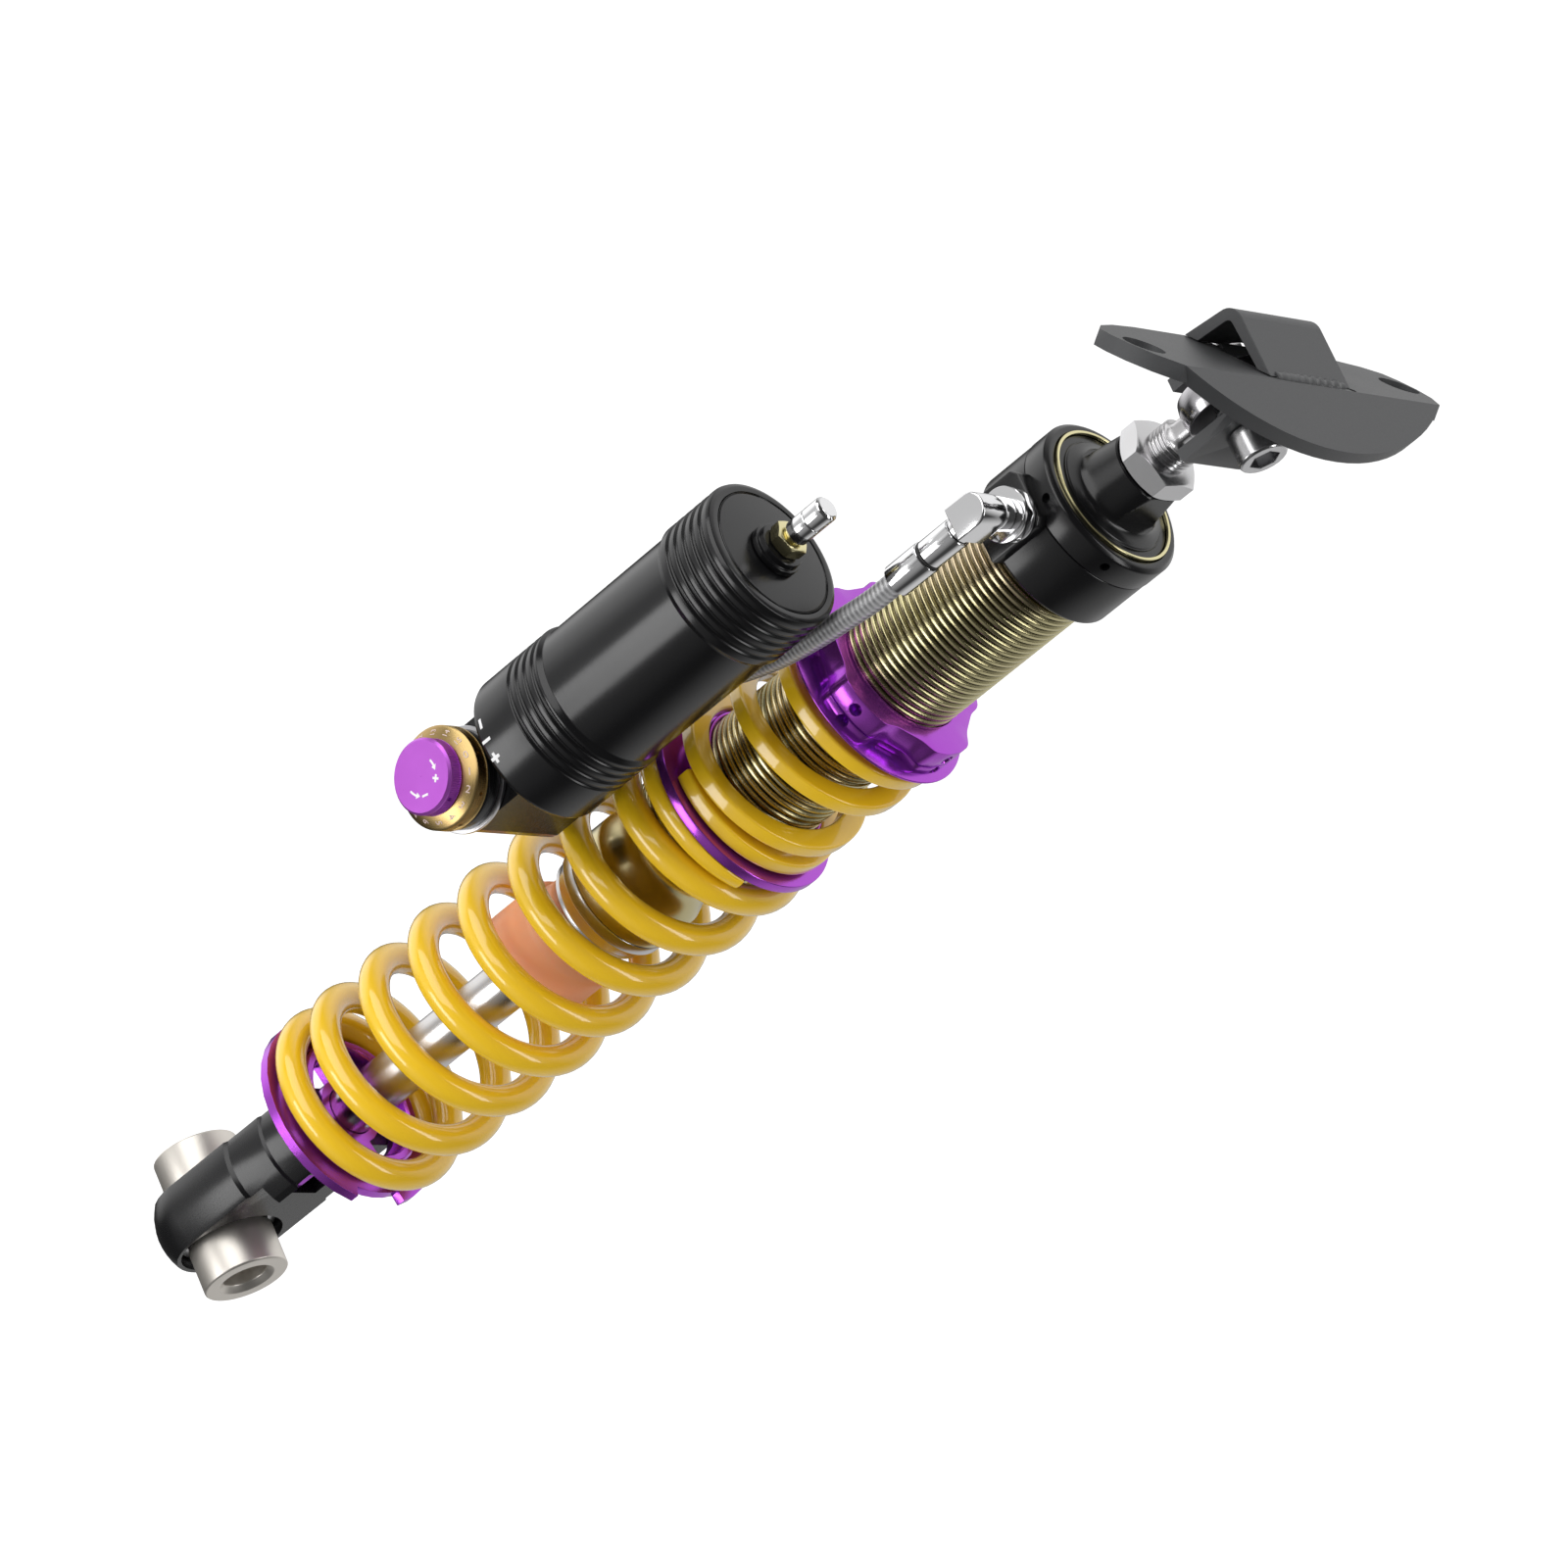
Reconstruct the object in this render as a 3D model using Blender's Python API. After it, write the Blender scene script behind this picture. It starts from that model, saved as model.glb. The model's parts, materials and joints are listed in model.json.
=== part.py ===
"""A coilover with a remote reservoir, modelled piece by piece.

Units are metres. The origin is the centre of the upper ball joint. +Z runs up the damper's
axis, Y along the bolts, and X across them. The damper is drawn fully extended.
"""
from math import atan2, cos, hypot, pi, radians, sin, sqrt

import bmesh
import bpy
from mathutils import Matrix, Vector

MM = 0.001

# Clearances
FIT = 0.3 * MM                 # between pieces that touch
SPRING_PLAY = 1.9 * MM         # between a spring's bore and the lip that centres it
HUGE = 200.0 * MM              # reach of a cutter past the piece that it cuts

# Nuts: flat face's radius as a share of the flats, and the fall of the corners beyond it
NUT_FACE = 0.475
NUT_CHAMFER_SLOPE = 0.5

# Facets round a turned piece, by its size
FINE_STEPS = 32
ROUND_STEPS = 22
SMALL_STEPS = 16
TINY_STEPS = 8

# Overall lengths
EXTENDED_LENGTH = 568.0 * MM   # upper ball centre to lower eye centre

# Upper ball joint
PIVOT_BOLT_RADIUS = 6.0 * MM
BALL_RADIUS = 11.0 * MM
BALL_WIDTH = 14.0 * MM
BALL_RING_RADIUS = 18.0 * MM
BALL_RING_WIDTH = 11.0 * MM
EAR_GAP = 18.0 * MM
EAR_THICKNESS = 5.0 * MM
EAR_HALF_WIDTH = 27.0 * MM
EAR_DROP = 22.0 * MM           # ear below the bolt's axis
EAR_CORNER = 9.0 * MM
EAR_TONGUE_HALF_WIDTH = 12.7 * MM
EAR_TONGUE_TOP = 12.0 * MM
PIVOT_HEAD_RADIUS = 9.2 * MM
PIVOT_HEAD_HEIGHT = 12.0 * MM
PIVOT_SOCKET_FLATS = 10.0 * MM
PIVOT_SOCKET_DEPTH = 6.0 * MM
PIVOT_NUT_FLATS = 18.0 * MM
PIVOT_NUT_HEIGHT = 9.0 * MM
PIVOT_THREAD_SHOWN = 2.5 * MM

# Top bracket: a flange bent up from a strip
SHEET = 6.0 * MM
STRIP_TILT = radians(35.0)
BEND_FRONT = 16.0 * MM         # bend line in front of the bolt's plane of symmetry
BEND_HEIGHT = 31.2 * MM        # top face of the flange above the ball
STRIP_DEPTH = 44.0 * MM
STRIP_HALF_LENGTH = 84.5 * MM
STRIP_SHOULDER = (75.0 * MM, 81.0 * MM, 84.0 * MM, 84.5 * MM, 83.0 * MM, 76.5 * MM, 66.0 * MM, 52.0 * MM)
STRIP_SHOULDER_AT = (0.0 * MM, 8.5 * MM, 18.0 * MM, 27.0 * MM, 34.0 * MM, 39.0 * MM, 42.3 * MM, 44.0 * MM)
FLANGE_ARC_RADIUS = 114.0 * MM
FLANGE_HALF_CHORD = 75.0 * MM
STRIP_HOLE_RADIUS = 7.9 * MM
STRIP_HOLE_X = 75.0 * MM
STRIP_HOLE_AT = 19.6 * MM
RELIEF_HOLE_RADIUS = 2.0 * MM
CHANNEL_HALF_LENGTH = 23.5 * MM
CHANNEL_FOOT_FRONT = 2.5 * MM
CHANNEL_FOOT_REAR = 43.5 * MM
CHANNEL_APEX_AT = 27.0 * MM
CHANNEL_HEIGHT = 16.0 * MM
CHANNEL_FOOT_WIDTH = 6.3 * MM
CHANNEL_INNER_HEIGHT = 11.5 * MM
CHANNEL_CREST_RADIUS = 6.8 * MM
CHANNEL_CREST_START = radians(36.0)
CHANNEL_CREST_END = radians(126.0)
WINDOW_HALF_LENGTH = 18.5 * MM
WINDOW_FRONT = 9.0 * MM
WINDOW_STEP = 32.0 * MM
NUT_ROOM = 2.6 * MM            # round the pivot nut

# Rod end, jam nut and head
STUD_RADIUS = 9.0 * MM
STUD_TOP = 26.0 * MM           # below the ball's centre
JAM_NUT_FLATS = 28.0 * MM
JAM_NUT_HEIGHT = 9.5 * MM
JAM_NUT_TOP = 34.5 * MM
STUD_DEPTH = 14.0 * MM         # of the stud in the head's neck
NECK_LENGTH = 17.2 * MM
NECK_FLATS = 30.0 * MM
NECK_TOP_RADIUS = 15.0 * MM
NECK_FOOT_RADIUS = 23.0 * MM
CORE_STEP = 0.8 * MM
CORE_RADIUS = 23.4 * MM
CORE_RIM_RADIUS = 26.2 * MM
CORE_RIM_DROP = 1.0 * MM
CORE_FLANGE_RADIUS = 27.4 * MM
HEAD_RING_RADIUS = 27.7 * MM
HEAD_RING_HEIGHT = 2.6 * MM
HEAD_CAP_RADIUS = 32.0 * MM
HEAD_CAP_HEIGHT = 11.2 * MM
HEAD_CHAMFER = 1.6 * MM
HEAD_CAP_HOLES = 6
HEAD_CAP_HOLE_RADIUS = 1.8 * MM
HEAD_CAP_HOLE_DEPTH = 3.0 * MM
HEAD_RADIUS = 31.8 * MM
HEAD_HEIGHT = 23.8 * MM
HEAD_ROOF = 6.0 * MM           # metal above the body tube
BOSS_REACH = 36.0 * MM
BOSS_LOW_Y = -8.5 * MM
BOSS_HIGH_Y = 15.5 * MM
BOSS_HEIGHT = 26.0 * MM
BOSS_CHAMFER = 3.0 * MM

# Body tube and gland
TUBE_RADIUS = 26.4 * MM
TUBE_BORE = 18.5 * MM
THREAD_LENGTH = 188.5 * MM     # shown below the head and its plain band
PLAIN_BAND = 3.4 * MM
PLAIN_BAND_RADIUS = 25.6 * MM
WAIST_RADIUS = 21.6 * MM
WAIST_LENGTH = 22.5 * MM
WAIST_STEPS = 6
BELL_RADIUS = 25.0 * MM
BELL_LENGTH = 16.0 * MM
GLAND_LIP = 4.7 * MM
GLAND_TAPER = 6.0 * MM
GLAND_FOOT_RADIUS = 22.0 * MM
GLAND_FOOT = 2.0 * MM
GLAND_SPIGOT = 16.0 * MM
WIPER_RADIUS = 14.0 * MM
WIPER_HEIGHT = 4.0 * MM
ROD_RADIUS = 10.0 * MM
ROD_SPIGOT_RADIUS = 6.0 * MM
PISTON_HEIGHT = 15.0 * MM
PISTON_GROOVE = 1.2 * MM
PISTON_NUT_FLATS = 19.0 * MM
PISTON_NUT_HEIGHT = 8.0 * MM
BUMP_STOP_GAP = 4.0 * MM       # rod shown between the gland and the bump stop
BUMP_STOP_RADIUS = 23.0 * MM
BUMP_STOP_NECK_RADIUS = 19.0 * MM
BUMP_STOP_NECK = 9.0 * MM
BUMP_STOP_LENGTH = 40.0 * MM

# Springs, perches and lock ring
MAIN_WIRE_RADIUS = 6.0 * MM
MAIN_INNER_RADIUS = 30.0 * MM
MAIN_LENGTH = 225.9 * MM
MAIN_ACTIVE_TURNS = 6.76
MAIN_END_RISE = 12.6 * MM
MAIN_GROUND = 4.0 * MM         # ground off each end coil
MAIN_START = radians(-30.0)
MAIN_POINTS = 12               # along each turn
TENDER_WIRE_WIDTH = 9.0 * MM
TENDER_WIRE_HEIGHT = 6.3 * MM
TENDER_INNER_RADIUS = 29.0 * MM
TENDER_LENGTH = 70.8 * MM
TENDER_ACTIVE_TURNS = 1.8
TENDER_END_RISE = 6.8 * MM
TENDER_START = radians(175.0)
TENDER_POINTS = 16
PERCH_ABOVE_EYE = 79.6 * MM    # spring seat above the lower eye's centre
PERCH_THICKNESS = 4.0 * MM
PERCH_RADIUS = 41.0 * MM
PERCH_LIP_HEIGHT = 7.5 * MM
PERCH_LIP_WALL = 4.5 * MM
PERCH_WINDOWS = 4
PERCH_WINDOW_INNER = 14.0 * MM
PERCH_WINDOW_OUTER = 22.0 * MM
PERCH_WINDOW_SPAN = radians(58.0)
PERCH_NOTCHES = 2
PERCH_NOTCH_RADIUS = 36.5 * MM
PERCH_NOTCH_SPAN = radians(35.0)
PERCH_NOTCH_START = radians(-94.5)
DIVIDER_RADIUS = 41.5 * MM
DIVIDER_THICKNESS = 4.2 * MM
DIVIDER_SLEEVE = 11.3 * MM
DIVIDER_LIP = 5.5 * MM
SEAT_RING_HEIGHT = 7.2 * MM
SEAT_FLANGE_RADIUS = 41.5 * MM
SEAT_FLANGE_HEIGHT = 2.2 * MM
SEAT_SPIGOT = 4.5 * MM
LOCK_RING_HEIGHT = 7.2 * MM
LUG_COUNT = 5
LUG_RADIUS = 38.3 * MM
LUG_NOTCH_RADIUS = 34.0 * MM
LUG_SPAN = radians(36.0)
LUG_SLOPE = radians(6.0)
LUG_FIRST = radians(209.0)
LUG_HOLE_RADIUS = 2.3 * MM
LUG_HOLE_DEPTH = 6.0 * MM

# Lower eye, bearing and rebound wheel
EYE_BARREL_RADIUS = 25.7 * MM
EYE_THICKNESS = 25.0 * MM      # across the flats
EYE_FOOT_REACH = 26.5 * MM     # rounded end below the bearing's centre
EYE_FOOT_STEPS = 9
COLLAR_RADIUS = 24.5 * MM
COLLAR_LOW = 35.0 * MM         # above the bearing's centre
COLLAR_HIGH = 54.0 * MM
NECK_BAND_RADIUS = 23.5 * MM
FLAT_SHOULDER = 42.0 * MM
FLAT_SHOULDER_X = 15.0 * MM
RACE_RADIUS = 20.8 * MM
RACE_WIDTH = 16.0 * MM
LOWER_BALL_RADIUS = 18.0 * MM
LOWER_BALL_WIDTH = 20.0 * MM
EYE_BOLT_RADIUS = 9.0 * MM
BUSH_RADIUS = 17.3 * MM
BUSH_REACH = 29.0 * MM
BUSH_CHAMFER = 2.4 * MM
WHEEL_RADIUS = 11.0 * MM
WHEEL_HEIGHT = 12.6 * MM
WHEEL_ABOVE_EYE = 45.3 * MM    # wheel's middle above the bearing's centre
WHEEL_TEETH = 20
WHEEL_SPINDLE_RADIUS = 2.5 * MM
ROD_IN_EYE = 19.0 * MM         # below the perch

# Remote reservoir
RESERVOIR_X = -82.0 * MM
RESERVOIR_Y = 26.0 * MM
RESERVOIR_TOP = 149.0 * MM     # below the ball's centre
RESERVOIR_LENGTH = 130.0 * MM
RESERVOIR_RADIUS = 30.3 * MM
RESERVOIR_WAIST_RADIUS = 29.5 * MM
RESERVOIR_BORE = 26.0 * MM
RESERVOIR_FLOOR = 8.0 * MM
RESERVOIR_ROUND = 2.0 * MM
TOP_BAND = 27.5 * MM           # from the top down to the waist
LOW_BAND = 36.0 * MM           # from the foot up to the waist
RESERVOIR_CAP_THICKNESS = 9.0 * MM
FLOATER_HEIGHT = 14.0 * MM
FLOATER_DISH = 4.0 * MM
FLOATER_ABOVE_FLOOR = 12.0 * MM
VALVE_BOSS_RADIUS = 10.5 * MM
VALVE_BOSS_NECK_RADIUS = 9.3 * MM
VALVE_BOSS_HEIGHT = 5.0 * MM
VALVE_HEX_FLATS = 14.0 * MM
VALVE_HEX_HEIGHT = 4.2 * MM
VALVE_STEM_RADIUS = 3.8 * MM
VALVE_CAP_RADIUS = 4.9 * MM
VALVE_CAP_LENGTH = 11.7 * MM
VALVE_CAP_GAP = 3.8 * MM       # stem shown between hexagon and cap
VALVE_CAP_ROOF = 1.5 * MM

# Valve block and its two adjusters
BLOCK_NEAR_X = 39.5 * MM
BLOCK_FAR_X = 98.0 * MM
BLOCK_HALF_WIDTH = 18.0 * MM
BLOCK_CHAMFER = 14.0 * MM
ADJUSTER_BELOW_RESERVOIR = 22.0 * MM
BLOCK_SIDE_DROP = 5.0 * MM     # of the flat sides below the adjusters' axis
ADJUSTER_RING_RADIUS = 19.8 * MM
ADJUSTER_RING_THICKNESS = 1.6 * MM
ADJUSTER_NECK_RADIUS = 18.4 * MM
ADJUSTER_NECK_LENGTH = 8.6 * MM
ADJUSTER_SPINDLE_RADIUS = 4.0 * MM
DIAL_RADIUS = 19.2 * MM
DIAL_THICKNESS = 6.4 * MM
DIAL_FACE_RADIUS = 17.6 * MM
KNOB_RADIUS = 14.1 * MM
KNOB_THICKNESS = 6.6 * MM
KNOB_FACE_RADIUS = 13.2 * MM
KNOB_CONE = 1.2 * MM
KNOB_FACE = 2.0 * MM           # metal over the spindle's end

# Hose
HOSE_RADIUS = 4.4 * MM
HOSE_SEAT_Z = 80.0 * MM        # below the ball's centre
SEAT_FLATS = 17.0 * MM
SEAT_LENGTH = 7.0 * MM
ELBOW_X = 55.0 * MM
ELBOW_RADIUS = 7.4 * MM
ELBOW_ARM_RADIUS = 6.3 * MM
ELBOW_ABOVE = 8.0 * MM
ELBOW_BELOW = 17.0 * MM
SLEEVE_RADIUS = 6.3 * MM
SLEEVE_SMALL_RADIUS = 5.6 * MM
SLEEVE_LENGTH = 27.0 * MM
SLEEVE_STEP = 13.0 * MM
LOW_SLEEVE_X = 46.0 * MM
LOW_SLEEVE_Y = 36.0 * MM
HOSE_BULGE = (
    (-55.0 * MM, 0.0 * MM, -136.0 * MM),
    (-54.6 * MM, 1.5 * MM, -150.0 * MM),
    (-52.4 * MM, 4.5 * MM, -168.0 * MM),
    (-49.0 * MM, 10.0 * MM, -190.0 * MM),
    (-46.0 * MM, 18.0 * MM, -212.0 * MM),
    (-45.0 * MM, 26.0 * MM, -228.0 * MM),
    (-45.4 * MM, 33.0 * MM, -241.0 * MM),
)
HOSE_STEP = 9.0 * MM
HOSE_LEAD = 6.0 * MM           # straight run out of each sleeve

# Heights along the damper, worked out from the lengths above
NUT_FOOT_Z = -(JAM_NUT_TOP + JAM_NUT_HEIGHT)
NECK_TOP_Z = NUT_FOOT_Z - FIT
HEAD_FACE_Z = NECK_TOP_Z - NECK_LENGTH
HEAD_SPLIT_Z = HEAD_FACE_Z - CORE_STEP - HEAD_CAP_HEIGHT
HEAD_FOOT_Z = HEAD_SPLIT_Z - FIT - HEAD_HEIGHT
THREAD_TOP_Z = HEAD_FOOT_Z - PLAIN_BAND
THREAD_FOOT_Z = THREAD_TOP_Z - THREAD_LENGTH
BELL_TOP_Z = THREAD_FOOT_Z - WAIST_LENGTH
BELL_FOOT_Z = BELL_TOP_Z - BELL_LENGTH
GLAND_FOOT_Z = BELL_FOOT_Z - FIT - GLAND_LIP - GLAND_TAPER - GLAND_FOOT
GLAND_TOP_Z = BELL_FOOT_Z + GLAND_SPIGOT
BUMP_TOP_Z = GLAND_FOOT_Z - BUMP_STOP_GAP
EYE_Z = -EXTENDED_LENGTH
PERCH_SEAT_Z = EYE_Z + PERCH_ABOVE_EYE
PERCH_FOOT_Z = PERCH_SEAT_Z - PERCH_THICKNESS
DIVIDER_FOOT_Z = PERCH_SEAT_Z + MAIN_LENGTH
DIVIDER_TOP_Z = DIVIDER_FOOT_Z + DIVIDER_THICKNESS
SEAT_RING_Z = DIVIDER_TOP_Z + TENDER_LENGTH
LOCK_RING_Z = SEAT_RING_Z + SEAT_RING_HEIGHT + FIT
ROD_FOOT_Z = PERCH_FOOT_Z - ROD_IN_EYE
ROD_SHOULDER_Z = GLAND_TOP_Z + 2 * FIT
RESERVOIR_TOP_Z = -RESERVOIR_TOP
RESERVOIR_FOOT_Z = RESERVOIR_TOP_Z - RESERVOIR_LENGTH
ADJUSTER_Z = RESERVOIR_FOOT_Z - ADJUSTER_BELOW_RESERVOIR
BLOCK_TOP_Z = RESERVOIR_FOOT_Z - FIT

# Finishes: colour, metallic, roughness
BLACK = ((0.035, 0.036, 0.04), 0.5, 0.42)
BRACKET_GREY = ((0.05, 0.052, 0.056), 0.3, 0.5)
PURPLE = ((0.36, 0.06, 0.55), 0.85, 0.3)
YELLOW = ((0.85, 0.62, 0.03), 0.0, 0.25)
GOLD = ((0.62, 0.54, 0.33), 1.0, 0.3)
BRONZE = ((0.72, 0.62, 0.36), 1.0, 0.3)
STEEL = ((0.7, 0.7, 0.71), 1.0, 0.25)
CHROME = ((0.85, 0.85, 0.86), 1.0, 0.1)
NICKEL = ((0.75, 0.71, 0.65), 1.0, 0.28)
BRAID = ((0.42, 0.42, 0.43), 0.8, 0.45)
FOAM = ((0.85, 0.42, 0.3), 0.0, 0.6)
RUBBER = ((0.02, 0.02, 0.02), 0.0, 0.6)


def basis(x_axis, y_axis, origin=(0.0, 0.0, 0.0)):
    """Placement whose X and Y are the axes given, and whose Z is their cross product."""
    x_dir, y_dir = Vector(x_axis), Vector(y_axis)
    z_dir = x_dir.cross(y_dir)
    turn = Matrix((x_dir, y_dir, z_dir)).transposed().to_4x4()
    return Matrix.Translation(Vector(origin)) @ turn


TOWARDS_FRONT = basis((1, 0, 0), (0, 0, 1))      # local Z is -Y
TOWARDS_LEFT = basis((0, -1, 0), (0, 0, 1))      # local Z is -X
ON_STRIP = basis(
    (1, 0, 0),
    (0, cos(STRIP_TILT), -sin(STRIP_TILT)),
    (0, -BEND_FRONT, BEND_HEIGHT),
)                                                # local Y runs back along the strip


def clear_scene():
    """Remove whatever the scene holds."""
    for old in list(bpy.data.objects):
        bpy.data.objects.remove(old, do_unlink=True)


def finish_of(name, finish):
    """Material of one piece."""
    colour, metallic, roughness = finish
    material = bpy.data.materials.new(name)
    material.use_nodes = True
    shader = material.node_tree.nodes["Principled BSDF"]
    shader.inputs["Base Color"].default_value = (*colour, 1.0)
    shader.inputs["Metallic"].default_value = metallic
    shader.inputs["Roughness"].default_value = roughness
    return material


def add(name, shape, finish, place=None, origin=(0.0, 0.0, 0.0)):
    """Put a shape in the scene as one named piece, with its origin at the point given.

    place turns and moves the shape as it was drawn.
    """
    if place is not None:
        bmesh.ops.transform(shape, matrix=place, verts=shape.verts)
    bmesh.ops.translate(shape, vec=-Vector(origin), verts=shape.verts)
    bmesh.ops.recalc_face_normals(shape, faces=shape.faces)
    mesh = bpy.data.meshes.new(name)
    shape.to_mesh(mesh)
    shape.free()
    mesh.shade_smooth()
    mesh.set_sharp_from_angle(angle=radians(32.0))
    piece = bpy.data.objects.new(name, mesh)
    piece.location = origin
    bpy.context.scene.collection.objects.link(piece)
    if finish is None:
        piece.hide_render = True
        piece.display_type = "WIRE"
    else:
        mesh.materials.append(finish_of(name, finish))
    return piece


def combine(piece, tool, operation):
    """Boolean of a piece with a hidden tool."""
    modifier = piece.modifiers.new(tool.name, "BOOLEAN")
    modifier.object = tool
    modifier.operation = operation
    modifier.solver = "EXACT"


def cut(piece, *tools):
    """Cut the tools out of a piece."""
    for tool in tools:
        combine(piece, tool, "DIFFERENCE")


def fuse(piece, *tools):
    """Join the tools to a piece."""
    for tool in tools:
        combine(piece, tool, "UNION")


def keep_inside(piece, tool):
    """Keep only what lies inside the tool."""
    combine(piece, tool, "INTERSECT")


def turned(profile, segments=ROUND_STEPS):
    """Outline of (radius, height) points spun about Z. Its ends may lie on the axis."""
    shape = bmesh.new()
    verts = [shape.verts.new((radius, 0.0, height)) for radius, height in profile]
    pairs = list(zip(verts, verts[1:]))
    if profile[0][0] > 0.0 or profile[-1][0] > 0.0:
        pairs.append((verts[-1], verts[0]))
    edges = [shape.edges.new(pair) for pair in pairs]
    bmesh.ops.spin(shape, geom=verts + edges, cent=(0, 0, 0), axis=(0, 0, 1),
                   angle=2 * pi, steps=segments, use_merge=True)
    bmesh.ops.remove_doubles(shape, verts=shape.verts, dist=0.001 * MM)
    return shape


def rod_shape(radius, low, high, segments=ROUND_STEPS):
    """Plain round bar."""
    return turned([(0, high), (radius, high), (radius, low), (0, low)], segments)


def tube_shape(outer, inner, low, high, segments=ROUND_STEPS):
    """Plain tube."""
    return turned([(inner, high), (outer, high), (outer, low), (inner, low)], segments)


def prism(outline, low, high):
    """Flat outline of (x, y) points raised from low to high along Z."""
    shape = bmesh.new()
    face = shape.faces.new([shape.verts.new((x, y, low)) for x, y in outline])
    raised = bmesh.ops.extrude_face_region(shape, geom=[face])
    top = [item for item in raised["geom"] if isinstance(item, bmesh.types.BMVert)]
    bmesh.ops.translate(shape, vec=(0, 0, high - low), verts=top)
    return shape


def block(low, high):
    """Box between two corners."""
    outline = [(low[0], low[1]), (high[0], low[1]), (high[0], high[1]), (low[0], high[1])]
    return prism(outline, low[2], high[2])


def arc(centre, radius, start, end, steps):
    """Points along an arc, both ends included."""
    angles = [start + (end - start) * step / steps for step in range(steps + 1)]
    return [(centre[0] + radius * cos(a), centre[1] + radius * sin(a)) for a in angles]


def hexagon(flats):
    """Corners of a hexagon, by its size across flats."""
    corner = flats / sqrt(3.0)
    return [(corner * cos(k * pi / 3), corner * sin(k * pi / 3)) for k in range(6)]


def ring_shape(rings, closed):
    """Rings of points, each joined to the next. The last joins the first, or the ends are closed."""
    shape = bmesh.new()
    rows = [[shape.verts.new(point) for point in ring] for ring in rings]
    pairs = list(zip(rows, rows[1:]))
    if closed:
        pairs.append((rows[-1], rows[0]))
    else:
        shape.faces.new(rows[0])
        shape.faces.new(rows[-1][::-1])
    for upper, lower in pairs:
        for a, b, c, d in zip(upper, upper[1:] + upper[:1], lower[1:] + lower[:1], lower):
            shape.faces.new((d, c, b, a))
    return shape


def hex_ring(flats, height, drop, parts=4):
    """Ring of a hexagon's side, lowered beyond the circle inside its flats as a cone cuts it."""
    ring = []
    for k in range(6 * parts):
        off_flat = (k % parts) * pi / (3 * parts) - pi / 6
        radius = flats / (2 * cos(off_flat))
        angle = k * pi / (3 * parts)
        ring.append((radius * cos(angle), radius * sin(angle), height - drop * (radius - NUT_FACE * flats)))
    return ring


def circle_ring(radius, height, count=24):
    """Ring of points on a circle."""
    angles = [2 * pi * k / count for k in range(count)]
    return [(radius * cos(angle), radius * sin(angle), height) for angle in angles]


def hex_nut(name, flats, low, high, bore, finish, place=None):
    """Hexagon chamfered by a cone at both faces, with a bore where one is given."""
    face = NUT_FACE * flats
    rings = [
        circle_ring(face, high), hex_ring(flats, high, NUT_CHAMFER_SLOPE),
        hex_ring(flats, low, -NUT_CHAMFER_SLOPE), circle_ring(face, low),
    ]
    if bore:
        rings = [circle_ring(bore, high)] + rings + [circle_ring(bore, low)]
    return add(name, ring_shape(rings, bool(bore)), finish, place)


def coil_shape(heights, start, inner, section, points):
    """One unbroken coil: a section of (outward, upward) points carried round the axis.

    heights gives the section's height after a number of turns, from 0 to its last turn.
    """
    turns = heights[-1][0]
    count = int(round(turns * points))
    shape = bmesh.new()
    rings = []
    for step in range(count + 1):
        turn = turns * step / count
        angle = start + 2 * pi * turn
        level = height_after(heights, turn)
        ring = [shape.verts.new(((inner + out) * cos(angle), (inner + out) * sin(angle), level + up))
                for out, up in section]
        rings.append(ring)
    for ring, following in zip(rings, rings[1:]):
        for k in range(len(section)):
            after = (k + 1) % len(section)
            shape.faces.new((ring[k], ring[after], following[after], following[k]))
    shape.faces.new(rings[0])
    shape.faces.new(rings[-1])
    return shape


def height_after(heights, turn):
    """Height on the broken line of (turn, height) points."""
    for (turn_a, low), (turn_b, high) in zip(heights, heights[1:]):
        if turn <= turn_b:
            return low + (high - low) * (turn - turn_a) / (turn_b - turn_a)
    return heights[-1][1]


def coil_heights(first, last, end_rise, active_turns):
    """A closed turn, the active turns and a closed turn between two heights."""
    return [
        (0.0, first),
        (1.0, first + end_rise),
        (1.0 + active_turns, last - end_rise),
        (2.0 + active_turns, last),
    ]


def report_gap(name, heights, wire_height, points):
    """Print the least gap between one turn of a coil and the next."""
    turns = heights[-1][0]
    count = int(round((turns - 1.0) * points))
    rises = [height_after(heights, k / points + 1.0) - height_after(heights, k / points)
             for k in range(count + 1)]
    print(f"{name}: least gap to itself {(min(rises) - wire_height) / MM:.2f} mm")


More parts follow.
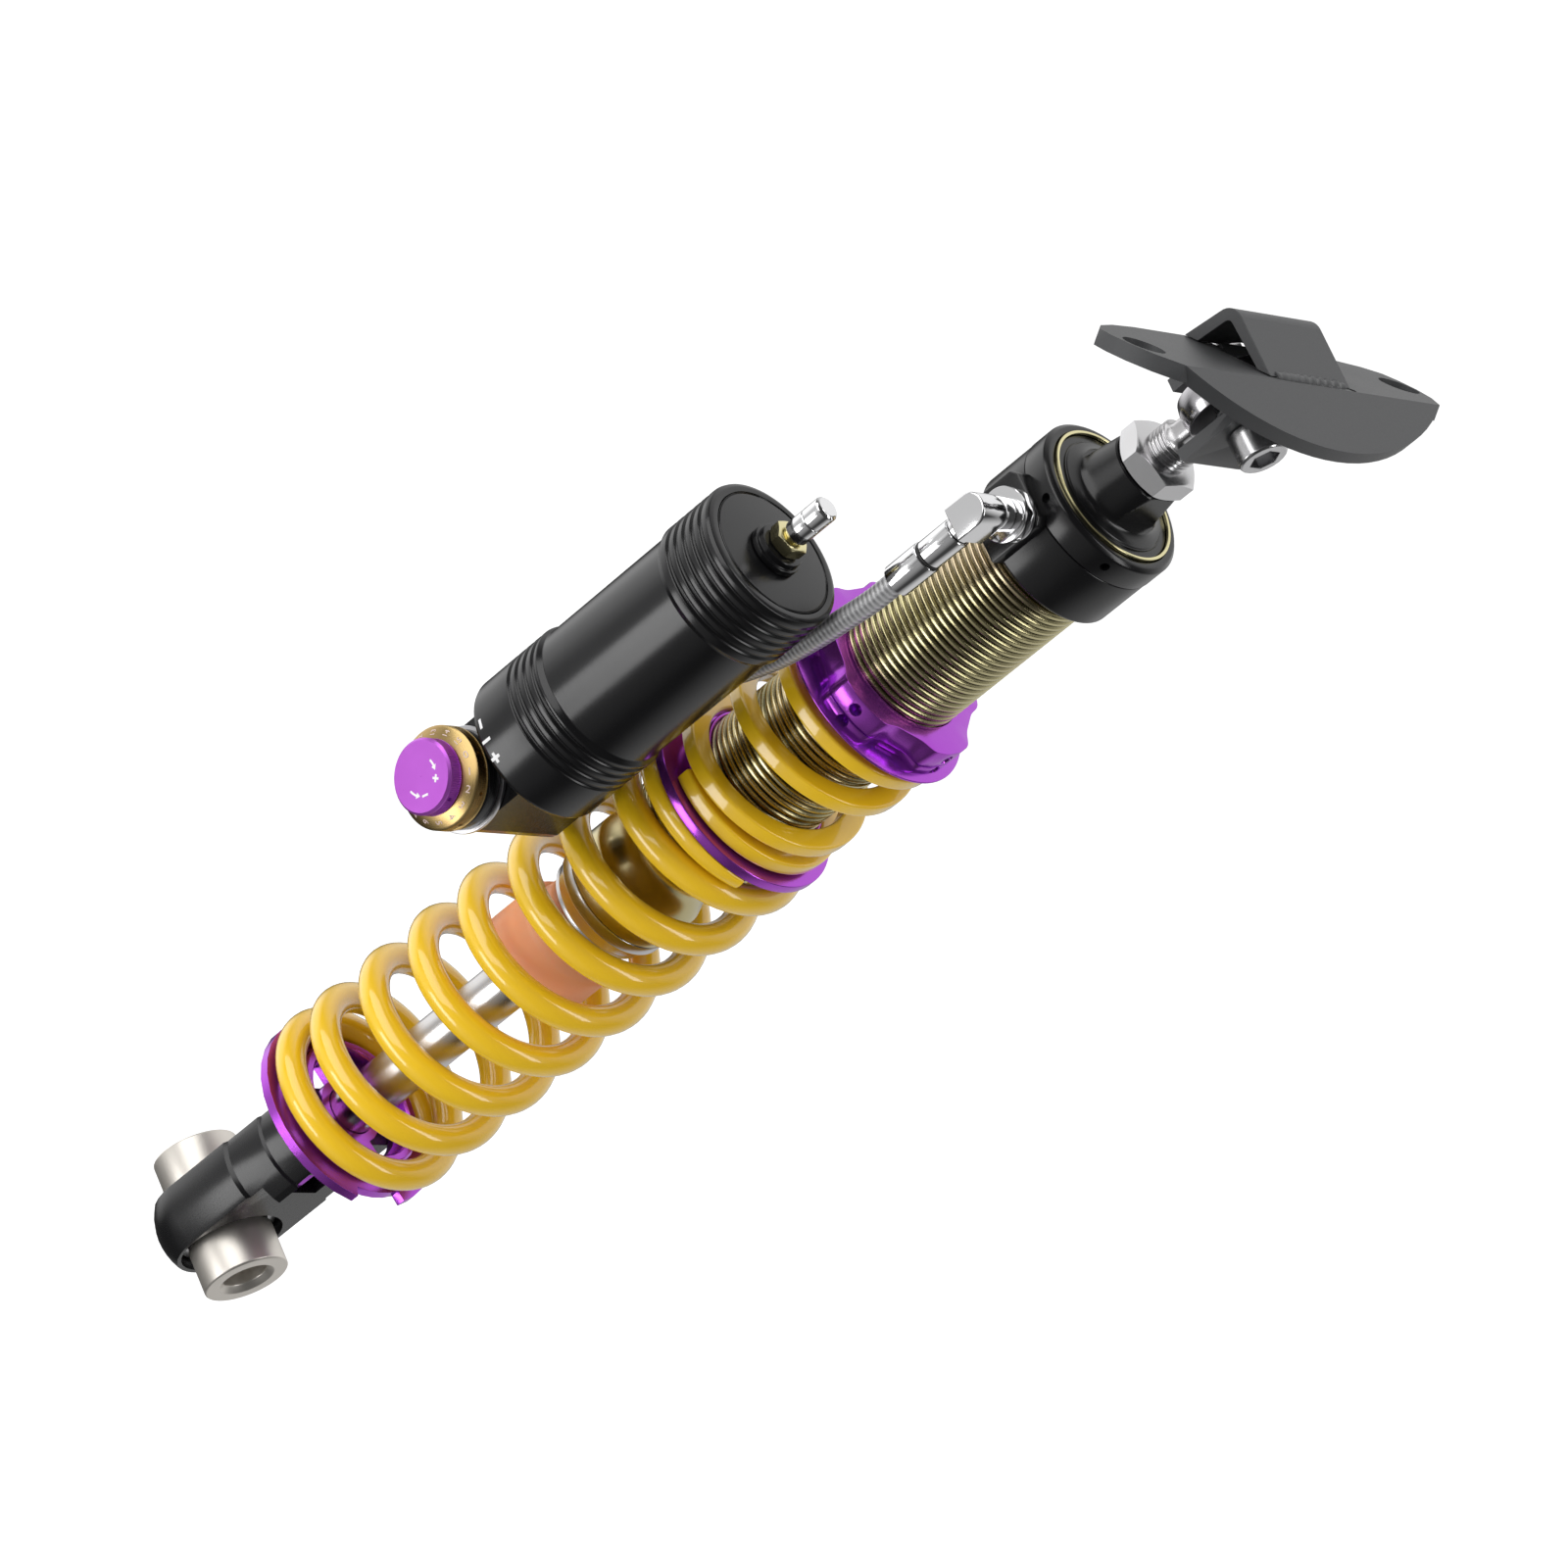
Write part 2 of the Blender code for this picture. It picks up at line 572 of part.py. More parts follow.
def top_bracket():
    """Bent sheet: flange, strip, window, two bolt holes and a relief hole."""
    half = [(x, at) for x, at in zip(STRIP_SHOULDER, STRIP_SHOULDER_AT)]
    outline = half + [(-x, at) for x, at in reversed(half)]
    bracket = add("top_bracket", prism(outline, -SHEET, 0.0), BRACKET_GREY, ON_STRIP)

    reach = sqrt(FLANGE_ARC_RADIUS ** 2 - FLANGE_HALF_CHORD ** 2)
    centre = (0.0, -BEND_FRONT + reach)
    spread = atan2(FLANGE_HALF_CHORD, reach)
    front = arc(centre, FLANGE_ARC_RADIUS, -pi / 2 - spread, -pi / 2 + spread, 24)
    flange = prism(front, BEND_HEIGHT - SHEET, BEND_HEIGHT)
    fuse(bracket, add("bracket_flange", flange, None))

    rear = STRIP_DEPTH + SHEET
    notch = EAR_TONGUE_HALF_WIDTH + FIT
    window = [
        (WINDOW_HALF_LENGTH, WINDOW_FRONT), (WINDOW_HALF_LENGTH, WINDOW_STEP), (notch, WINDOW_STEP),
        (notch, rear), (-notch, rear), (-notch, WINDOW_STEP), (-WINDOW_HALF_LENGTH, WINDOW_STEP),
        (-WINDOW_HALF_LENGTH, WINDOW_FRONT),
    ]
    cut(bracket, add("bracket_window", prism(window, -2 * SHEET, SHEET), None, ON_STRIP))
    for side, name in ((-1, "left"), (1, "right")):
        hole = rod_shape(STRIP_HOLE_RADIUS, -2 * SHEET, SHEET, ROUND_STEPS)
        place = ON_STRIP @ Matrix.Translation((side * STRIP_HOLE_X, STRIP_HOLE_AT, 0))
        cut(bracket, add("bracket_hole_" + name, hole, None, place))
    relief = rod_shape(RELIEF_HOLE_RADIUS, -2 * SHEET, SHEET, TINY_STEPS)
    place = ON_STRIP @ Matrix.Translation((CHANNEL_HALF_LENGTH + FIT, RELIEF_HOLE_RADIUS, 0))
    cut(bracket, add("bracket_relief", relief, None, place))


def bracket_channel():
    """Cap folded over the window with a rounded crest, its rear wall notched round the pivot nut."""
    inner_front = CHANNEL_FOOT_FRONT + CHANNEL_FOOT_WIDTH
    inner_rear = CHANNEL_FOOT_REAR - CHANNEL_FOOT_WIDTH
    centre = (CHANNEL_APEX_AT, CHANNEL_HEIGHT - CHANNEL_CREST_RADIUS)
    inner_radius = CHANNEL_CREST_RADIUS - (CHANNEL_HEIGHT - CHANNEL_INNER_HEIGHT)
    outline = arc(centre, CHANNEL_CREST_RADIUS, CHANNEL_CREST_START, CHANNEL_CREST_END, 8)
    outline += [(CHANNEL_FOOT_FRONT, FIT), (inner_front, FIT)]
    outline += arc(centre, inner_radius, CHANNEL_CREST_END, CHANNEL_CREST_START, 4)
    outline += [(inner_rear, FIT), (CHANNEL_FOOT_REAR, FIT)]
    across = ON_STRIP @ basis((0, 1, 0), (0, 0, 1))
    shape = prism(outline, -CHANNEL_HALF_LENGTH, CHANNEL_HALF_LENGTH)
    channel = add("bracket_channel", shape, BRACKET_GREY, across)
    room_radius = PIVOT_NUT_FLATS / sqrt(3.0) + NUT_ROOM
    room = rod_shape(room_radius, -HUGE, -EAR_GAP / 2 - EAR_THICKNESS, ROUND_STEPS)
    cut(channel, add("nut_room", room, None, TOWARDS_FRONT))


def ear_outline(top):
    """Ear seen along the bolt: rounded lower corners and a straight top."""
    low = -EAR_DROP + EAR_CORNER
    side = EAR_HALF_WIDTH - EAR_CORNER
    right = arc((side, low), EAR_CORNER, -pi / 2, 0.0, 5)
    left = arc((-side, low), EAR_CORNER, pi, 1.5 * pi, 5)
    return right + [(EAR_HALF_WIDTH, top), (-EAR_HALF_WIDTH, top)] + left


def clevis_ears():
    """Front and rear ear under the strip. A tongue of the rear one rises through the window."""
    strip_top = BEND_HEIGHT + SHEET
    bore = rod_shape(PIVOT_BOLT_RADIUS + FIT, -HUGE, HUGE, SMALL_STEPS)
    hole = add("ear_hole", bore, None, TOWARDS_FRONT)
    inner = EAR_GAP / 2
    outer = inner + EAR_THICKNESS

    plate = prism(ear_outline(strip_top), inner, outer)
    front = add("clevis_ear_front", plate, BRACKET_GREY, TOWARDS_FRONT)
    above = block((-HUGE, -HUGE, -SHEET - FIT), (HUGE, HUGE, HUGE))
    cut(front, add("above_strip", above, None, ON_STRIP), hole)

    plate = prism(ear_outline(EAR_TONGUE_TOP), -outer, -inner)
    rear = add("clevis_ear_rear", plate, BRACKET_GREY, TOWARDS_FRONT)
    for side, name in ((-1, "left"), (1, "right")):
        near, far = sorted((side * EAR_TONGUE_HALF_WIDTH, side * HUGE))
        shoulder = block((near, -HUGE, -SHEET - FIT), (far, HUGE, HUGE))
        cut(rear, add("above_shoulder_" + name, shoulder, None, ON_STRIP))
    cut(rear, hole)


def pivot_bolt():
    """Socket head bolt through both ears, and its nut."""
    seat = EAR_GAP / 2 + EAR_THICKNESS + FIT
    face = seat + PIVOT_HEAD_HEIGHT
    nut_far = seat + PIVOT_NUT_HEIGHT
    end = nut_far + PIVOT_THREAD_SHOWN
    chamfer = 0.8 * MM
    profile = [
        (0, face), (PIVOT_HEAD_RADIUS - chamfer, face), (PIVOT_HEAD_RADIUS, face - chamfer),
        (PIVOT_HEAD_RADIUS, seat), (PIVOT_BOLT_RADIUS, seat), (PIVOT_BOLT_RADIUS, chamfer - end),
        (PIVOT_BOLT_RADIUS - chamfer, -end), (0, -end),
    ]
    bolt = add("pivot_bolt", turned(profile, ROUND_STEPS), STEEL, TOWARDS_FRONT)
    socket = prism(hexagon(PIVOT_SOCKET_FLATS), face - PIVOT_SOCKET_DEPTH, face + HUGE)
    cut(bolt, add("pivot_socket", socket, None, TOWARDS_FRONT))
    hex_nut("pivot_nut", PIVOT_NUT_FLATS, -nut_far, -seat, PIVOT_BOLT_RADIUS + FIT, STEEL, TOWARDS_FRONT)


def ball_joint(name, radius, width, bore, centre, finish):
    """Pierced ball with flat ends, its bore along Y."""
    half = width / 2
    edge = atan2(sqrt(radius ** 2 - half ** 2), half)
    steps = 7
    angles = [edge + (pi - 2 * edge) * step / steps for step in range(steps + 1)]
    profile = [(radius * sin(a), radius * cos(a)) for a in angles]
    profile += [(bore, -half), (bore, half)]
    place = Matrix.Translation(centre) @ TOWARDS_FRONT
    return add(name, turned(profile, ROUND_STEPS), finish, place, centre)


def socket_ring(outer, half_width, ball_radius):
    """Ring whose bore follows a ball."""
    reach = sqrt(ball_radius ** 2 - half_width ** 2)
    edge = atan2(reach, half_width)
    steps = 4
    angles = [edge + (pi - 2 * edge) * step / steps for step in range(steps + 1)]
    bore = [(ball_radius * sin(a), ball_radius * cos(a)) for a in angles]
    chamfer = 1.0 * MM
    rim = [
        (outer - chamfer, -half_width), (outer, -half_width + chamfer),
        (outer, half_width - chamfer), (outer - chamfer, half_width),
    ]
    return turned(bore + rim, ROUND_STEPS)


def upper_ball():
    """Ball of the rod end and the two spacers that the bolt clamps it between."""
    bore = PIVOT_BOLT_RADIUS + FIT
    ball_joint("rod_end_ball", BALL_RADIUS, BALL_WIDTH, bore, (0, 0, 0), CHROME)
    near = BALL_WIDTH / 2 + FIT
    far = EAR_GAP / 2 - FIT
    outer = sqrt(BALL_RADIUS ** 2 - (BALL_WIDTH / 2) ** 2)
    add("ball_spacer_front", tube_shape(outer, bore, near, far, SMALL_STEPS), STEEL, TOWARDS_FRONT)
    add("ball_spacer_rear", tube_shape(outer, bore, -far, -near, SMALL_STEPS), STEEL, TOWARDS_FRONT)


def rod_end():
    """Housing of the ball with a flat shank that widens to the threaded stud."""
    half = BALL_RING_WIDTH / 2
    ring = socket_ring(BALL_RING_RADIUS, half, BALL_RADIUS + FIT)
    end = add("rod_end", ring, STEEL, TOWARDS_FRONT)
    shank_top = -(BALL_RADIUS + 2.0 * MM)
    inset = 0.6 * MM
    side, depth = STUD_RADIUS - inset, half - inset
    shank = block((-side, -depth, -STUD_TOP - 2 * inset), (side, depth, shank_top))
    stud_foot = NECK_TOP_Z - STUD_DEPTH
    chamfer = 1.2 * MM
    profile = [
        (0, -STUD_TOP), (STUD_RADIUS - chamfer, -STUD_TOP), (STUD_RADIUS, -STUD_TOP - chamfer),
        (STUD_RADIUS, stud_foot + chamfer), (STUD_RADIUS - chamfer, stud_foot), (0, stud_foot),
    ]
    fuse(end, add("rod_end_shank", shank, None), add("rod_end_stud", turned(profile, ROUND_STEPS), None))
    hex_nut("jam_nut", JAM_NUT_FLATS, NUT_FOOT_Z, -JAM_NUT_TOP, STUD_RADIUS + FIT, STEEL)


def head():
    """Head of the damper: core with a square neck, bronze ring, cap ring and body."""
    ring_top = HEAD_FACE_Z
    ring_foot = ring_top - HEAD_RING_HEIGHT
    split = HEAD_SPLIT_Z
    core_profile = [
        (0, ring_top - FIT), (CORE_RADIUS, ring_top - FIT), (CORE_RADIUS, ring_top - CORE_RIM_DROP),
        (CORE_RIM_RADIUS, ring_top - CORE_RIM_DROP), (CORE_RIM_RADIUS, ring_foot - FIT),
        (CORE_FLANGE_RADIUS, ring_foot - FIT), (CORE_FLANGE_RADIUS, split + FIT), (0, split + FIT),
    ]
    core = add("head_core", turned(core_profile, FINE_STEPS), BLACK)
    half = NECK_FLATS / 2
    neck = block((-half, -half, ring_top - 1.0 * MM), (half, half, NECK_TOP_Z))
    neck_piece = add("neck_square", neck, None)
    cone = [
        (0, NECK_TOP_Z), (NECK_TOP_RADIUS, NECK_TOP_Z), (NECK_FOOT_RADIUS, ring_top),
        (NECK_FOOT_RADIUS, ring_top - 2.0 * MM), (0, ring_top - 2.0 * MM),
    ]
    keep_inside(neck_piece, add("neck_cone", turned(cone, FINE_STEPS), None))
    bore = rod_shape(STUD_RADIUS + FIT, NECK_TOP_Z - STUD_DEPTH - 1.0 * MM, 0.0, ROUND_STEPS)
    fuse(core, neck_piece)
    cut(core, add("neck_bore", bore, None))

    ring = tube_shape(HEAD_RING_RADIUS, CORE_RIM_RADIUS + FIT, ring_foot, ring_top + FIT, FINE_STEPS)
    add("head_ring", ring, BRONZE)

    cap_top = ring_top - CORE_STEP
    inner = HEAD_RING_RADIUS + FIT
    cap_profile = [
        (inner, cap_top), (HEAD_CAP_RADIUS - HEAD_CHAMFER, cap_top),
        (HEAD_CAP_RADIUS, cap_top - HEAD_CHAMFER), (HEAD_CAP_RADIUS, split), (inner, split),
    ]
    cap = add("head_cap", turned(cap_profile, FINE_STEPS), BLACK)
    middle = (cap_top + split) / 2
    radial_holes(cap, "head_cap_hole", HEAD_CAP_HOLES, 0.0, middle, HEAD_CAP_HOLE_RADIUS,
                 HEAD_CAP_RADIUS - HEAD_CAP_HOLE_DEPTH)

    top = split - FIT
    roof = top - HEAD_ROOF
    bore_radius = TUBE_RADIUS + FIT
    body_profile = [
        (0, top), (HEAD_RADIUS, top), (HEAD_RADIUS, HEAD_FOOT_Z + HEAD_CHAMFER),
        (HEAD_RADIUS - HEAD_CHAMFER, HEAD_FOOT_Z), (bore_radius, HEAD_FOOT_Z), (bore_radius, roof), (0, roof),
    ]
    body = add("head_body", turned(body_profile, FINE_STEPS), BLACK)
    fuse(body, hose_boss())
    room = rod_shape(HEAD_CAP_RADIUS + FIT, top, HUGE, FINE_STEPS)
    cut(body, add("head_cap_room", room, None))


def hose_boss():
    """Chamfered block on the side of the head, for the hose."""
    low = HEAD_FOOT_Z + FIT
    high = low + BOSS_HEIGHT
    c = BOSS_CHAMFER
    outline = [
        (-BOSS_LOW_Y, low), (-BOSS_LOW_Y, high - c), (-BOSS_LOW_Y - c, high),
        (-BOSS_HIGH_Y + c, high), (-BOSS_HIGH_Y, high - c), (-BOSS_HIGH_Y, low),
    ]
    return add("hose_boss", prism(outline, TUBE_RADIUS + 2 * FIT, BOSS_REACH), None, TOWARDS_LEFT)


def radial_holes(piece, name, count, first, height, radius, inner):
    """Round holes pointing at the axis, evenly spaced round a piece."""
    for k in range(count):
        angle = first + 2 * pi * k / count
        outward = (cos(angle), sin(angle), 0.0)
        sideways = (-sin(angle), cos(angle), 0.0)
        place = basis(sideways, (0, 0, 1), (0, 0, height))
        if Vector(place.col[2][:3]).dot(Vector(outward)) < 0.0:
            place = basis((0, 0, 1), sideways, (0, 0, height))
        hole = rod_shape(radius, inner, inner + HUGE / 4, TINY_STEPS)
        cut(piece, add(f"{name}_{k + 1}", hole, None, place))


def body_tube():
    """Threaded tube with a concave waist and a bell at its foot."""
    top = HEAD_SPLIT_Z - FIT - HEAD_ROOF - FIT
    profile = [
        (TUBE_BORE, top), (TUBE_RADIUS, top), (TUBE_RADIUS, HEAD_FOOT_Z),
        (PLAIN_BAND_RADIUS, HEAD_FOOT_Z), (PLAIN_BAND_RADIUS, THREAD_TOP_Z),
        (TUBE_RADIUS, THREAD_TOP_Z - 0.8 * MM), (TUBE_RADIUS, THREAD_FOOT_Z),
    ]
    for step in range(1, WAIST_STEPS + 1):
        share = step / WAIST_STEPS
        end = TUBE_RADIUS + (BELL_RADIUS - TUBE_RADIUS) * share
        sunk = end + (WAIST_RADIUS - end) * sin(pi * share)
        profile.append((sunk, THREAD_FOOT_Z - WAIST_LENGTH * share))
    profile += [(BELL_RADIUS, BELL_FOOT_Z), (TUBE_BORE, BELL_FOOT_Z)]
    add("body_tube", turned(profile, FINE_STEPS), GOLD)


def gland():
    """Closes the tube round the rod, with the wiper in its foot."""
    lip_top = BELL_FOOT_Z - FIT
    lip_foot = lip_top - GLAND_LIP
    taper_foot = lip_foot - GLAND_TAPER
    bore = ROD_RADIUS + FIT
    wiper_top = GLAND_FOOT_Z + WIPER_HEIGHT
    profile = [
        (bore, GLAND_TOP_Z), (TUBE_BORE - FIT, GLAND_TOP_Z), (TUBE_BORE - FIT, lip_top),
        (BELL_RADIUS, lip_top), (BELL_RADIUS, lip_foot), (GLAND_FOOT_RADIUS, taper_foot),
        (GLAND_FOOT_RADIUS, GLAND_FOOT_Z), (WIPER_RADIUS, GLAND_FOOT_Z),
        (WIPER_RADIUS, wiper_top), (bore, wiper_top),
    ]
    add("gland", turned(profile, FINE_STEPS), STEEL)
    wiper = [
        (bore, wiper_top - FIT), (WIPER_RADIUS - FIT, wiper_top - FIT),
        (WIPER_RADIUS - FIT, GLAND_FOOT_Z), (bore + 1.0 * MM, GLAND_FOOT_Z),
    ]
    add("wiper_ring", turned(wiper, ROUND_STEPS), RUBBER)


def bump_stop():
    """Foam stop on the rod, with a narrower neck under the gland."""
    foot = BUMP_TOP_Z - BUMP_STOP_LENGTH
    neck_foot = BUMP_TOP_Z - BUMP_STOP_NECK
    bore = ROD_RADIUS + FIT
    soft = 2.0 * MM
    profile = [
        (bore, BUMP_TOP_Z), (BUMP_STOP_NECK_RADIUS - soft, BUMP_TOP_Z),
        (BUMP_STOP_NECK_RADIUS, BUMP_TOP_Z - soft), (BUMP_STOP_NECK_RADIUS, neck_foot),
        (BUMP_STOP_RADIUS - soft, neck_foot - soft / 2), (BUMP_STOP_RADIUS, neck_foot - 2 * soft),
        (BUMP_STOP_RADIUS, foot + 2 * soft), (BUMP_STOP_RADIUS - 2 * soft, foot), (bore, foot),
    ]
    add("bump_stop", turned(profile, ROUND_STEPS), FOAM)


def piston_rod():
    """Rod, the piston on its spigot and the nut that holds it."""
    piston_foot = ROD_SHOULDER_Z + FIT
    piston_top = piston_foot + PISTON_HEIGHT
    nut_top = piston_top + FIT + PISTON_NUT_HEIGHT
    chamfer = 1.0 * MM
    profile = [
        (0, nut_top), (ROD_SPIGOT_RADIUS, nut_top), (ROD_SPIGOT_RADIUS, ROD_SHOULDER_Z),
        (ROD_RADIUS, ROD_SHOULDER_Z), (ROD_RADIUS, ROD_FOOT_Z + chamfer),
        (ROD_RADIUS - chamfer, ROD_FOOT_Z), (0, ROD_FOOT_Z),
    ]
    add("piston_rod", turned(profile, ROUND_STEPS), CHROME)

    bore = ROD_SPIGOT_RADIUS + FIT
    outer = TUBE_BORE - FIT
    band = PISTON_HEIGHT / 3
    groove = outer - PISTON_GROOVE
    profile = [
        (bore, piston_top), (outer, piston_top), (outer, piston_top - band), (groove, piston_top - band),
        (groove, piston_foot + band), (outer, piston_foot + band), (outer, piston_foot), (bore, piston_foot),
    ]
    add("piston", turned(profile, ROUND_STEPS), STEEL)
    hex_nut("piston_nut", PISTON_NUT_FLATS, piston_top + FIT, nut_top, bore, STEEL)


def lip_radius():
    """Outer radius of a lip that centres the main spring."""
    return MAIN_INNER_RADIUS - SPRING_PLAY


def ring_sector(inner, outer, span, middle):
    """Outline of a sector of a ring."""
    steps = 4
    out = arc((0, 0), outer, middle - span / 2, middle + span / 2, steps)
    back = arc((0, 0), inner, middle + span / 2, middle - span / 2, steps)
    return out + back


def lower_perch():
    """Dished spring seat on the rod, with spokes between its windows and a notched rim."""
    hub = ROD_RADIUS + FIT
    lip = lip_radius()
    inner = lip - PERCH_LIP_WALL
    lip_top = PERCH_SEAT_Z + PERCH_LIP_HEIGHT
    profile = [
        (hub, PERCH_SEAT_Z), (inner, PERCH_SEAT_Z), (inner, lip_top - 1.0 * MM), (inner + 1.0 * MM, lip_top),
        (lip - 1.0 * MM, lip_top), (lip, lip_top - 1.0 * MM), (lip, PERCH_SEAT_Z),
        (PERCH_RADIUS, PERCH_SEAT_Z), (PERCH_RADIUS, PERCH_FOOT_Z), (hub, PERCH_FOOT_Z),
    ]
    perch = add("lower_perch", turned(profile, FINE_STEPS), PURPLE)
    for k in range(PERCH_WINDOWS):
        middle = 2 * pi * k / PERCH_WINDOWS + pi / PERCH_WINDOWS
        window = ring_sector(PERCH_WINDOW_INNER, PERCH_WINDOW_OUTER, PERCH_WINDOW_SPAN, middle)
        shape = prism(window, PERCH_FOOT_Z - HUGE / 8, PERCH_SEAT_Z + HUGE / 8)
        cut(perch, add(f"perch_window_{k + 1}", shape, None))
    for k in range(PERCH_NOTCHES):
        middle = PERCH_NOTCH_START + 2 * pi * k / PERCH_NOTCHES
        notch = ring_sector(PERCH_NOTCH_RADIUS, PERCH_RADIUS + HUGE / 8, PERCH_NOTCH_SPAN, middle)
        shape = prism(notch, PERCH_FOOT_Z - HUGE / 8, PERCH_SEAT_Z + HUGE / 8)
        cut(perch, add(f"perch_notch_{k + 1}", shape, None))


def main_spring():
    """Round wire, ground flat on both seats."""
    grind = MAIN_WIRE_RADIUS - MAIN_GROUND
    heights = coil_heights(PERCH_SEAT_Z + grind, DIVIDER_FOOT_Z - grind, MAIN_END_RISE, MAIN_ACTIVE_TURNS)
    section = [(MAIN_WIRE_RADIUS * (1 + cos(a)), MAIN_WIRE_RADIUS * sin(a))
               for a in (2 * pi * (k + 0.5) / 8 for k in range(8))]
    shape = coil_shape(heights, MAIN_START, MAIN_INNER_RADIUS, section, MAIN_POINTS)
    spring = add("main_spring", shape, YELLOW, origin=(0, 0, PERCH_SEAT_Z))
    outer = MAIN_INNER_RADIUS + 4 * MAIN_WIRE_RADIUS
    between = rod_shape(outer, PERCH_SEAT_Z + FIT, DIVIDER_FOOT_Z - FIT, SMALL_STEPS)
    keep_inside(spring, add("main_spring_seats", between, None))
    report_gap("main_spring", heights, 2 * MAIN_WIRE_RADIUS, MAIN_POINTS)


def tender_spring():
    """Flat wire spring between the divider and the seat ring."""
    half = TENDER_WIRE_HEIGHT / 2
    heights = coil_heights(DIVIDER_TOP_Z + FIT + half, SEAT_RING_Z - FIT - half,
                           TENDER_END_RISE, TENDER_ACTIVE_TURNS)
    section = [(0, -half), (TENDER_WIRE_WIDTH, -half), (TENDER_WIRE_WIDTH, half), (0, half)]
    shape = coil_shape(heights, TENDER_START, TENDER_INNER_RADIUS, section, TENDER_POINTS)
    add("tender_spring", shape, YELLOW, origin=(0, 0, SEAT_RING_Z))
    report_gap("tender_spring", heights, TENDER_WIRE_HEIGHT, TENDER_POINTS)


def sleeve_radius():
    """Outer radius of a sleeve inside the tender spring, whose turns are many-sided."""
    return TENDER_INNER_RADIUS * cos(pi / TENDER_POINTS) - FIT


def spring_divider():
    """Flange between the two springs, on a sleeve that slides on the tube."""
    bore = TUBE_RADIUS + FIT
    sleeve = sleeve_radius()
    top = DIVIDER_TOP_Z + DIVIDER_SLEEVE
    foot = DIVIDER_FOOT_Z - DIVIDER_LIP
    profile = [
        (bore, top), (sleeve - 0.4 * MM, top), (sleeve, top - 0.8 * MM), (sleeve, DIVIDER_TOP_Z),
        (DIVIDER_RADIUS, DIVIDER_TOP_Z), (DIVIDER_RADIUS, DIVIDER_FOOT_Z),
        (lip_radius(), DIVIDER_FOOT_Z), (lip_radius(), foot + 0.8 * MM), (lip_radius() - 0.4 * MM, foot),
        (bore, foot),
    ]
    add("spring_divider", turned(profile, FINE_STEPS), PURPLE, origin=(0, 0, DIVIDER_FOOT_Z))


def lug_outline():
    """Ring with lugs: arcs at the lug radius and at the notch radius in turn."""
    points = []
    step = 2 * pi / LUG_COUNT
    for k in range(LUG_COUNT):
        middle = LUG_FIRST + k * step
        points += arc((0, 0), LUG_RADIUS, middle - LUG_SPAN / 2, middle + LUG_SPAN / 2, 4)
        gap_start = middle + LUG_SPAN / 2 + LUG_SLOPE
        gap_end = middle + step - LUG_SPAN / 2 - LUG_SLOPE
        points += arc((0, 0), LUG_NOTCH_RADIUS, gap_start, gap_end, 3)
    return points


def lug_ring(name, foot, height):
    """Lugged ring threaded on the tube, with a spanner hole in each lug."""
    ring = add(name, prism(lug_outline(), foot, foot + height), PURPLE, origin=(0, 0, foot))
    bore = rod_shape(TUBE_RADIUS + FIT, foot - HUGE / 4, foot + height + HUGE / 4, FINE_STEPS)
    return ring, add(name + "_bore", bore, None)


def top_perch():
    """Adjustable seat ring of the tender spring."""
    ring, bore = lug_ring("top_perch", SEAT_RING_Z, SEAT_RING_HEIGHT)
    spigot = SEAT_RING_Z - SEAT_SPIGOT
    flange_top = SEAT_RING_Z + SEAT_FLANGE_HEIGHT
    profile = [
        (0, flange_top), (SEAT_FLANGE_RADIUS, flange_top), (SEAT_FLANGE_RADIUS, SEAT_RING_Z),
        (sleeve_radius(), SEAT_RING_Z), (sleeve_radius(), spigot), (0, spigot),
    ]
    fuse(ring, add("seat_flange", turned(profile, FINE_STEPS), None))
    cut(ring, bore)
    middle = (flange_top + SEAT_RING_Z + SEAT_RING_HEIGHT) / 2
    radial_holes(ring, "seat_hole", LUG_COUNT, LUG_FIRST, middle, LUG_HOLE_RADIUS,
                 LUG_RADIUS - LUG_HOLE_DEPTH)


def lock_ring():
    """Ring that locks the seat ring on the thread."""
    ring, bore = lug_ring("lock_ring", LOCK_RING_Z, LOCK_RING_HEIGHT)
    cut(ring, bore)
    radial_holes(ring, "lock_hole", LUG_COUNT, LUG_FIRST, LOCK_RING_Z + LOCK_RING_HEIGHT / 2,
                 LUG_HOLE_RADIUS, LUG_RADIUS - LUG_HOLE_DEPTH)


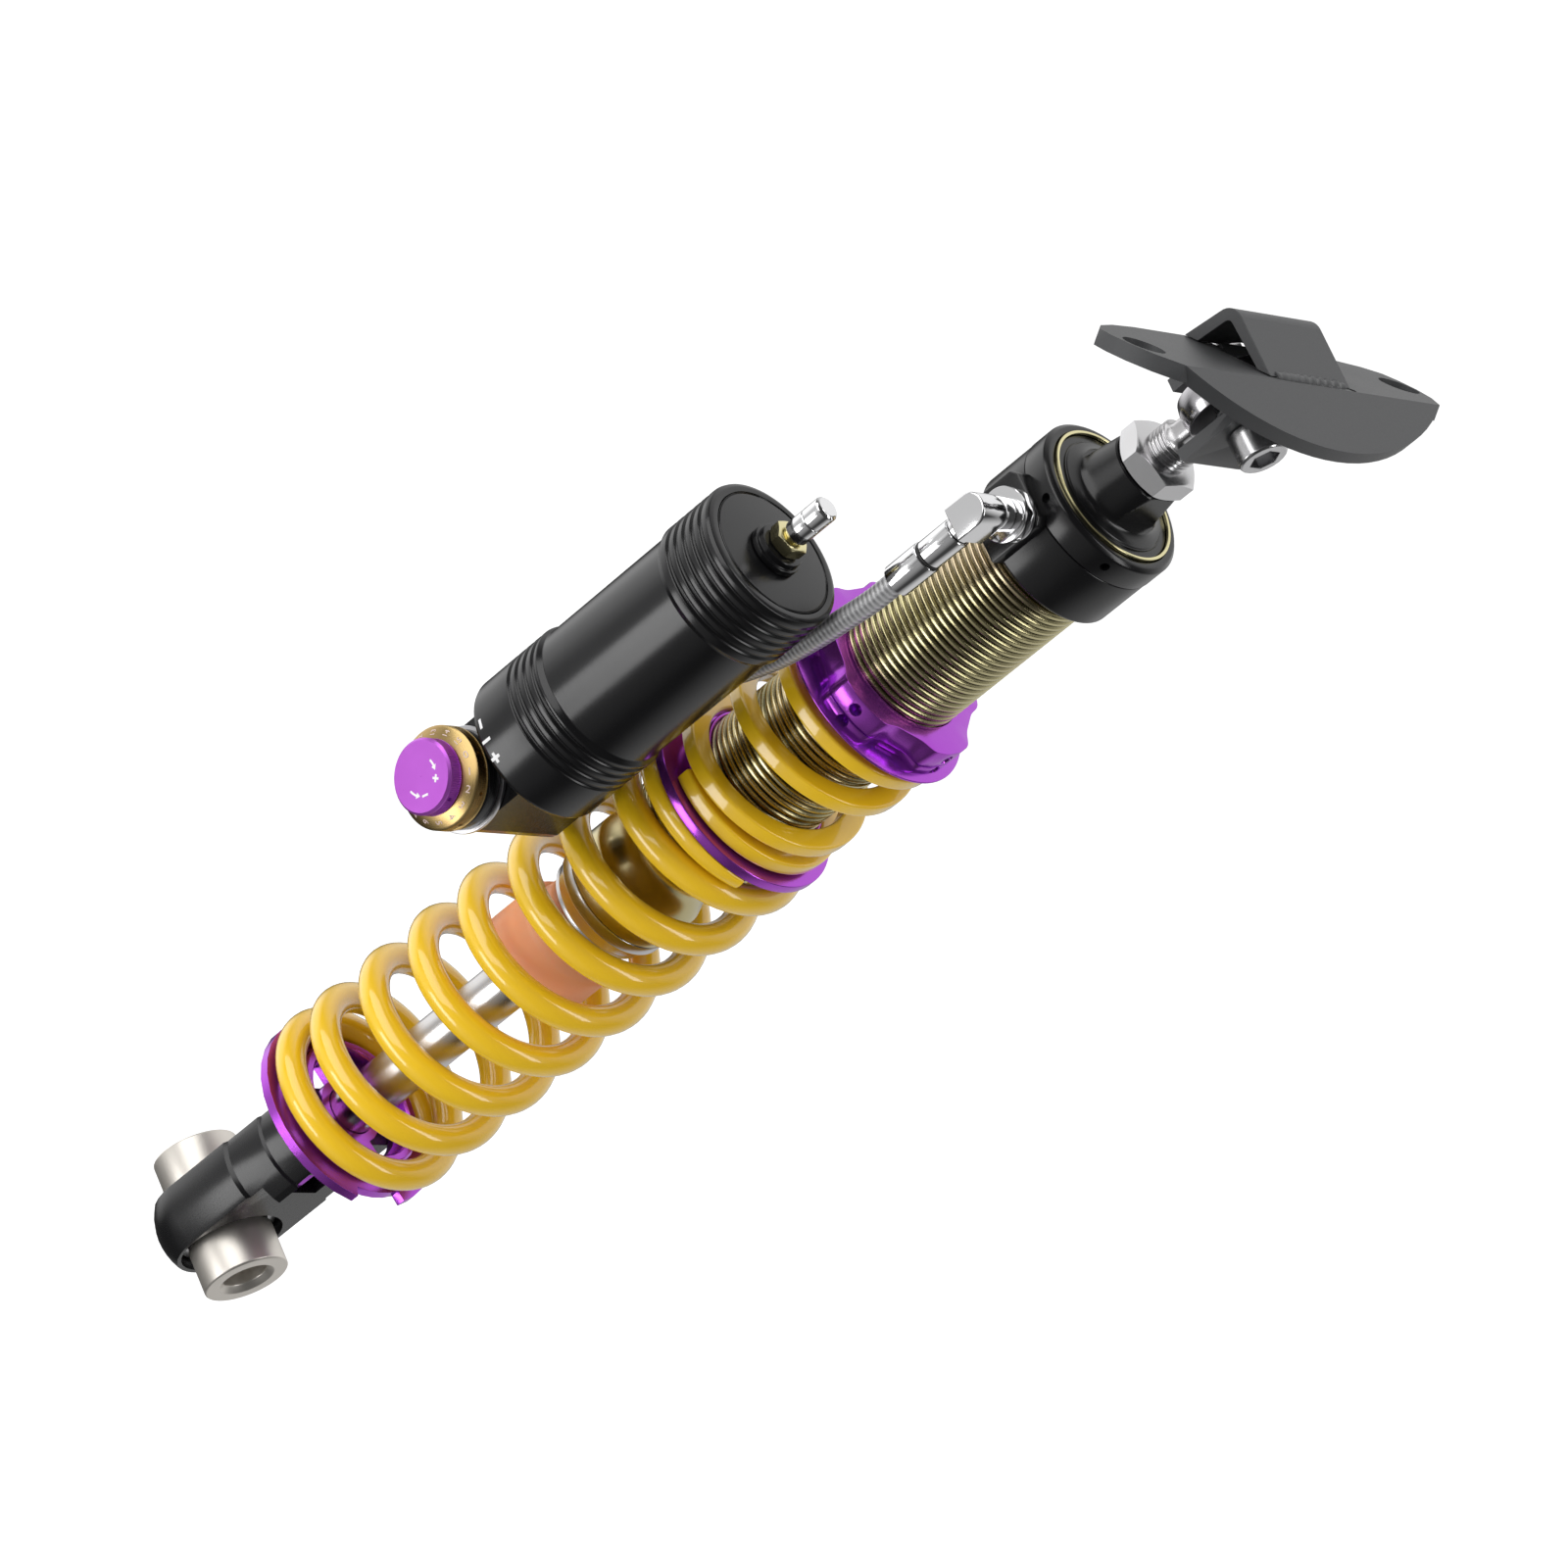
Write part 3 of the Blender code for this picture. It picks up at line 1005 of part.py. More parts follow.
def lower_eye():
    """Forged eye: barrel with a rounded end and milled flats, a collar, a rod bore, a wheel slot."""
    top = PERCH_FOOT_Z - FIT
    collar_low = EYE_Z + COLLAR_LOW
    collar_high = EYE_Z + COLLAR_HIGH
    profile = [
        (0, top), (NECK_BAND_RADIUS, top), (NECK_BAND_RADIUS, collar_high),
        (COLLAR_RADIUS, collar_high - 1.0 * MM), (COLLAR_RADIUS, collar_low),
        (EYE_BARREL_RADIUS, collar_low - 1.5 * MM),
    ]
    for step in range(EYE_FOOT_STEPS):
        angle = pi / 2 * step / EYE_FOOT_STEPS
        profile.append((EYE_BARREL_RADIUS * cos(angle), EYE_Z - EYE_FOOT_REACH * sin(angle)))
    profile.append((0, EYE_Z - EYE_FOOT_REACH))
    eye = add("lower_eye", turned(profile, FINE_STEPS), BLACK)

    half = EYE_THICKNESS / 2
    shoulder = EYE_Z + FLAT_SHOULDER
    for side, name in ((-1, "front"), (1, "rear")):
        near, far = sorted((side * half, side * HUGE))
        flat = block((-HUGE, near, EYE_Z - HUGE), (HUGE, far, shoulder))
        x_near, x_far = sorted((side * FLAT_SHOULDER_X, -side * HUGE))
        pocket = block((x_near, near, shoulder - HUGE / 8), (x_far, far, top + HUGE / 8))
        cut(eye, add("eye_flat_" + name, flat, None), add("eye_pocket_" + name, pocket, None))

    bearing = rod_shape(RACE_RADIUS + FIT, -HUGE, HUGE, FINE_STEPS)
    cut(eye, add("bearing_bore", bearing, None, Matrix.Translation((0, 0, EYE_Z)) @ TOWARDS_FRONT))
    cut(eye, add("rod_socket", rod_shape(ROD_RADIUS + FIT, ROD_FOOT_Z - FIT, HUGE, ROUND_STEPS), None))
    slot_half = WHEEL_HEIGHT / 2 + FIT
    middle = EYE_Z + WHEEL_ABOVE_EYE
    width = WHEEL_RADIUS + 2 * FIT
    slot = block((-width, -HUGE, middle - slot_half), (width, HUGE, middle + slot_half))
    spindle = rod_shape(WHEEL_SPINDLE_RADIUS + FIT, middle, ROD_FOOT_Z, SMALL_STEPS)
    cut(eye, add("wheel_slot", slot, None), add("spindle_bore", spindle, None))


def rebound_wheel():
    """Toothed hand wheel under the rod."""
    middle = EYE_Z + WHEEL_ABOVE_EYE
    half = WHEEL_HEIGHT / 2
    outline = []
    for k in range(WHEEL_TEETH):
        angle = 2 * pi * k / WHEEL_TEETH
        quarter = pi / (2 * WHEEL_TEETH)
        for offset, radius in ((-quarter, WHEEL_RADIUS), (quarter, WHEEL_RADIUS - 0.8 * MM)):
            outline.append((radius * cos(angle + offset), radius * sin(angle + offset)))
    wheel = add("rebound_wheel", prism(outline, -half, half), PURPLE,
                Matrix.Translation((0, 0, middle)), (0, 0, middle))
    spindle = rod_shape(WHEEL_SPINDLE_RADIUS, middle, ROD_FOOT_Z - FIT, SMALL_STEPS)
    fuse(wheel, add("wheel_spindle", spindle, None))


def eye_bearing():
    """Race and ball in the lower eye, and the two bushes clamped against the ball."""
    centre = (0.0, 0.0, EYE_Z)
    place = Matrix.Translation(centre) @ TOWARDS_FRONT
    ring = socket_ring(RACE_RADIUS, RACE_WIDTH / 2, LOWER_BALL_RADIUS + FIT)
    add("eye_race", ring, STEEL, place, centre)
    ball_joint("lower_ball", LOWER_BALL_RADIUS, LOWER_BALL_WIDTH, EYE_BOLT_RADIUS, centre, CHROME)
    near = LOWER_BALL_WIDTH / 2 + FIT
    for side, name in ((1, "front"), (-1, "rear")):
        profile = [
            (EYE_BOLT_RADIUS, side * near), (BUSH_RADIUS, side * near),
            (BUSH_RADIUS, side * (BUSH_REACH - 0.6 * MM)), (BUSH_RADIUS - 0.6 * MM, side * BUSH_REACH),
            (EYE_BOLT_RADIUS + BUSH_CHAMFER, side * BUSH_REACH),
            (EYE_BOLT_RADIUS, side * (BUSH_REACH - BUSH_CHAMFER)),
        ]
        add("bush_" + name, turned(profile, FINE_STEPS), NICKEL, place, centre)


def reservoir():
    """Reservoir body with a slimmer waist, its cap and the floating piston inside."""
    axis = Matrix.Translation((RESERVOIR_X, RESERVOIR_Y, 0))
    top, foot = RESERVOIR_TOP_Z, RESERVOIR_FOOT_Z
    outer, waist, edge = RESERVOIR_RADIUS, RESERVOIR_WAIST_RADIUS, RESERVOIR_ROUND
    floor = foot + RESERVOIR_FLOOR
    waist_top = top - TOP_BAND
    waist_foot = foot + LOW_BAND
    step = outer - waist
    profile = [
        (RESERVOIR_BORE, top), (outer - edge, top), (outer - edge * 0.3, top - edge * 0.3), (outer, top - edge),
        (outer, waist_top), (waist, waist_top - step), (waist, waist_foot + step), (outer, waist_foot),
        (outer, foot + edge), (outer - edge * 0.3, foot + edge * 0.3), (outer - edge, foot), (0, foot),
        (0, floor), (RESERVOIR_BORE, floor),
    ]
    add("reservoir_body", turned_open(profile, FINE_STEPS), BLACK, axis)

    cap = RESERVOIR_BORE - FIT
    cap_foot = top - RESERVOIR_CAP_THICKNESS
    add("reservoir_cap", rod_shape(cap, cap_foot, top, FINE_STEPS), BLACK, axis)
    floater_foot = floor + FLOATER_ABOVE_FLOOR
    floater_top = floater_foot + FLOATER_HEIGHT
    profile = [
        (0, floater_top - FLOATER_DISH), (cap - FLOATER_DISH, floater_top - FLOATER_DISH),
        (cap - FLOATER_DISH, floater_top),
        (cap, floater_top), (cap, floater_foot), (0, floater_foot),
    ]
    add("floating_piston", turned(profile, ROUND_STEPS), STEEL, axis, (RESERVOIR_X, RESERVOIR_Y, floater_foot))


def turned_open(profile, segments):
    """Outline spun about Z where the axis is touched inside the outline, at floor and foot."""
    start = next(k for k, (radius, _) in enumerate(profile) if radius == 0)
    return turned(profile[start + 1:] + profile[:start + 1], segments)


def gas_valve():
    """Boss, hexagon, stem and screw cap of the gas valve on the reservoir's cap."""
    axis = Matrix.Translation((RESERVOIR_X, RESERVOIR_Y, 0))
    boss_foot = RESERVOIR_TOP_Z + FIT
    boss_top = boss_foot + VALVE_BOSS_HEIGHT
    step = boss_foot + VALVE_BOSS_HEIGHT / 2
    profile = [
        (0, boss_top), (VALVE_BOSS_NECK_RADIUS - 0.5 * MM, boss_top),
        (VALVE_BOSS_NECK_RADIUS, boss_top - 0.5 * MM), (VALVE_BOSS_NECK_RADIUS, step),
        (VALVE_BOSS_RADIUS, step), (VALVE_BOSS_RADIUS, boss_foot), (0, boss_foot),
    ]
    add("valve_boss", turned(profile, ROUND_STEPS), BLACK, axis)
    hex_foot = boss_top + FIT
    hex_top = hex_foot + VALVE_HEX_HEIGHT
    cap_foot = hex_top + VALVE_CAP_GAP
    cap_top = cap_foot + VALVE_CAP_LENGTH
    stem_top = cap_top - VALVE_CAP_ROOF - FIT
    inner, outer = 0.49 * VALVE_HEX_FLATS, 1.02 * VALVE_HEX_FLATS / sqrt(3.0)
    rise = (outer - inner) * 0.5
    profile = [
        (0, stem_top), (VALVE_STEM_RADIUS, stem_top), (VALVE_STEM_RADIUS, hex_top), (inner, hex_top),
        (outer, hex_top - rise), (outer, hex_foot + rise), (inner, hex_foot), (0, hex_foot),
    ]
    sides = prism(hexagon(VALVE_HEX_FLATS), hex_foot - 1.0 * MM, stem_top + 1.0 * MM)
    valve = add("gas_valve", sides, BRONZE, axis)
    keep_inside(valve, add("valve_corners", turned(profile, SMALL_STEPS), None, axis))
    bore = VALVE_STEM_RADIUS + FIT
    chamfer = 1.0 * MM
    profile = [
        (0, cap_top), (VALVE_CAP_RADIUS - chamfer, cap_top), (VALVE_CAP_RADIUS, cap_top - chamfer),
        (VALVE_CAP_RADIUS, cap_foot), (bore, cap_foot), (bore, cap_top - VALVE_CAP_ROOF),
        (0, cap_top - VALVE_CAP_ROOF),
    ]
    add("valve_cap", turned(profile, SMALL_STEPS), CHROME, axis, (RESERVOIR_X, RESERVOIR_Y, cap_foot))


def adjuster_place():
    """Placement whose Z runs out along the adjusters' axis from the plane X = 0."""
    return Matrix.Translation((0, RESERVOIR_Y, ADJUSTER_Z)) @ TOWARDS_LEFT


def valve_block():
    """Block under the reservoir: flat sides, a round belly and a chamfer beside the spring."""
    round_radius = hypot(BLOCK_HALF_WIDTH, BLOCK_SIDE_DROP)
    dip = atan2(BLOCK_SIDE_DROP, BLOCK_HALF_WIDTH)
    top = BLOCK_TOP_Z - ADJUSTER_Z
    outline = [(BLOCK_HALF_WIDTH, top), (-BLOCK_HALF_WIDTH, top)]
    outline += arc((0, 0), round_radius, pi + dip, 2 * pi - dip, 12)
    body = add("valve_block", prism(outline, BLOCK_NEAR_X, BLOCK_FAR_X), BLACK, adjuster_place())
    near_y = RESERVOIR_Y - BLOCK_HALF_WIDTH
    corner = [
        (-BLOCK_NEAR_X + HUGE / 8, near_y - HUGE / 8), (-BLOCK_NEAR_X + HUGE / 8, near_y + BLOCK_CHAMFER),
        (-BLOCK_NEAR_X, near_y + BLOCK_CHAMFER), (-BLOCK_NEAR_X - BLOCK_CHAMFER, near_y),
        (-BLOCK_NEAR_X - BLOCK_CHAMFER, near_y - HUGE / 8),
    ]
    cut(body, add("block_corner", prism(corner, -2 * HUGE, 0.0), None))


def adjusters():
    """Seat ring, neck with its spindle, high-speed dial and low-speed knob."""
    place = adjuster_place()
    ring_near = BLOCK_FAR_X + FIT
    ring_far = ring_near + ADJUSTER_RING_THICKNESS
    spindle = ADJUSTER_SPINDLE_RADIUS
    ring = tube_shape(ADJUSTER_RING_RADIUS, spindle + FIT, ring_near, ring_far, FINE_STEPS)
    add("adjuster_ring", ring, STEEL, place)
    neck_near = ring_far + FIT
    neck_far = neck_near + ADJUSTER_NECK_LENGTH
    dial_near = neck_far + FIT
    dial_far = dial_near + DIAL_THICKNESS
    knob_near = dial_far + FIT
    knob_far = knob_near + KNOB_THICKNESS
    spindle_end = knob_far - KNOB_FACE - KNOB_CONE
    slope = 2.0 * MM
    profile = [
        (0, spindle_end), (spindle, spindle_end), (spindle, neck_far), (ADJUSTER_NECK_RADIUS - slope, neck_far),
        (ADJUSTER_NECK_RADIUS, neck_far - slope), (ADJUSTER_NECK_RADIUS, neck_near), (0, neck_near),
    ]
    add("adjuster_neck", turned(profile, FINE_STEPS), BLACK, place)

    bore = spindle + FIT
    rim = 1.2 * MM
    profile = [
        (bore, dial_far), (DIAL_FACE_RADIUS, dial_far), (DIAL_RADIUS, dial_far - rim),
        (DIAL_RADIUS, dial_near + rim / 2), (DIAL_RADIUS - rim / 2, dial_near), (bore, dial_near),
    ]
    dial_origin = place @ Vector((0, 0, dial_near))
    add("high_speed_dial", turned(profile, FINE_STEPS), GOLD, place, dial_origin)
    profile = [
        (0, knob_far - KNOB_CONE), (KNOB_FACE_RADIUS - rim / 2, knob_far), (KNOB_FACE_RADIUS, knob_far),
        (KNOB_RADIUS, knob_far - rim), (KNOB_RADIUS, knob_near), (bore, knob_near),
        (bore, spindle_end + FIT), (0, spindle_end + FIT),
    ]
    knob_origin = place @ Vector((0, 0, knob_near))
    add("low_speed_knob", turned(profile, FINE_STEPS), PURPLE, place, knob_origin)


def sleeve_profile(top, foot, step):
    """Crimped sleeve as (radius, height) points, wider between its step and the far end."""
    small, wide = SLEEVE_SMALL_RADIUS, SLEEVE_RADIUS
    return [(0, top), (small, top), (small, step + 0.5 * MM), (wide, step), (wide, foot), (0, foot)]


def hose_fittings():
    """Hexagon seat and elbow on the head, and the crimped sleeves at both ends of the hose."""
    boss_face = BOSS_REACH + FIT
    seat_far = boss_face + SEAT_LENGTH
    place = Matrix.Translation((0, 0, -HOSE_SEAT_Z)) @ TOWARDS_LEFT
    hex_nut("hose_seat", SEAT_FLATS, boss_face, seat_far, 0.0, CHROME, place)
    arm = rod_shape(ELBOW_ARM_RADIUS, seat_far + FIT, ELBOW_X, SMALL_STEPS)
    elbow_top = -HOSE_SEAT_Z + ELBOW_ABOVE
    elbow_foot = -HOSE_SEAT_Z - ELBOW_BELOW
    dome = 2.0 * MM
    profile = [
        (0, elbow_top), (ELBOW_RADIUS - dome, elbow_top), (ELBOW_RADIUS, elbow_top - dome),
        (ELBOW_RADIUS, elbow_foot + dome), (ELBOW_RADIUS - dome / 2, elbow_foot), (0, elbow_foot),
    ]
    upright = Matrix.Translation((-ELBOW_X, 0, 0))
    elbow = add("hose_elbow", turned(profile, SMALL_STEPS), CHROME, upright)
    fuse(elbow, add("elbow_arm", arm, None, place))

    sleeve_top = elbow_foot - FIT
    sleeve_foot = sleeve_top - SLEEVE_LENGTH
    shape = turned(sleeve_profile(sleeve_top, sleeve_foot, sleeve_top - SLEEVE_STEP), SMALL_STEPS)
    add("hose_sleeve_top", shape, CHROME, upright)
    low_foot = BLOCK_TOP_Z + FIT
    low_top = low_foot + SLEEVE_LENGTH - SLEEVE_STEP / 3
    low_place = Matrix.Translation((-LOW_SLEEVE_X, LOW_SLEEVE_Y, 0))
    shape = turned(sleeve_profile(low_top, low_foot, low_foot + SLEEVE_STEP), SMALL_STEPS)
    add("hose_sleeve_low", shape, CHROME, low_place)
    hose((-ELBOW_X, 0.0, sleeve_foot - FIT), (-LOW_SLEEVE_X, LOW_SLEEVE_Y, low_top + FIT))


def smooth_route(points, step):
    """Points read at about one step apart from a smooth curve through the points given."""
    knots = [Vector(point) for point in points]
    knots = [2 * knots[0] - knots[1]] + knots + [2 * knots[-1] - knots[-2]]
    route = []
    for before, start, end, after in zip(knots, knots[1:], knots[2:], knots[3:]):
        parts = max(1, round((end - start).length / step))
        for k in range(parts):
            t = k / parts
            bend = (2 * before - 5 * start + 4 * end - after) * t ** 2
            twist = (3 * start - 3 * end + after - before) * t ** 3
            route.append((2 * start + (end - before) * t + bend + twist) / 2)
    return route + [knots[-2]]


def hose(start, end):
    """Braided hose from the upper sleeve, between the springs and the reservoir, to the block."""
    lead = Vector((0, 0, HOSE_LEAD))
    stops = [start, Vector(start) - lead, *HOSE_BULGE, Vector(end) + lead, end]
    route = smooth_route(stops, HOSE_STEP)
    curve = bpy.data.curves.new("hose", "CURVE")
    curve.dimensions = "3D"
    curve.bevel_depth = HOSE_RADIUS
    curve.bevel_resolution = 3
    curve.use_fill_caps = True
    spline = curve.splines.new("POLY")
    spline.points.add(len(route) - 1)
    for point, place in zip(spline.points, route):
        point.co = (*place, 1.0)
    piece = bpy.data.objects.new("hose", curve)
    curve.materials.append(finish_of("hose", BRAID))
    bpy.context.scene.collection.objects.link(piece)
    length = sum((b - a).length for a, b in zip(route, route[1:]))
    print(f"hose: {length / MM:.0f} mm between its sleeves")


def build():
    """Model every piece."""
    clear_scene()
    top_bracket()
    bracket_channel()
    clevis_ears()
    pivot_bolt()
    upper_ball()
    rod_end()
    head()
    body_tube()
    gland()
    bump_stop()
    piston_rod()
    main_spring()
    tender_spring()
    spring_divider()
    top_perch()
    lock_ring()
    lower_perch()
    lower_eye()
    rebound_wheel()
    eye_bearing()
    reservoir()
    gas_valve()
    valve_block()
    adjusters()
    hose_fittings()


build()
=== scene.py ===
"""Looks of an adjustable coilover with a remote reservoir.

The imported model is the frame. Lengths are in millimetres where a name ends in _MM or a class or
function says so, and in metres everywhere else. +Z runs up the damper, Y along the bolts.
"""

import json
import logging
import math
from dataclasses import dataclass
from enum import Enum
from typing import Any, Dict, List, Optional, Sequence, Tuple, Union

import bmesh
import bpy
import numpy as np
from mathutils import Matrix, Vector

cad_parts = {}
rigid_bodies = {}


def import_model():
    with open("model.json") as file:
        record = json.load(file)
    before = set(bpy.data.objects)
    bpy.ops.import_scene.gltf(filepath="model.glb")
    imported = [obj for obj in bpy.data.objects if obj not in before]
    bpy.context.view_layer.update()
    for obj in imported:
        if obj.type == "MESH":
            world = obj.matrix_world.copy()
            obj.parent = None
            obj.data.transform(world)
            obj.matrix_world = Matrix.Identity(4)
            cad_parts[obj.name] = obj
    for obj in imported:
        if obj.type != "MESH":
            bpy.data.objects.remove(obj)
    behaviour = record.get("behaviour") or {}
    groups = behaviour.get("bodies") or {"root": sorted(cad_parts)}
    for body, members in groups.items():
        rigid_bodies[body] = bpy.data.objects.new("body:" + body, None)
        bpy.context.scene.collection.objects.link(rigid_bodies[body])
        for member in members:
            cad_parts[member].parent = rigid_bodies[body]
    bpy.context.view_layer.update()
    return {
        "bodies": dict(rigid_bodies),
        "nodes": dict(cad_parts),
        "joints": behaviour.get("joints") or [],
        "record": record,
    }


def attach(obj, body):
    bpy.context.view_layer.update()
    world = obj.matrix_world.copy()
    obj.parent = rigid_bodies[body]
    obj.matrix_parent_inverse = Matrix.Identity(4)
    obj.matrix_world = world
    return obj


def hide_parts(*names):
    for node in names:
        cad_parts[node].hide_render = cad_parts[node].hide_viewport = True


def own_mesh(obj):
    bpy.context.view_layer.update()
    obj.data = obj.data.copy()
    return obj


LOG = logging.getLogger("coilover")

Array = np.ndarray
Colour = Tuple[float, float, float]
Number = Union[float, "Value"]

MM = 0.001
TURN = 2.0 * math.pi
PLAY = 0.3  # millimetres between pieces that touch

# Heights along the damper in millimetres, and places of the two side axes
JAM_NUT_MM = (-44.0, -34.5)
NECK_TOP_MM = -44.3
HEAD_FACE_MM = -61.5
HEAD_SPLIT_MM = -73.5
HEAD_FOOT_MM = -97.6
THREAD_TOP_MM = -101.0
THREAD_FOOT_MM = -289.5
BELL_TOP_MM = -312.0
BELL_FOOT_MM = -328.0
GLAND_FOOT_MM = -341.0
BUMP_TOP_MM = -345.0
SPRING_SEAT_MM = -488.4
DIVIDER_FOOT_MM = -262.5
DIVIDER_TOP_MM = -258.3
SEAT_RING_MM = -187.5
LOCK_RING_MM = -180.0
EYE_MM = -568.0
RESERVOIR_AXIS_MM = (-82.0, 26.0)
RESERVOIR_TOP_MM = -149.0
RESERVOIR_FOOT_MM = -279.0
ADJUSTER_MM = -301.0
HOSE_SEAT_MM = -80.0

# Camera, in the damper's frame
CAMERA_PLACE = (-2.0993, -1.0437, 1.1932)
CAMERA_RIGHT = (0.64254, -0.38133, 0.66463)
CAMERA_UP = (-0.05160, 0.84387, 0.53405)
CAMERA_BACK = (-0.76452, -0.37744, 0.52254)
CAMERA_LENS = 171.86
CAMERA_SENSOR = 36.0


class Body(Enum):
    """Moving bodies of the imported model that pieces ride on."""

    BRACKET = "bracket"
    UPPER_BALL = "upper_ball"
    DAMPER = "damper"
    TOP_PERCH = "top_perch"
    LOCK_RING = "lock_ring"
    DIVIDER = "divider"
    ROD = "rod"
    WHEEL = "rebound_wheel"
    LOWER_BALL = "lower_ball"
    BUSHES = "bushes"
    DIAL = "dial"
    KNOB = "knob"
    VALVE_CAP = "valve_cap"


class Lathe(Enum):
    """Axis that a turned piece's tool marks run round, as a point and the index of its direction."""

    DAMPER = ((0.0, 0.0, 0.0), 2)
    RESERVOIR = ((RESERVOIR_AXIS_MM[0] * MM, RESERVOIR_AXIS_MM[1] * MM, 0.0), 2)
    ADJUSTER = ((0.0, RESERVOIR_AXIS_MM[1] * MM, ADJUSTER_MM * MM), 0)
    LOWER_EYE = ((0.0, 0.0, EYE_MM * MM), 1)
    UPPER_EYE = ((0.0, 0.0, 0.0), 1)


# ------------------------------------------------------------------ shader maths


@dataclass(frozen=True)
class Value:
    """A number that varies over a surface: a socket with the usual operators."""

    shade: "Shade"
    socket: bpy.types.NodeSocket

    def __add__(self, other: Number) -> "Value":
        """Sum."""
        return self.shade.maths("ADD", self, other)

    def __sub__(self, other: Number) -> "Value":
        """Difference."""
        return self.shade.maths("SUBTRACT", self, other)

    def __rsub__(self, other: Number) -> "Value":
        """Difference, the other way round."""
        return self.shade.maths("SUBTRACT", other, self)

    def __mul__(self, other: Number) -> "Value":
        """Product."""
        return self.shade.maths("MULTIPLY", self, other)

    def __truediv__(self, other: Number) -> "Value":
        """Quotient."""
        return self.shade.maths("DIVIDE", self, other)

    def __pow__(self, other: Number) -> "Value":
        """Power."""
        return self.shade.maths("POWER", self, other)

    __radd__ = __add__
    __rmul__ = __mul__

    def sine(self) -> "Value":
        """Sine, in radians."""
        return self.shade.maths("SINE", self)

    def clipped(self) -> "Value":
        """Held between 0 and 1."""
        return self.shade.maths("MINIMUM", self.shade.maths("MAXIMUM", self, 0.0), 1.0)


class Shade:
    """Nodes of a material, or of the world, in the making."""

    def __init__(self, name: str, for_world: bool = False) -> None:
        """Start a material or a world without nodes.

        Args:
            name: its name.
            for_world: whether it is a world.
        """
        self.owner = (bpy.data.worlds if for_world else bpy.data.materials).new(name)
        self.owner.use_nodes = True
        self.tree = self.owner.node_tree
        self.tree.nodes.clear()
        self.out = self.node("ShaderNodeOutputWorld" if for_world else "ShaderNodeOutputMaterial")

    def node(self, kind: str, settings: Optional[Dict[str, Any]] = None,
             inputs: Optional[Dict[Any, Any]] = None) -> bpy.types.Node:
        """Add a node.

        Args:
            kind: the node's type.
            settings: its properties, which are set first.
            inputs: socket name or index to a value, a Value or a socket.

        Returns:
            The node.
        """
        made = self.tree.nodes.new(kind)
        for key, value in (settings or {}).items():
            setattr(made, key, value)
        for key, value in (inputs or {}).items():
            self.feed(made.inputs[key], value)
        return made

    def feed(self, socket: bpy.types.NodeSocket, value: Any) -> None:
        """Link a Value or another socket to a socket, or set a plain value on it.

        Args:
            socket: the socket.
            value: what it gets.
        """
        source = value.socket if isinstance(value, Value) else value
        if isinstance(source, bpy.types.NodeSocket):
            self.tree.links.new(source, socket)
        else:
            socket.default_value = source

    def close(self, shader: bpy.types.Node) -> Union[bpy.types.Material, bpy.types.World]:
        """Link the last shader to the output.

        Args:
            shader: the shader's node.

        Returns:
            The finished material or world.
        """
        self.tree.links.new(shader.outputs[0], self.out.inputs[0])
        return self.owner

    def maths(self, operation: str, *operands: Number) -> Value:
        """Add one Math node.

        Args:
            operation: the node's operation.
            operands: one or two numbers or Values.

        Returns:
            Its result.
        """
        made = self.node("ShaderNodeMath", {"operation": operation}, dict(enumerate(operands)))
        return Value(self, made.outputs[0])

    def place(self) -> bpy.types.NodeSocket:
        """The point on the piece, in the frame's metres."""
        return self.node("ShaderNodeTexCoord").outputs["Object"]

    def noise(self, scale: float, detail: float = 2.0,
              at: Optional[bpy.types.NodeSocket] = None) -> Value:
        """Smooth noise of mean 0.5.

        Args:
            scale: features per metre.
            detail: octaves.
            at: where it is read, the point on the piece if left out.

        Returns:
            The noise.
        """
        made = self.node("ShaderNodeTexNoise", {},
                         {"Vector": at or self.place(), "Scale": scale, "Detail": detail})
        return Value(self, made.outputs[0])

    def split(self, vector: bpy.types.NodeSocket) -> Tuple[Value, Value, Value]:
        """X, Y and Z of a vector."""
        x, y, z = self.node("ShaderNodeSeparateXYZ", {}, {0: vector}).outputs
        return Value(self, x), Value(self, y), Value(self, z)

    def lathe(self, axis: Lathe) -> Tuple[Value, Value]:
        """Where the point on the piece lies about a lathe axis.

        Args:
            axis: the lathe axis.

        Returns:
            Distance from the axis and distance along it, in metres.
        """
        centre, direction = axis.value
        parts = self.split(self.place())
        across = [part - centre[k] for k, part in enumerate(parts) if k != direction]
        radius = (across[0] * across[0] + across[1] * across[1]) ** 0.5
        return radius, parts[direction]

    def seen(self) -> Value:
        """Tell what is seen from what lights.

        Returns:
            1 for the camera, a reflection or a view through glass, otherwise 0.
        """
        rays = self.node("ShaderNodeLightPath").outputs
        either = self.maths("MAXIMUM", Value(self, rays["Is Camera Ray"]), Value(self, rays["Is Glossy Ray"]))
        return self.maths("MAXIMUM", either, Value(self, rays["Is Transmission Ray"]))

    def rings(self, axis: Lathe, scale: float) -> Value:
        """Noise that runs in rings round a lathe axis, as a cutting tool leaves.

        Args:
            axis: the lathe axis.
            scale: rings per metre.

        Returns:
            The noise.
        """
        radius, along = self.lathe(axis)
        vector = self.node("ShaderNodeCombineXYZ", {}, {0: radius * scale, 1: along * scale, 2: 0.0})
        return self.noise(1.0, 2.0, vector.outputs[0])

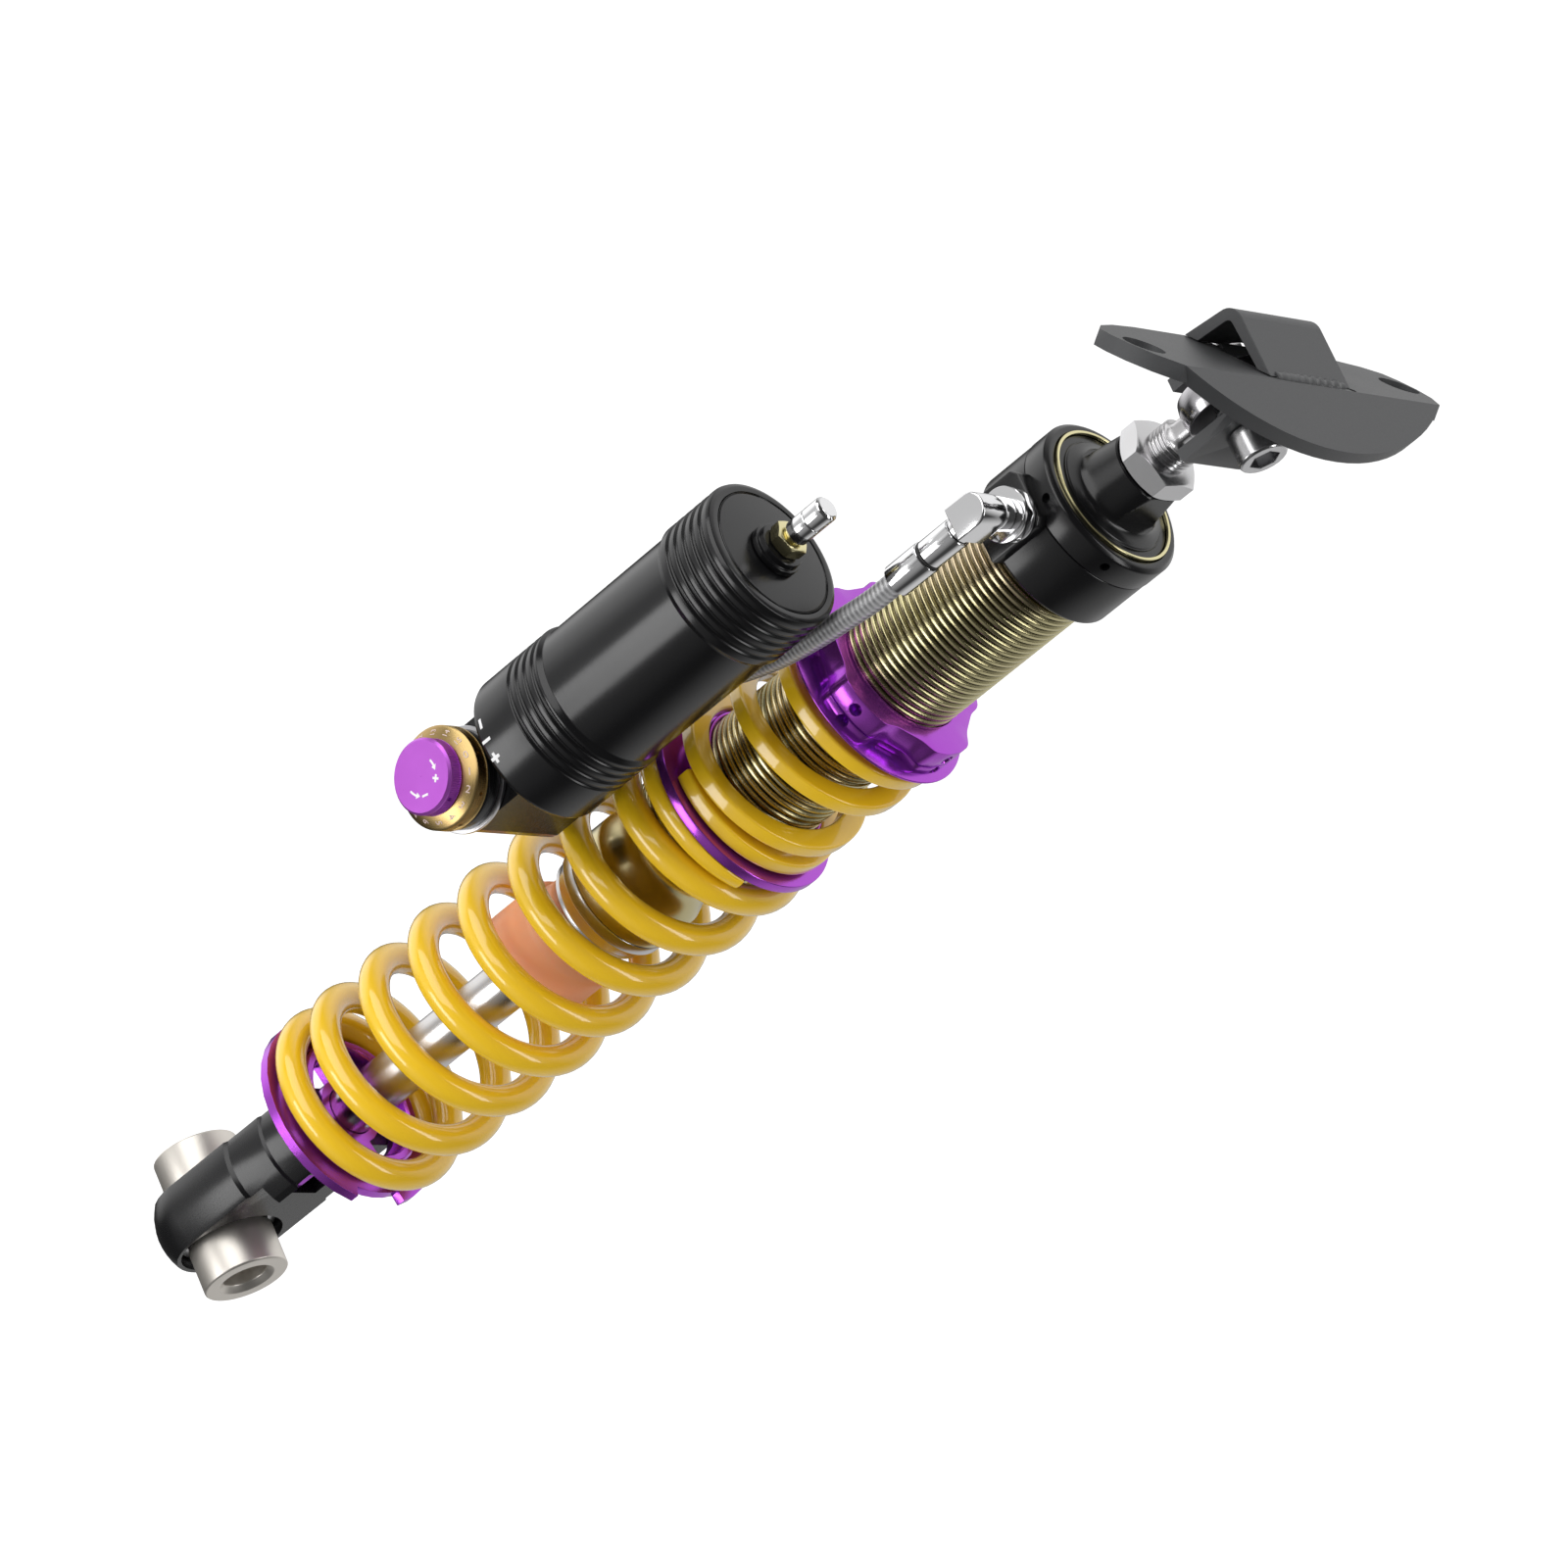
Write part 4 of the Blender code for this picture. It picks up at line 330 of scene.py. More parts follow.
    def mix(self, share: Number, first: Any, second: Any) -> bpy.types.NodeSocket:
        """Colour between two colours.

        Args:
            share: 0 for the first, 1 for the second.
            first: colour or socket.
            second: colour or socket.

        Returns:
            The mixed colour's socket.
        """
        inputs = {0: share}
        for key, colour in ((6, first), (7, second)):
            inputs[key] = (*colour, 1.0) if isinstance(colour, tuple) else colour
        return self.node("ShaderNodeMix", {"data_type": "RGBA"}, inputs).outputs[2]

    def bump(self, height: Value, depth: float) -> bpy.types.NodeSocket:
        """Normal bumped by a height of 0 to 1.

        Args:
            height: the height.
            depth: metres that 1 stands for.

        Returns:
            The normal's socket.
        """
        inputs = {"Height": height, "Distance": depth, "Strength": 1.0}
        return self.node("ShaderNodeBump", {}, inputs).outputs[0]

    def finish(self, inputs: Dict[str, Any]) -> bpy.types.Material:
        """Close the material with a Principled shader.

        Args:
            inputs: the shader's sockets.

        Returns:
            The material.
        """
        return self.close(self.node("ShaderNodeBsdfPrincipled", {}, inputs))


# ------------------------------------------------------------------ finishes

BLACK = (0.005, 0.005, 0.0055)
BLACK_BLOOM = (0.010, 0.010, 0.011)
BRIGHT_ZINC = (0.62, 0.62, 0.63)
ZINC_STAIN = (0.56, 0.54, 0.54)
BRACKET_GREY = (0.042, 0.043, 0.045)
# Painted shade: near black for the inside of bores, where they lie in shade
PAINTED_BORE_SHADE = (0.02, 0.02, 0.02)


@dataclass(frozen=True)
class Anodised:
    """Turned aluminium under a dyed anodic layer, with tool rings and a paler bloom."""

    name: str
    colour: Colour
    bloom: Colour
    axis: Lathe
    metallic: float = 0.9
    roughness: float = 0.24
    ring_depth: float = 0.8e-6

    def material(self) -> bpy.types.Material:
        """Build the material.

        Returns:
            The material.
        """
        shade = Shade(self.name)
        rings = shade.rings(self.axis, 5200.0)
        patches = shade.noise(38.0, 3.0)
        grain = shade.noise(2600.0, 2.0)
        colour = shade.mix((patches - 0.35).clipped() * 0.55, self.colour, self.bloom)
        return shade.finish({
            "Base Color": colour,
            "Metallic": self.metallic,
            "Roughness": rings * 0.08 + grain * 0.03 + patches * 0.06 + (self.roughness - 0.085),
            "Normal": shade.bump(rings + grain * 0.1, self.ring_depth * 10.0),
        })


@dataclass(frozen=True)
class Metal:
    """Bare or plated metal with turning rings, haze and faint stains, and painted shade inside its bore."""

    name: str
    colour: Colour
    stain: Colour
    axis: Lathe
    roughness: float
    ring_depth: float = 4.0e-6
    ring_scale: float = 4200.0
    # radius inside which the colour is painted shade, near black; 0 for none
    bore: float = 0.0

    def material(self) -> bpy.types.Material:
        """Build the material.

        Returns:
            The material.
        """
        shade = Shade(self.name)
        rings = shade.rings(self.axis, self.ring_scale)
        haze = shade.noise(60.0, 4.0)
        colour = shade.mix((haze - 0.4).clipped() * 1.4, self.colour, self.stain)
        # Painted shade: inside the bore the colour turns near black, as the bore lies in shade.
        if self.bore:
            radius, _ = shade.lathe(self.axis)
            colour = shade.mix(((radius - self.bore) * 9000.0).clipped(), PAINTED_BORE_SHADE, colour)
        return shade.finish({
            "Base Color": colour,
            "Metallic": 1.0,
            "Roughness": rings * 0.08 + haze * 0.06 + (self.roughness - 0.07),
            "Normal": shade.bump(rings, self.ring_depth),
        })


@dataclass(frozen=True)
class PlatedThread:
    """Olive gold plating of the tube, pinker in clouds, with painted shade darkening the thread's roots."""

    name: str
    crest: Colour
    blush: Colour
    # painted shade of the thread's roots
    root: Colour
    crest_radius: float
    root_radius: float

    def material(self) -> bpy.types.Material:
        """Build the material.

        Returns:
            The material.
        """
        shade = Shade(self.name)
        radius, along = shade.lathe(Lathe.DAMPER)
        # Painted shade: the colour falls to the near-black root colour towards the bottom of the thread's
        # grooves.
        depth = ((radius - self.root_radius) / (self.crest_radius - self.root_radius)).clipped()
        clouds = shade.noise(16.0, 2.0)
        scratches = shade.noise(1900.0, 2.0)
        plating = shade.mix(((clouds - 0.47) * 3.2).clipped(), self.crest, self.blush)
        return shade.finish({
            "Base Color": shade.mix(depth, self.root, plating),
            "Metallic": 1.0,
            "Roughness": scratches * 0.12 + (0.26 - 0.06),
            "Normal": shade.bump(scratches, 2.0e-6),
        })


@dataclass(frozen=True)
class Paint:
    """Gloss powder coat: an even colour under a clear skin with slight orange peel."""

    name: str
    colour: Colour
    shadow: Colour
    roughness: float = 0.26
    peel: float = 2.5e-6

    def material(self) -> bpy.types.Material:
        """Build the material.

        Returns:
            The material.
        """
        shade = Shade(self.name)
        broad = shade.noise(24.0, 2.0)
        peel = shade.noise(520.0, 2.0)
        dust = shade.noise(3800.0, 1.0)
        return shade.finish({
            "Base Color": shade.mix((broad - 0.3).clipped() * 0.5, self.colour, self.shadow),
            "Metallic": 0.0,
            "Roughness": dust * 0.05 + broad * 0.05 + (self.roughness - 0.05),
            "Coat Weight": 1.0,
            "Coat Roughness": 0.03,
            "Normal": shade.bump(peel + dust * 0.15, self.peel),
        })


@dataclass(frozen=True)
class SatinCoat:
    """Satin coating with a fine grain."""

    name: str
    colour: Colour
    bloom: Colour
    roughness: float
    grain: float = 14.0e-6
    scale: float = 1500.0

    def material(self) -> bpy.types.Material:
        """Build the material.

        Returns:
            The material.
        """
        shade = Shade(self.name)
        grain = shade.noise(self.scale, 3.0)
        cloud = shade.noise(30.0, 3.0)
        return shade.finish({
            "Base Color": shade.mix((cloud - 0.3).clipped() * 0.8, self.colour, self.bloom),
            "Metallic": 0.0,
            "Specular IOR Level": 0.55,
            "Roughness": grain * 0.12 + cloud * 0.08 + (self.roughness - 0.10),
            "Normal": shade.bump(grain, self.grain),
        })


@dataclass(frozen=True)
class Foam:
    """Cellular polyurethane: soft, a little see-through, with tiny pores."""

    name: str
    colour: Colour
    deep: Colour

    def material(self) -> bpy.types.Material:
        """Build the material.

        Returns:
            The material.
        """
        shade = Shade(self.name)
        pores = shade.noise(1400.0, 2.0)
        cloud = shade.noise(45.0, 3.0)
        return shade.finish({
            "Base Color": shade.mix(cloud, self.colour, self.deep),
            "Roughness": pores * 0.15 + 0.42,
            "Subsurface Weight": 0.35,
            "Subsurface Radius": (0.006, 0.003, 0.0015),
            "Subsurface Scale": 1.0,
            "Normal": shade.bump(pores, 12.0e-6),
        })


@dataclass(frozen=True)
class Braid:
    """Plaited steel wire: two families of strands crossing over and under.

    The piece's UV holds turns round the hose and turns of plait along it.
    """

    name: str
    wire: Colour
    gap: Colour

    def material(self) -> bpy.types.Material:
        """Build the material.

        Returns:
            The material.
        """
        shade = Shade(self.name)
        layer = shade.node("ShaderNodeUVMap", {"uv_map": "Plait"}).outputs[0]
        around, along, _ = shade.split(layer)
        wires = 3.0
        left = ((around + along) * (TURN * wires)).sine()
        right = ((around - along) * (TURN * wires)).sine()
        strands = (left * right * 0.5 + 0.5).clipped()
        speck = shade.noise(5200.0, 2.0)
        colour = shade.mix((strands * 0.8 + speck * 0.35).clipped(), self.gap, self.wire)
        return shade.finish({
            "Base Color": colour,
            "Metallic": 0.6,
            "Roughness": speck * 0.25 + 0.34,
            "Normal": shade.bump(strands + speck * 0.3, 60.0e-6),
        })


@dataclass(frozen=True)
class Print:
    """Flat ink of the marks."""

    name: str
    colour: Colour

    def material(self) -> bpy.types.Material:
        """Build the material.

        Returns:
            The material.
        """
        shade = Shade(self.name)
        wear = shade.noise(900.0, 3.0)
        return shade.finish({
            "Base Color": shade.mix(wear * 0.2, self.colour, (0.5, 0.5, 0.5)),
            "Roughness": wear * 0.1 + 0.4,
        })


class Finish(Enum):
    """Every finish on the part."""

    BLACK_DAMPER = Anodised("black_anodised", BLACK, BLACK_BLOOM, Lathe.DAMPER, 0.0, 0.22, 0.25e-6)
    BLACK_RESERVOIR = Anodised("black_anodised_reservoir", BLACK, BLACK_BLOOM, Lathe.RESERVOIR, 0.0, 0.22,
                               0.25e-6)
    BLACK_ADJUSTER = Anodised("black_anodised_block", BLACK, BLACK_BLOOM, Lathe.ADJUSTER, 0.0, 0.26, 0.25e-6)
    BLACK_EYE = SatinCoat("black_anodised_eye", BLACK, BLACK_BLOOM, 0.26, 4.0e-6, 2600.0)
    PURPLE = Anodised("purple_anodised", (0.46, 0.085, 0.66), (0.56, 0.14, 0.74), Lathe.DAMPER, 0.88, 0.20)
    PURPLE_KNOB = Anodised("purple_anodised_knob", (0.54, 0.12, 0.68), (0.64, 0.20, 0.78),
                           Lathe.ADJUSTER, 0.80, 0.30, 1.6e-6)
    YELLOW = Paint("spring_coat", (0.86, 0.54, 0.012), (0.80, 0.48, 0.010))
    # The third colour is painted shade for the thread's roots.
    THREAD = PlatedThread("plated_thread", (0.62, 0.56, 0.31), (0.56, 0.40, 0.33), (0.075, 0.065, 0.03),
                          26.2 * MM, 25.4 * MM)
    BELL = Metal("plated_bell", (0.60, 0.53, 0.29), (0.52, 0.42, 0.24), Lathe.DAMPER, 0.20, 1.5e-6)
    GOLD = Metal("gold_anodised_dial", (0.52, 0.37, 0.15), (0.42, 0.27, 0.13), Lathe.ADJUSTER, 0.28)
    BRONZE = Metal("gold_chromate", (0.80, 0.74, 0.42), (0.72, 0.62, 0.36), Lathe.DAMPER, 0.20)
    ZINC = Metal("bright_zinc", BRIGHT_ZINC, ZINC_STAIN, Lathe.DAMPER, 0.22)
    ZINC_BOLT = Metal("bright_zinc_bolt", BRIGHT_ZINC, ZINC_STAIN, Lathe.UPPER_EYE, 0.22)
    CHROME = Metal("chrome", (0.80, 0.80, 0.81), (0.74, 0.74, 0.75), Lathe.DAMPER, 0.09, 0.6e-6)
    ROD = Metal("hard_chrome_rod", (0.66, 0.65, 0.65), (0.60, 0.59, 0.59), Lathe.DAMPER, 0.24, 1.0e-6)
    STEEL = Metal("polished_steel", (0.58, 0.57, 0.59), (0.52, 0.50, 0.52), Lathe.UPPER_EYE, 0.16, 1.0e-6)
    # Painted shade inside the bushes' bores, within 9.2 mm of their axis
    NICKEL = Metal("nickel", (0.36, 0.33, 0.26), (0.30, 0.27, 0.21), Lathe.LOWER_EYE, 0.22, bore=9.2 * MM)
    ALUMINIUM = Metal("turned_aluminium", (0.70, 0.70, 0.72), (0.64, 0.64, 0.66), Lathe.DAMPER, 0.30)
    BRACKET = SatinCoat("bracket_coat", BRACKET_GREY, (0.056, 0.057, 0.060), 0.44)
    WELD = SatinCoat("bracket_weld_coat", BRACKET_GREY, (0.070, 0.071, 0.074), 0.38, 40.0e-6, 700.0)
    BRAID = Braid("wire_braid", (0.78, 0.78, 0.79), (0.10, 0.10, 0.105))
    FOAM = Foam("bump_stop_foam", (0.92, 0.48, 0.28), (0.84, 0.38, 0.20))
    RUBBER = SatinCoat("wiper_rubber", (0.012, 0.012, 0.012), (0.02, 0.02, 0.02), 0.55)
    WHITE_INK = Print("white_marks", (0.80, 0.80, 0.80))
    PALE_INK = Print("pale_marks", (0.72, 0.55, 0.50))

    def material(self) -> bpy.types.Material:
        """The finish's material, built at its first use."""
        found = bpy.data.materials.get(self.value.name)
        return found or self.value.material()


# ------------------------------------------------------------------ surfaces


def frame_of(x_axis: Sequence[float], y_axis: Sequence[float],
             origin_mm: Sequence[float] = (0.0, 0.0, 0.0)) -> Array:
    """Placement whose Z is X cross Y.

    Args:
        x_axis: direction of X.
        y_axis: direction of Y.
        origin_mm: its origin.

    Returns:
        A 4 by 4 matrix.
    """
    place = np.eye(4)
    place[:3, 0], place[:3, 1] = x_axis, y_axis
    place[:3, 2] = np.cross(x_axis, y_axis)
    place[:3, 3] = origin_mm
    return place


def outward(angle: float, height: float, reach: float = 0.0) -> Array:
    """Placement that looks away from the Z axis, with its X round the axis and its Y up.

    Args:
        angle: round the axis, in radians.
        height: of its origin, in millimetres.
        reach: its origin's distance from the axis, in millimetres.

    Returns:
        A 4 by 4 matrix.
    """
    cosine, sine = math.cos(angle), math.sin(angle)
    return frame_of((-sine, cosine, 0.0), (0.0, 0.0, 1.0), (reach * cosine, reach * sine, height))


# A minus and a plus of length 1, and how deep and proud of a surface such marks stand
MARK_FACES_MM = (-0.10, 0.05)
BAR = np.array([(-0.5, -0.15), (0.5, -0.15), (0.5, 0.15), (-0.5, 0.15)])
CROSS = np.array([(-0.5, -0.15), (-0.15, -0.15), (-0.15, -0.5), (0.15, -0.5), (0.15, -0.15), (0.5, -0.15),
                  (0.5, 0.15), (0.15, 0.15), (0.15, 0.5), (-0.15, 0.5), (-0.15, 0.15), (-0.5, 0.15)])

UPRIGHT = frame_of((1, 0, 0), (0, 1, 0))
RESERVOIR_PLACE = frame_of((1, 0, 0), (0, 1, 0), (*RESERVOIR_AXIS_MM, 0.0))
FORWARD = frame_of((1, 0, 0), (0, 0, 1))
EYE_FORWARD = frame_of((1, 0, 0), (0, 0, 1), (0.0, 0.0, EYE_MM))
ADJUSTER_PLACE = frame_of((0, -1, 0), (0, 0, 1), (0.0, RESERVOIR_AXIS_MM[1], ADJUSTER_MM))
HOSE_SEAT_PLACE = frame_of((0, -1, 0), (0, 0, 1), (0.0, 0.0, HOSE_SEAT_MM))
HOSE_TOP_PLACE = frame_of((1, 0, 0), (0, 1, 0), (-55.0, 0.0, 0.0))


def barrel(outer: float, start: float, end: float, inner: float = 0.0) -> List[Tuple[float, float]]:
    """Outline of a plain cylinder or, with an inner radius, of a plain ring."""
    return [(inner, start), (outer, start), (outer, end), (inner, end)]


def ball_arc(radius: float, start: float, end: float, points: int) -> List[Tuple[float, float]]:
    """Outline of a ball between two heights: (radius sin a, radius cos a), its middle at 0.

    Args:
        radius: of the ball.
        start: height of the first point.
        end: height of the last point.
        points: their number.

    Returns:
        Pairs of distance from the axis and height.
    """
    lean = np.linspace(math.acos(start / radius), math.acos(end / radius), points)
    return [(radius * math.sin(a), radius * math.cos(a)) for a in lean]


def eased(corners: Sequence[Tuple[float, float]], radius: float, steps: int = 3,
          closed: bool = False) -> Array:
    """Outline with its corners eased.

    A corner P between points A and B gives way to (1-s)^2 before + 2 s (1-s) P + s^2 after,
    where before and after lie on the two sides, the radius away from P or 45% of the side.

    Args:
        corners: the outline's corners.
        radius: how far the easing reaches.
        steps: spans of each eased corner.
        closed: whether the last corner joins the first.

    Returns:
        Points of the eased outline, one row each.
    """
    points = np.asarray(corners, float)
    before, after = np.roll(points, 1, 0) - points, np.roll(points, -1, 0) - points
    if not closed:
        before[0], after[-1] = after[0], before[-1]
    reach_before = np.linalg.norm(before, axis=1)
    reach_after = np.linalg.norm(after, axis=1)
    cut = np.minimum(radius, 0.45 * np.minimum(reach_before, reach_after))
    if not closed:
        cut[[0, -1]] = 0.0
    start = points + before / reach_before[:, None] * cut[:, None]
    end = points + after / reach_after[:, None] * cut[:, None]
    s = np.linspace(0.0, 1.0, steps + 1)[None, :, None]
    curve = (1 - s) ** 2 * start[:, None] + 2 * s * (1 - s) * points[:, None] + s ** 2 * end[:, None]
    flat = curve.reshape(-1, 2)
    kept = np.ones(len(flat), bool)
    kept[1:] = np.linalg.norm(np.diff(flat, axis=0), axis=1) > 1e-6
    return flat[kept]


def grid_faces(rows: int, columns: int, wrap_rows: bool) -> Array:
    """Quads of a grid of vertices stored row by row, whose last column joins the first.

    Args:
        rows: of the grid.
        columns: of the grid.
        wrap_rows: whether the last row joins the first.

    Returns:
        Four vertex numbers for each quad.
    """
    row = np.arange(rows if wrap_rows else rows - 1)[:, None]
    column = np.arange(columns)[None, :]
    next_row, next_column = (row + 1) % rows, (column + 1) % columns
    corners = [row * columns + column, row * columns + next_column,
               next_row * columns + next_column, next_row * columns + column]
    return np.stack([np.broadcast_to(c, (row.size, column.size)) for c in corners], -1).reshape(-1, 4)


class Piece:
    """A mesh of the scene, made in millimetres and placed in the frame."""

    def __init__(self, name: str) -> None:
        """Start an empty piece.

        Args:
            name: its name.
        """
        self.name = name
        self.points: List[Array] = []
        self.faces: List[List[int]] = []
        self.count = 0

    def add(self, points: Array, faces: Sequence[Array], place: Array = UPRIGHT) -> "Piece":
        """Add a mesh.

        Args:
            points: vertices in millimetres.
            faces: vertex numbers, a row for each face, in one array for each number of corners.
            place: placement of the points.

        Returns:
            The piece.
        """
        for group in faces:
            self.faces += (group + self.count).tolist()
        self.points.append(np.asarray(points, float) @ place[:3, :3].T + place[:3, 3])
        self.count += len(points)
        return self

    def grid(self, surface: Array, place: Array = UPRIGHT, wrap_rows: bool = False,
             caps: bool = False) -> "Piece":
        """Add a surface given as a grid of points whose last column joins the first.

        Args:
            surface: rows by columns by 3, in millimetres.
            place: its placement.
            wrap_rows: whether the last row joins the first.
            caps: whether the first and last row are closed with a face.

        Returns:
            The piece.
        """
        rows, columns = surface.shape[:2]
        faces = [grid_faces(rows, columns, wrap_rows)]
        if caps:
            rim = np.arange(columns)[None]
            faces += [rim[:, ::-1], rim + (rows - 1) * columns]
        return self.add(surface.reshape(-1, 3), faces, place)

    def turned(self, corners: Sequence[Tuple[float, float]], place: Array = UPRIGHT, ease: float = 0.4,
               segments: int = 96, ring: bool = False) -> "Piece":
        """Add a surface of revolution: (r cos a, r sin a, z) for each point (r, z) of the outline.

        Args:
            corners: outline as (radius, height), in millimetres.
            place: placement whose Z is the axis.
            ease: reach of the eased corners.
            segments: points round the axis.
            ring: whether the outline closes on itself, as for a tube.

        Returns:
            The piece.
        """
        outline = eased(corners, ease, closed=ring)
        angle = np.linspace(0.0, TURN, segments, endpoint=False)
        radius, height = outline[:, :1], outline[:, 1:]
        surface = np.stack([radius * np.cos(angle), radius * np.sin(angle), height + 0.0 * angle], -1)
        return self.grid(surface, place, wrap_rows=ring)

    def raised(self, outline: Array, low: float, high: float, place: Array = UPRIGHT,
               edge: float = 0.4, steps: int = 2) -> "Piece":
        """Add a flat outline raised along Z, its rims eased by drawing it in towards its middle.

        Args:
            outline: points (x, y) of a closed outline seen from +Z, counter-clockwise.
            low: foot.
            high: top.
            place: its placement.
            edge: width and height of the eased rims.
            steps: spans of each rim.

        Returns:
            The piece.
        """
        outline = np.asarray(outline, float)
        ahead, behind = np.roll(outline, -1, 0) - outline, outline - np.roll(outline, 1, 0)
        ahead /= np.linalg.norm(ahead, axis=1)[:, None]
        behind /= np.linalg.norm(behind, axis=1)[:, None]
        along = ahead + behind
        along /= np.linalg.norm(along, axis=1)[:, None]
        inward = np.stack([-along[:, 1], along[:, 0]], -1)
        share = np.linspace(0.0, 0.5 * math.pi, steps + 1)
        drawn = np.concatenate([edge * (1 - np.sin(share)), edge * (1 - np.cos(share))])
        level = np.concatenate([low + edge * (1 - np.cos(share)), high - edge * (1 - np.sin(share))])
        surface = np.concatenate([outline[None] + inward[None] * drawn[:, None, None],
                                  np.broadcast_to(level[:, None, None], (len(level), len(outline), 1))], -1)
        return self.grid(surface, place, caps=True)

    def plate(self, outline: Array, place: Array, low: float, high: float) -> "Piece":
        """Add a flat outline as a plate with sharp rims.

        Args:
            outline: points (x, y) of a closed outline seen from +Z, counter-clockwise.
            place: its placement.
            low: foot.
            high: top.

        Returns:
            The piece.
        """
        rows = [np.column_stack([outline, np.full(len(outline), level)]) for level in (low, high)]
        return self.grid(np.stack(rows), place, caps=True)

    def hexagonal(self, flats: float, low: float, high: float, bore: float,
                  place: Array = UPRIGHT) -> "Piece":
        """Add a hexagon whose corners are chamfered by a cone at both faces.

        The side stands flats/2 / cos(angle from the middle of its flat) from the axis, and the
        faces fall away outside the circle inside the flats by 0.5 for each unit of radius.

        Args:
            flats: size across flats.
            low: foot.
            high: top.
            bore: radius of the bore, or 0.
            place: placement whose Z is the axis. A corner lies on its X.

        Returns:
            The piece.
        """
        columns = 6 * 12
        angle = np.linspace(0.0, TURN, columns, endpoint=False)
        within = np.mod(angle, TURN / 6) - TURN / 12
        side = 0.5 * flats / np.cos(within)
        inner, ends = np.full(columns, 0.475 * flats), np.full(columns, bore)
        fall = 0.5 * (side - inner)
        top, foot = np.full(columns, high), np.full(columns, low)
        radius = np.stack([ends, inner, side, side, inner, ends])
        level = np.stack([top, top, high - fall, low + fall, foot, foot])
        surface = np.stack([radius * np.cos(angle), radius * np.sin(angle), level], -1)
        return self.grid(surface, place, wrap_rows=bore > 0.0)

    def object(self, sharp: float = 28.0) -> bpy.types.Object:
        """Make the object: doubles merged, faces outwards, smooth up to an angle.

        Args:
            sharp: angle in degrees past which an edge stays sharp.

        Returns:
            The object, at the origin.
        """
        mesh = bpy.data.meshes.new(self.name)
        mesh.from_pydata((np.concatenate(self.points) * MM).tolist(), [], self.faces)
        return mesh_object(self.name, mesh, sharp)


def glyph(text: str, size: float) -> Tuple[Array, List[Array]]:
    """Points and faces of a number drawn in the built-in font, centred, 0.1 thick.

    Args:
        text: the digits.
        size: of the type, in millimetres.

    Returns:
        Points in millimetres and the faces.
    """
    curve = bpy.data.curves.new("glyph", "FONT")
    curve.body, curve.size, curve.extrude, curve.resolution_u = text, size, 0.05, 3
    curve.align_x, curve.align_y = "CENTER", "CENTER"
    carrier = bpy.data.objects.new("glyph", curve)
    bpy.context.scene.collection.objects.link(carrier)
    bpy.context.view_layer.update()
    mesh = bpy.data.meshes.new_from_object(carrier.evaluated_get(bpy.context.evaluated_depsgraph_get()))
    points = np.zeros(3 * len(mesh.vertices))
    mesh.vertices.foreach_get("co", points)
    faces = [np.array([tuple(face.vertices)]) for face in mesh.polygons]
    bpy.data.objects.remove(carrier)
    bpy.data.curves.remove(curve)
    bpy.data.meshes.remove(mesh)
    return points.reshape(-1, 3), faces


def tidy_mesh(mesh: bpy.types.Mesh, flatten: bool = False, outwards: bool = True) -> None:
    """Merge doubles, drop faces of no area and turn faces outwards.

    Args:
        mesh: the mesh.
        flatten: whether to merge faces that lie in one plane.
        outwards: whether to work out the normals afresh.
    """
    work = bmesh.new()
    work.from_mesh(mesh)
    bmesh.ops.remove_doubles(work, verts=work.verts, dist=1.0e-6)
    bmesh.ops.dissolve_degenerate(work, edges=work.edges, dist=1.0e-7)
    if flatten:
        bmesh.ops.dissolve_limit(work, angle_limit=math.radians(0.6), verts=work.verts, edges=work.edges)
    if outwards:
        bmesh.ops.recalc_face_normals(work, faces=work.faces)
    work.to_mesh(mesh)
    work.free()


def mesh_object(name: str, mesh: bpy.types.Mesh, sharp: float, flatten: bool = False) -> bpy.types.Object:
    """Tidy a mesh, shade it smooth up to an angle and link it as an object.

    Args:
        name: the object's name.
        mesh: its mesh.
        sharp: angle in degrees past which an edge stays sharp.
        flatten: whether to merge faces that lie in one plane.

    Returns:
        The object.
    """
    tidy_mesh(mesh, flatten)
    mesh.shade_smooth()
    mesh.set_sharp_from_angle(angle=math.radians(sharp))
    made = bpy.data.objects.new(name, mesh)
    bpy.context.scene.collection.objects.link(made)
    return made


def softened(piece: bpy.types.Object, width: float) -> bpy.types.Object:
    """Round a piece's sharp edges.

    Args:
        piece: the object.
        width: how far the rounding reaches, in millimetres.

    Returns:
        The object.
    """
    bevel = piece.modifiers.new("Edges", "BEVEL")
    bevel.width, bevel.segments = width * MM, 2
    bevel.limit_method, bevel.angle_limit = "ANGLE", math.radians(30.0)
    bevel.harden_normals = True
    bevel.use_clamp_overlap = True
    return piece


def hole(outline: Sequence[Tuple[float, float]], place: Array, segments: int = 24) -> bpy.types.Object:
    """Cutter of a round hole.

    Args:
        outline: pairs of radius and height, in millimetres.
        place: placement whose Z is the hole's axis.
        segments: points round it.

    Returns:
        The cutter.
    """
    return Piece("hole").turned(outline, place, 0.0, segments).object()


def block(low: Tuple[float, float, float], high: Tuple[float, float, float]) -> bpy.types.Object:
    """Cutter with square corners.

    Args:
        low: its lowest corner, in millimetres.
        high: its highest corner.

    Returns:
        The cutter.
    """
    (left, front, foot), (right, rear, top) = low, high
    outline = np.array([(left, front), (right, front), (right, rear), (left, rear)])
    return Piece("block").plate(outline, UPRIGHT, foot, top).object()


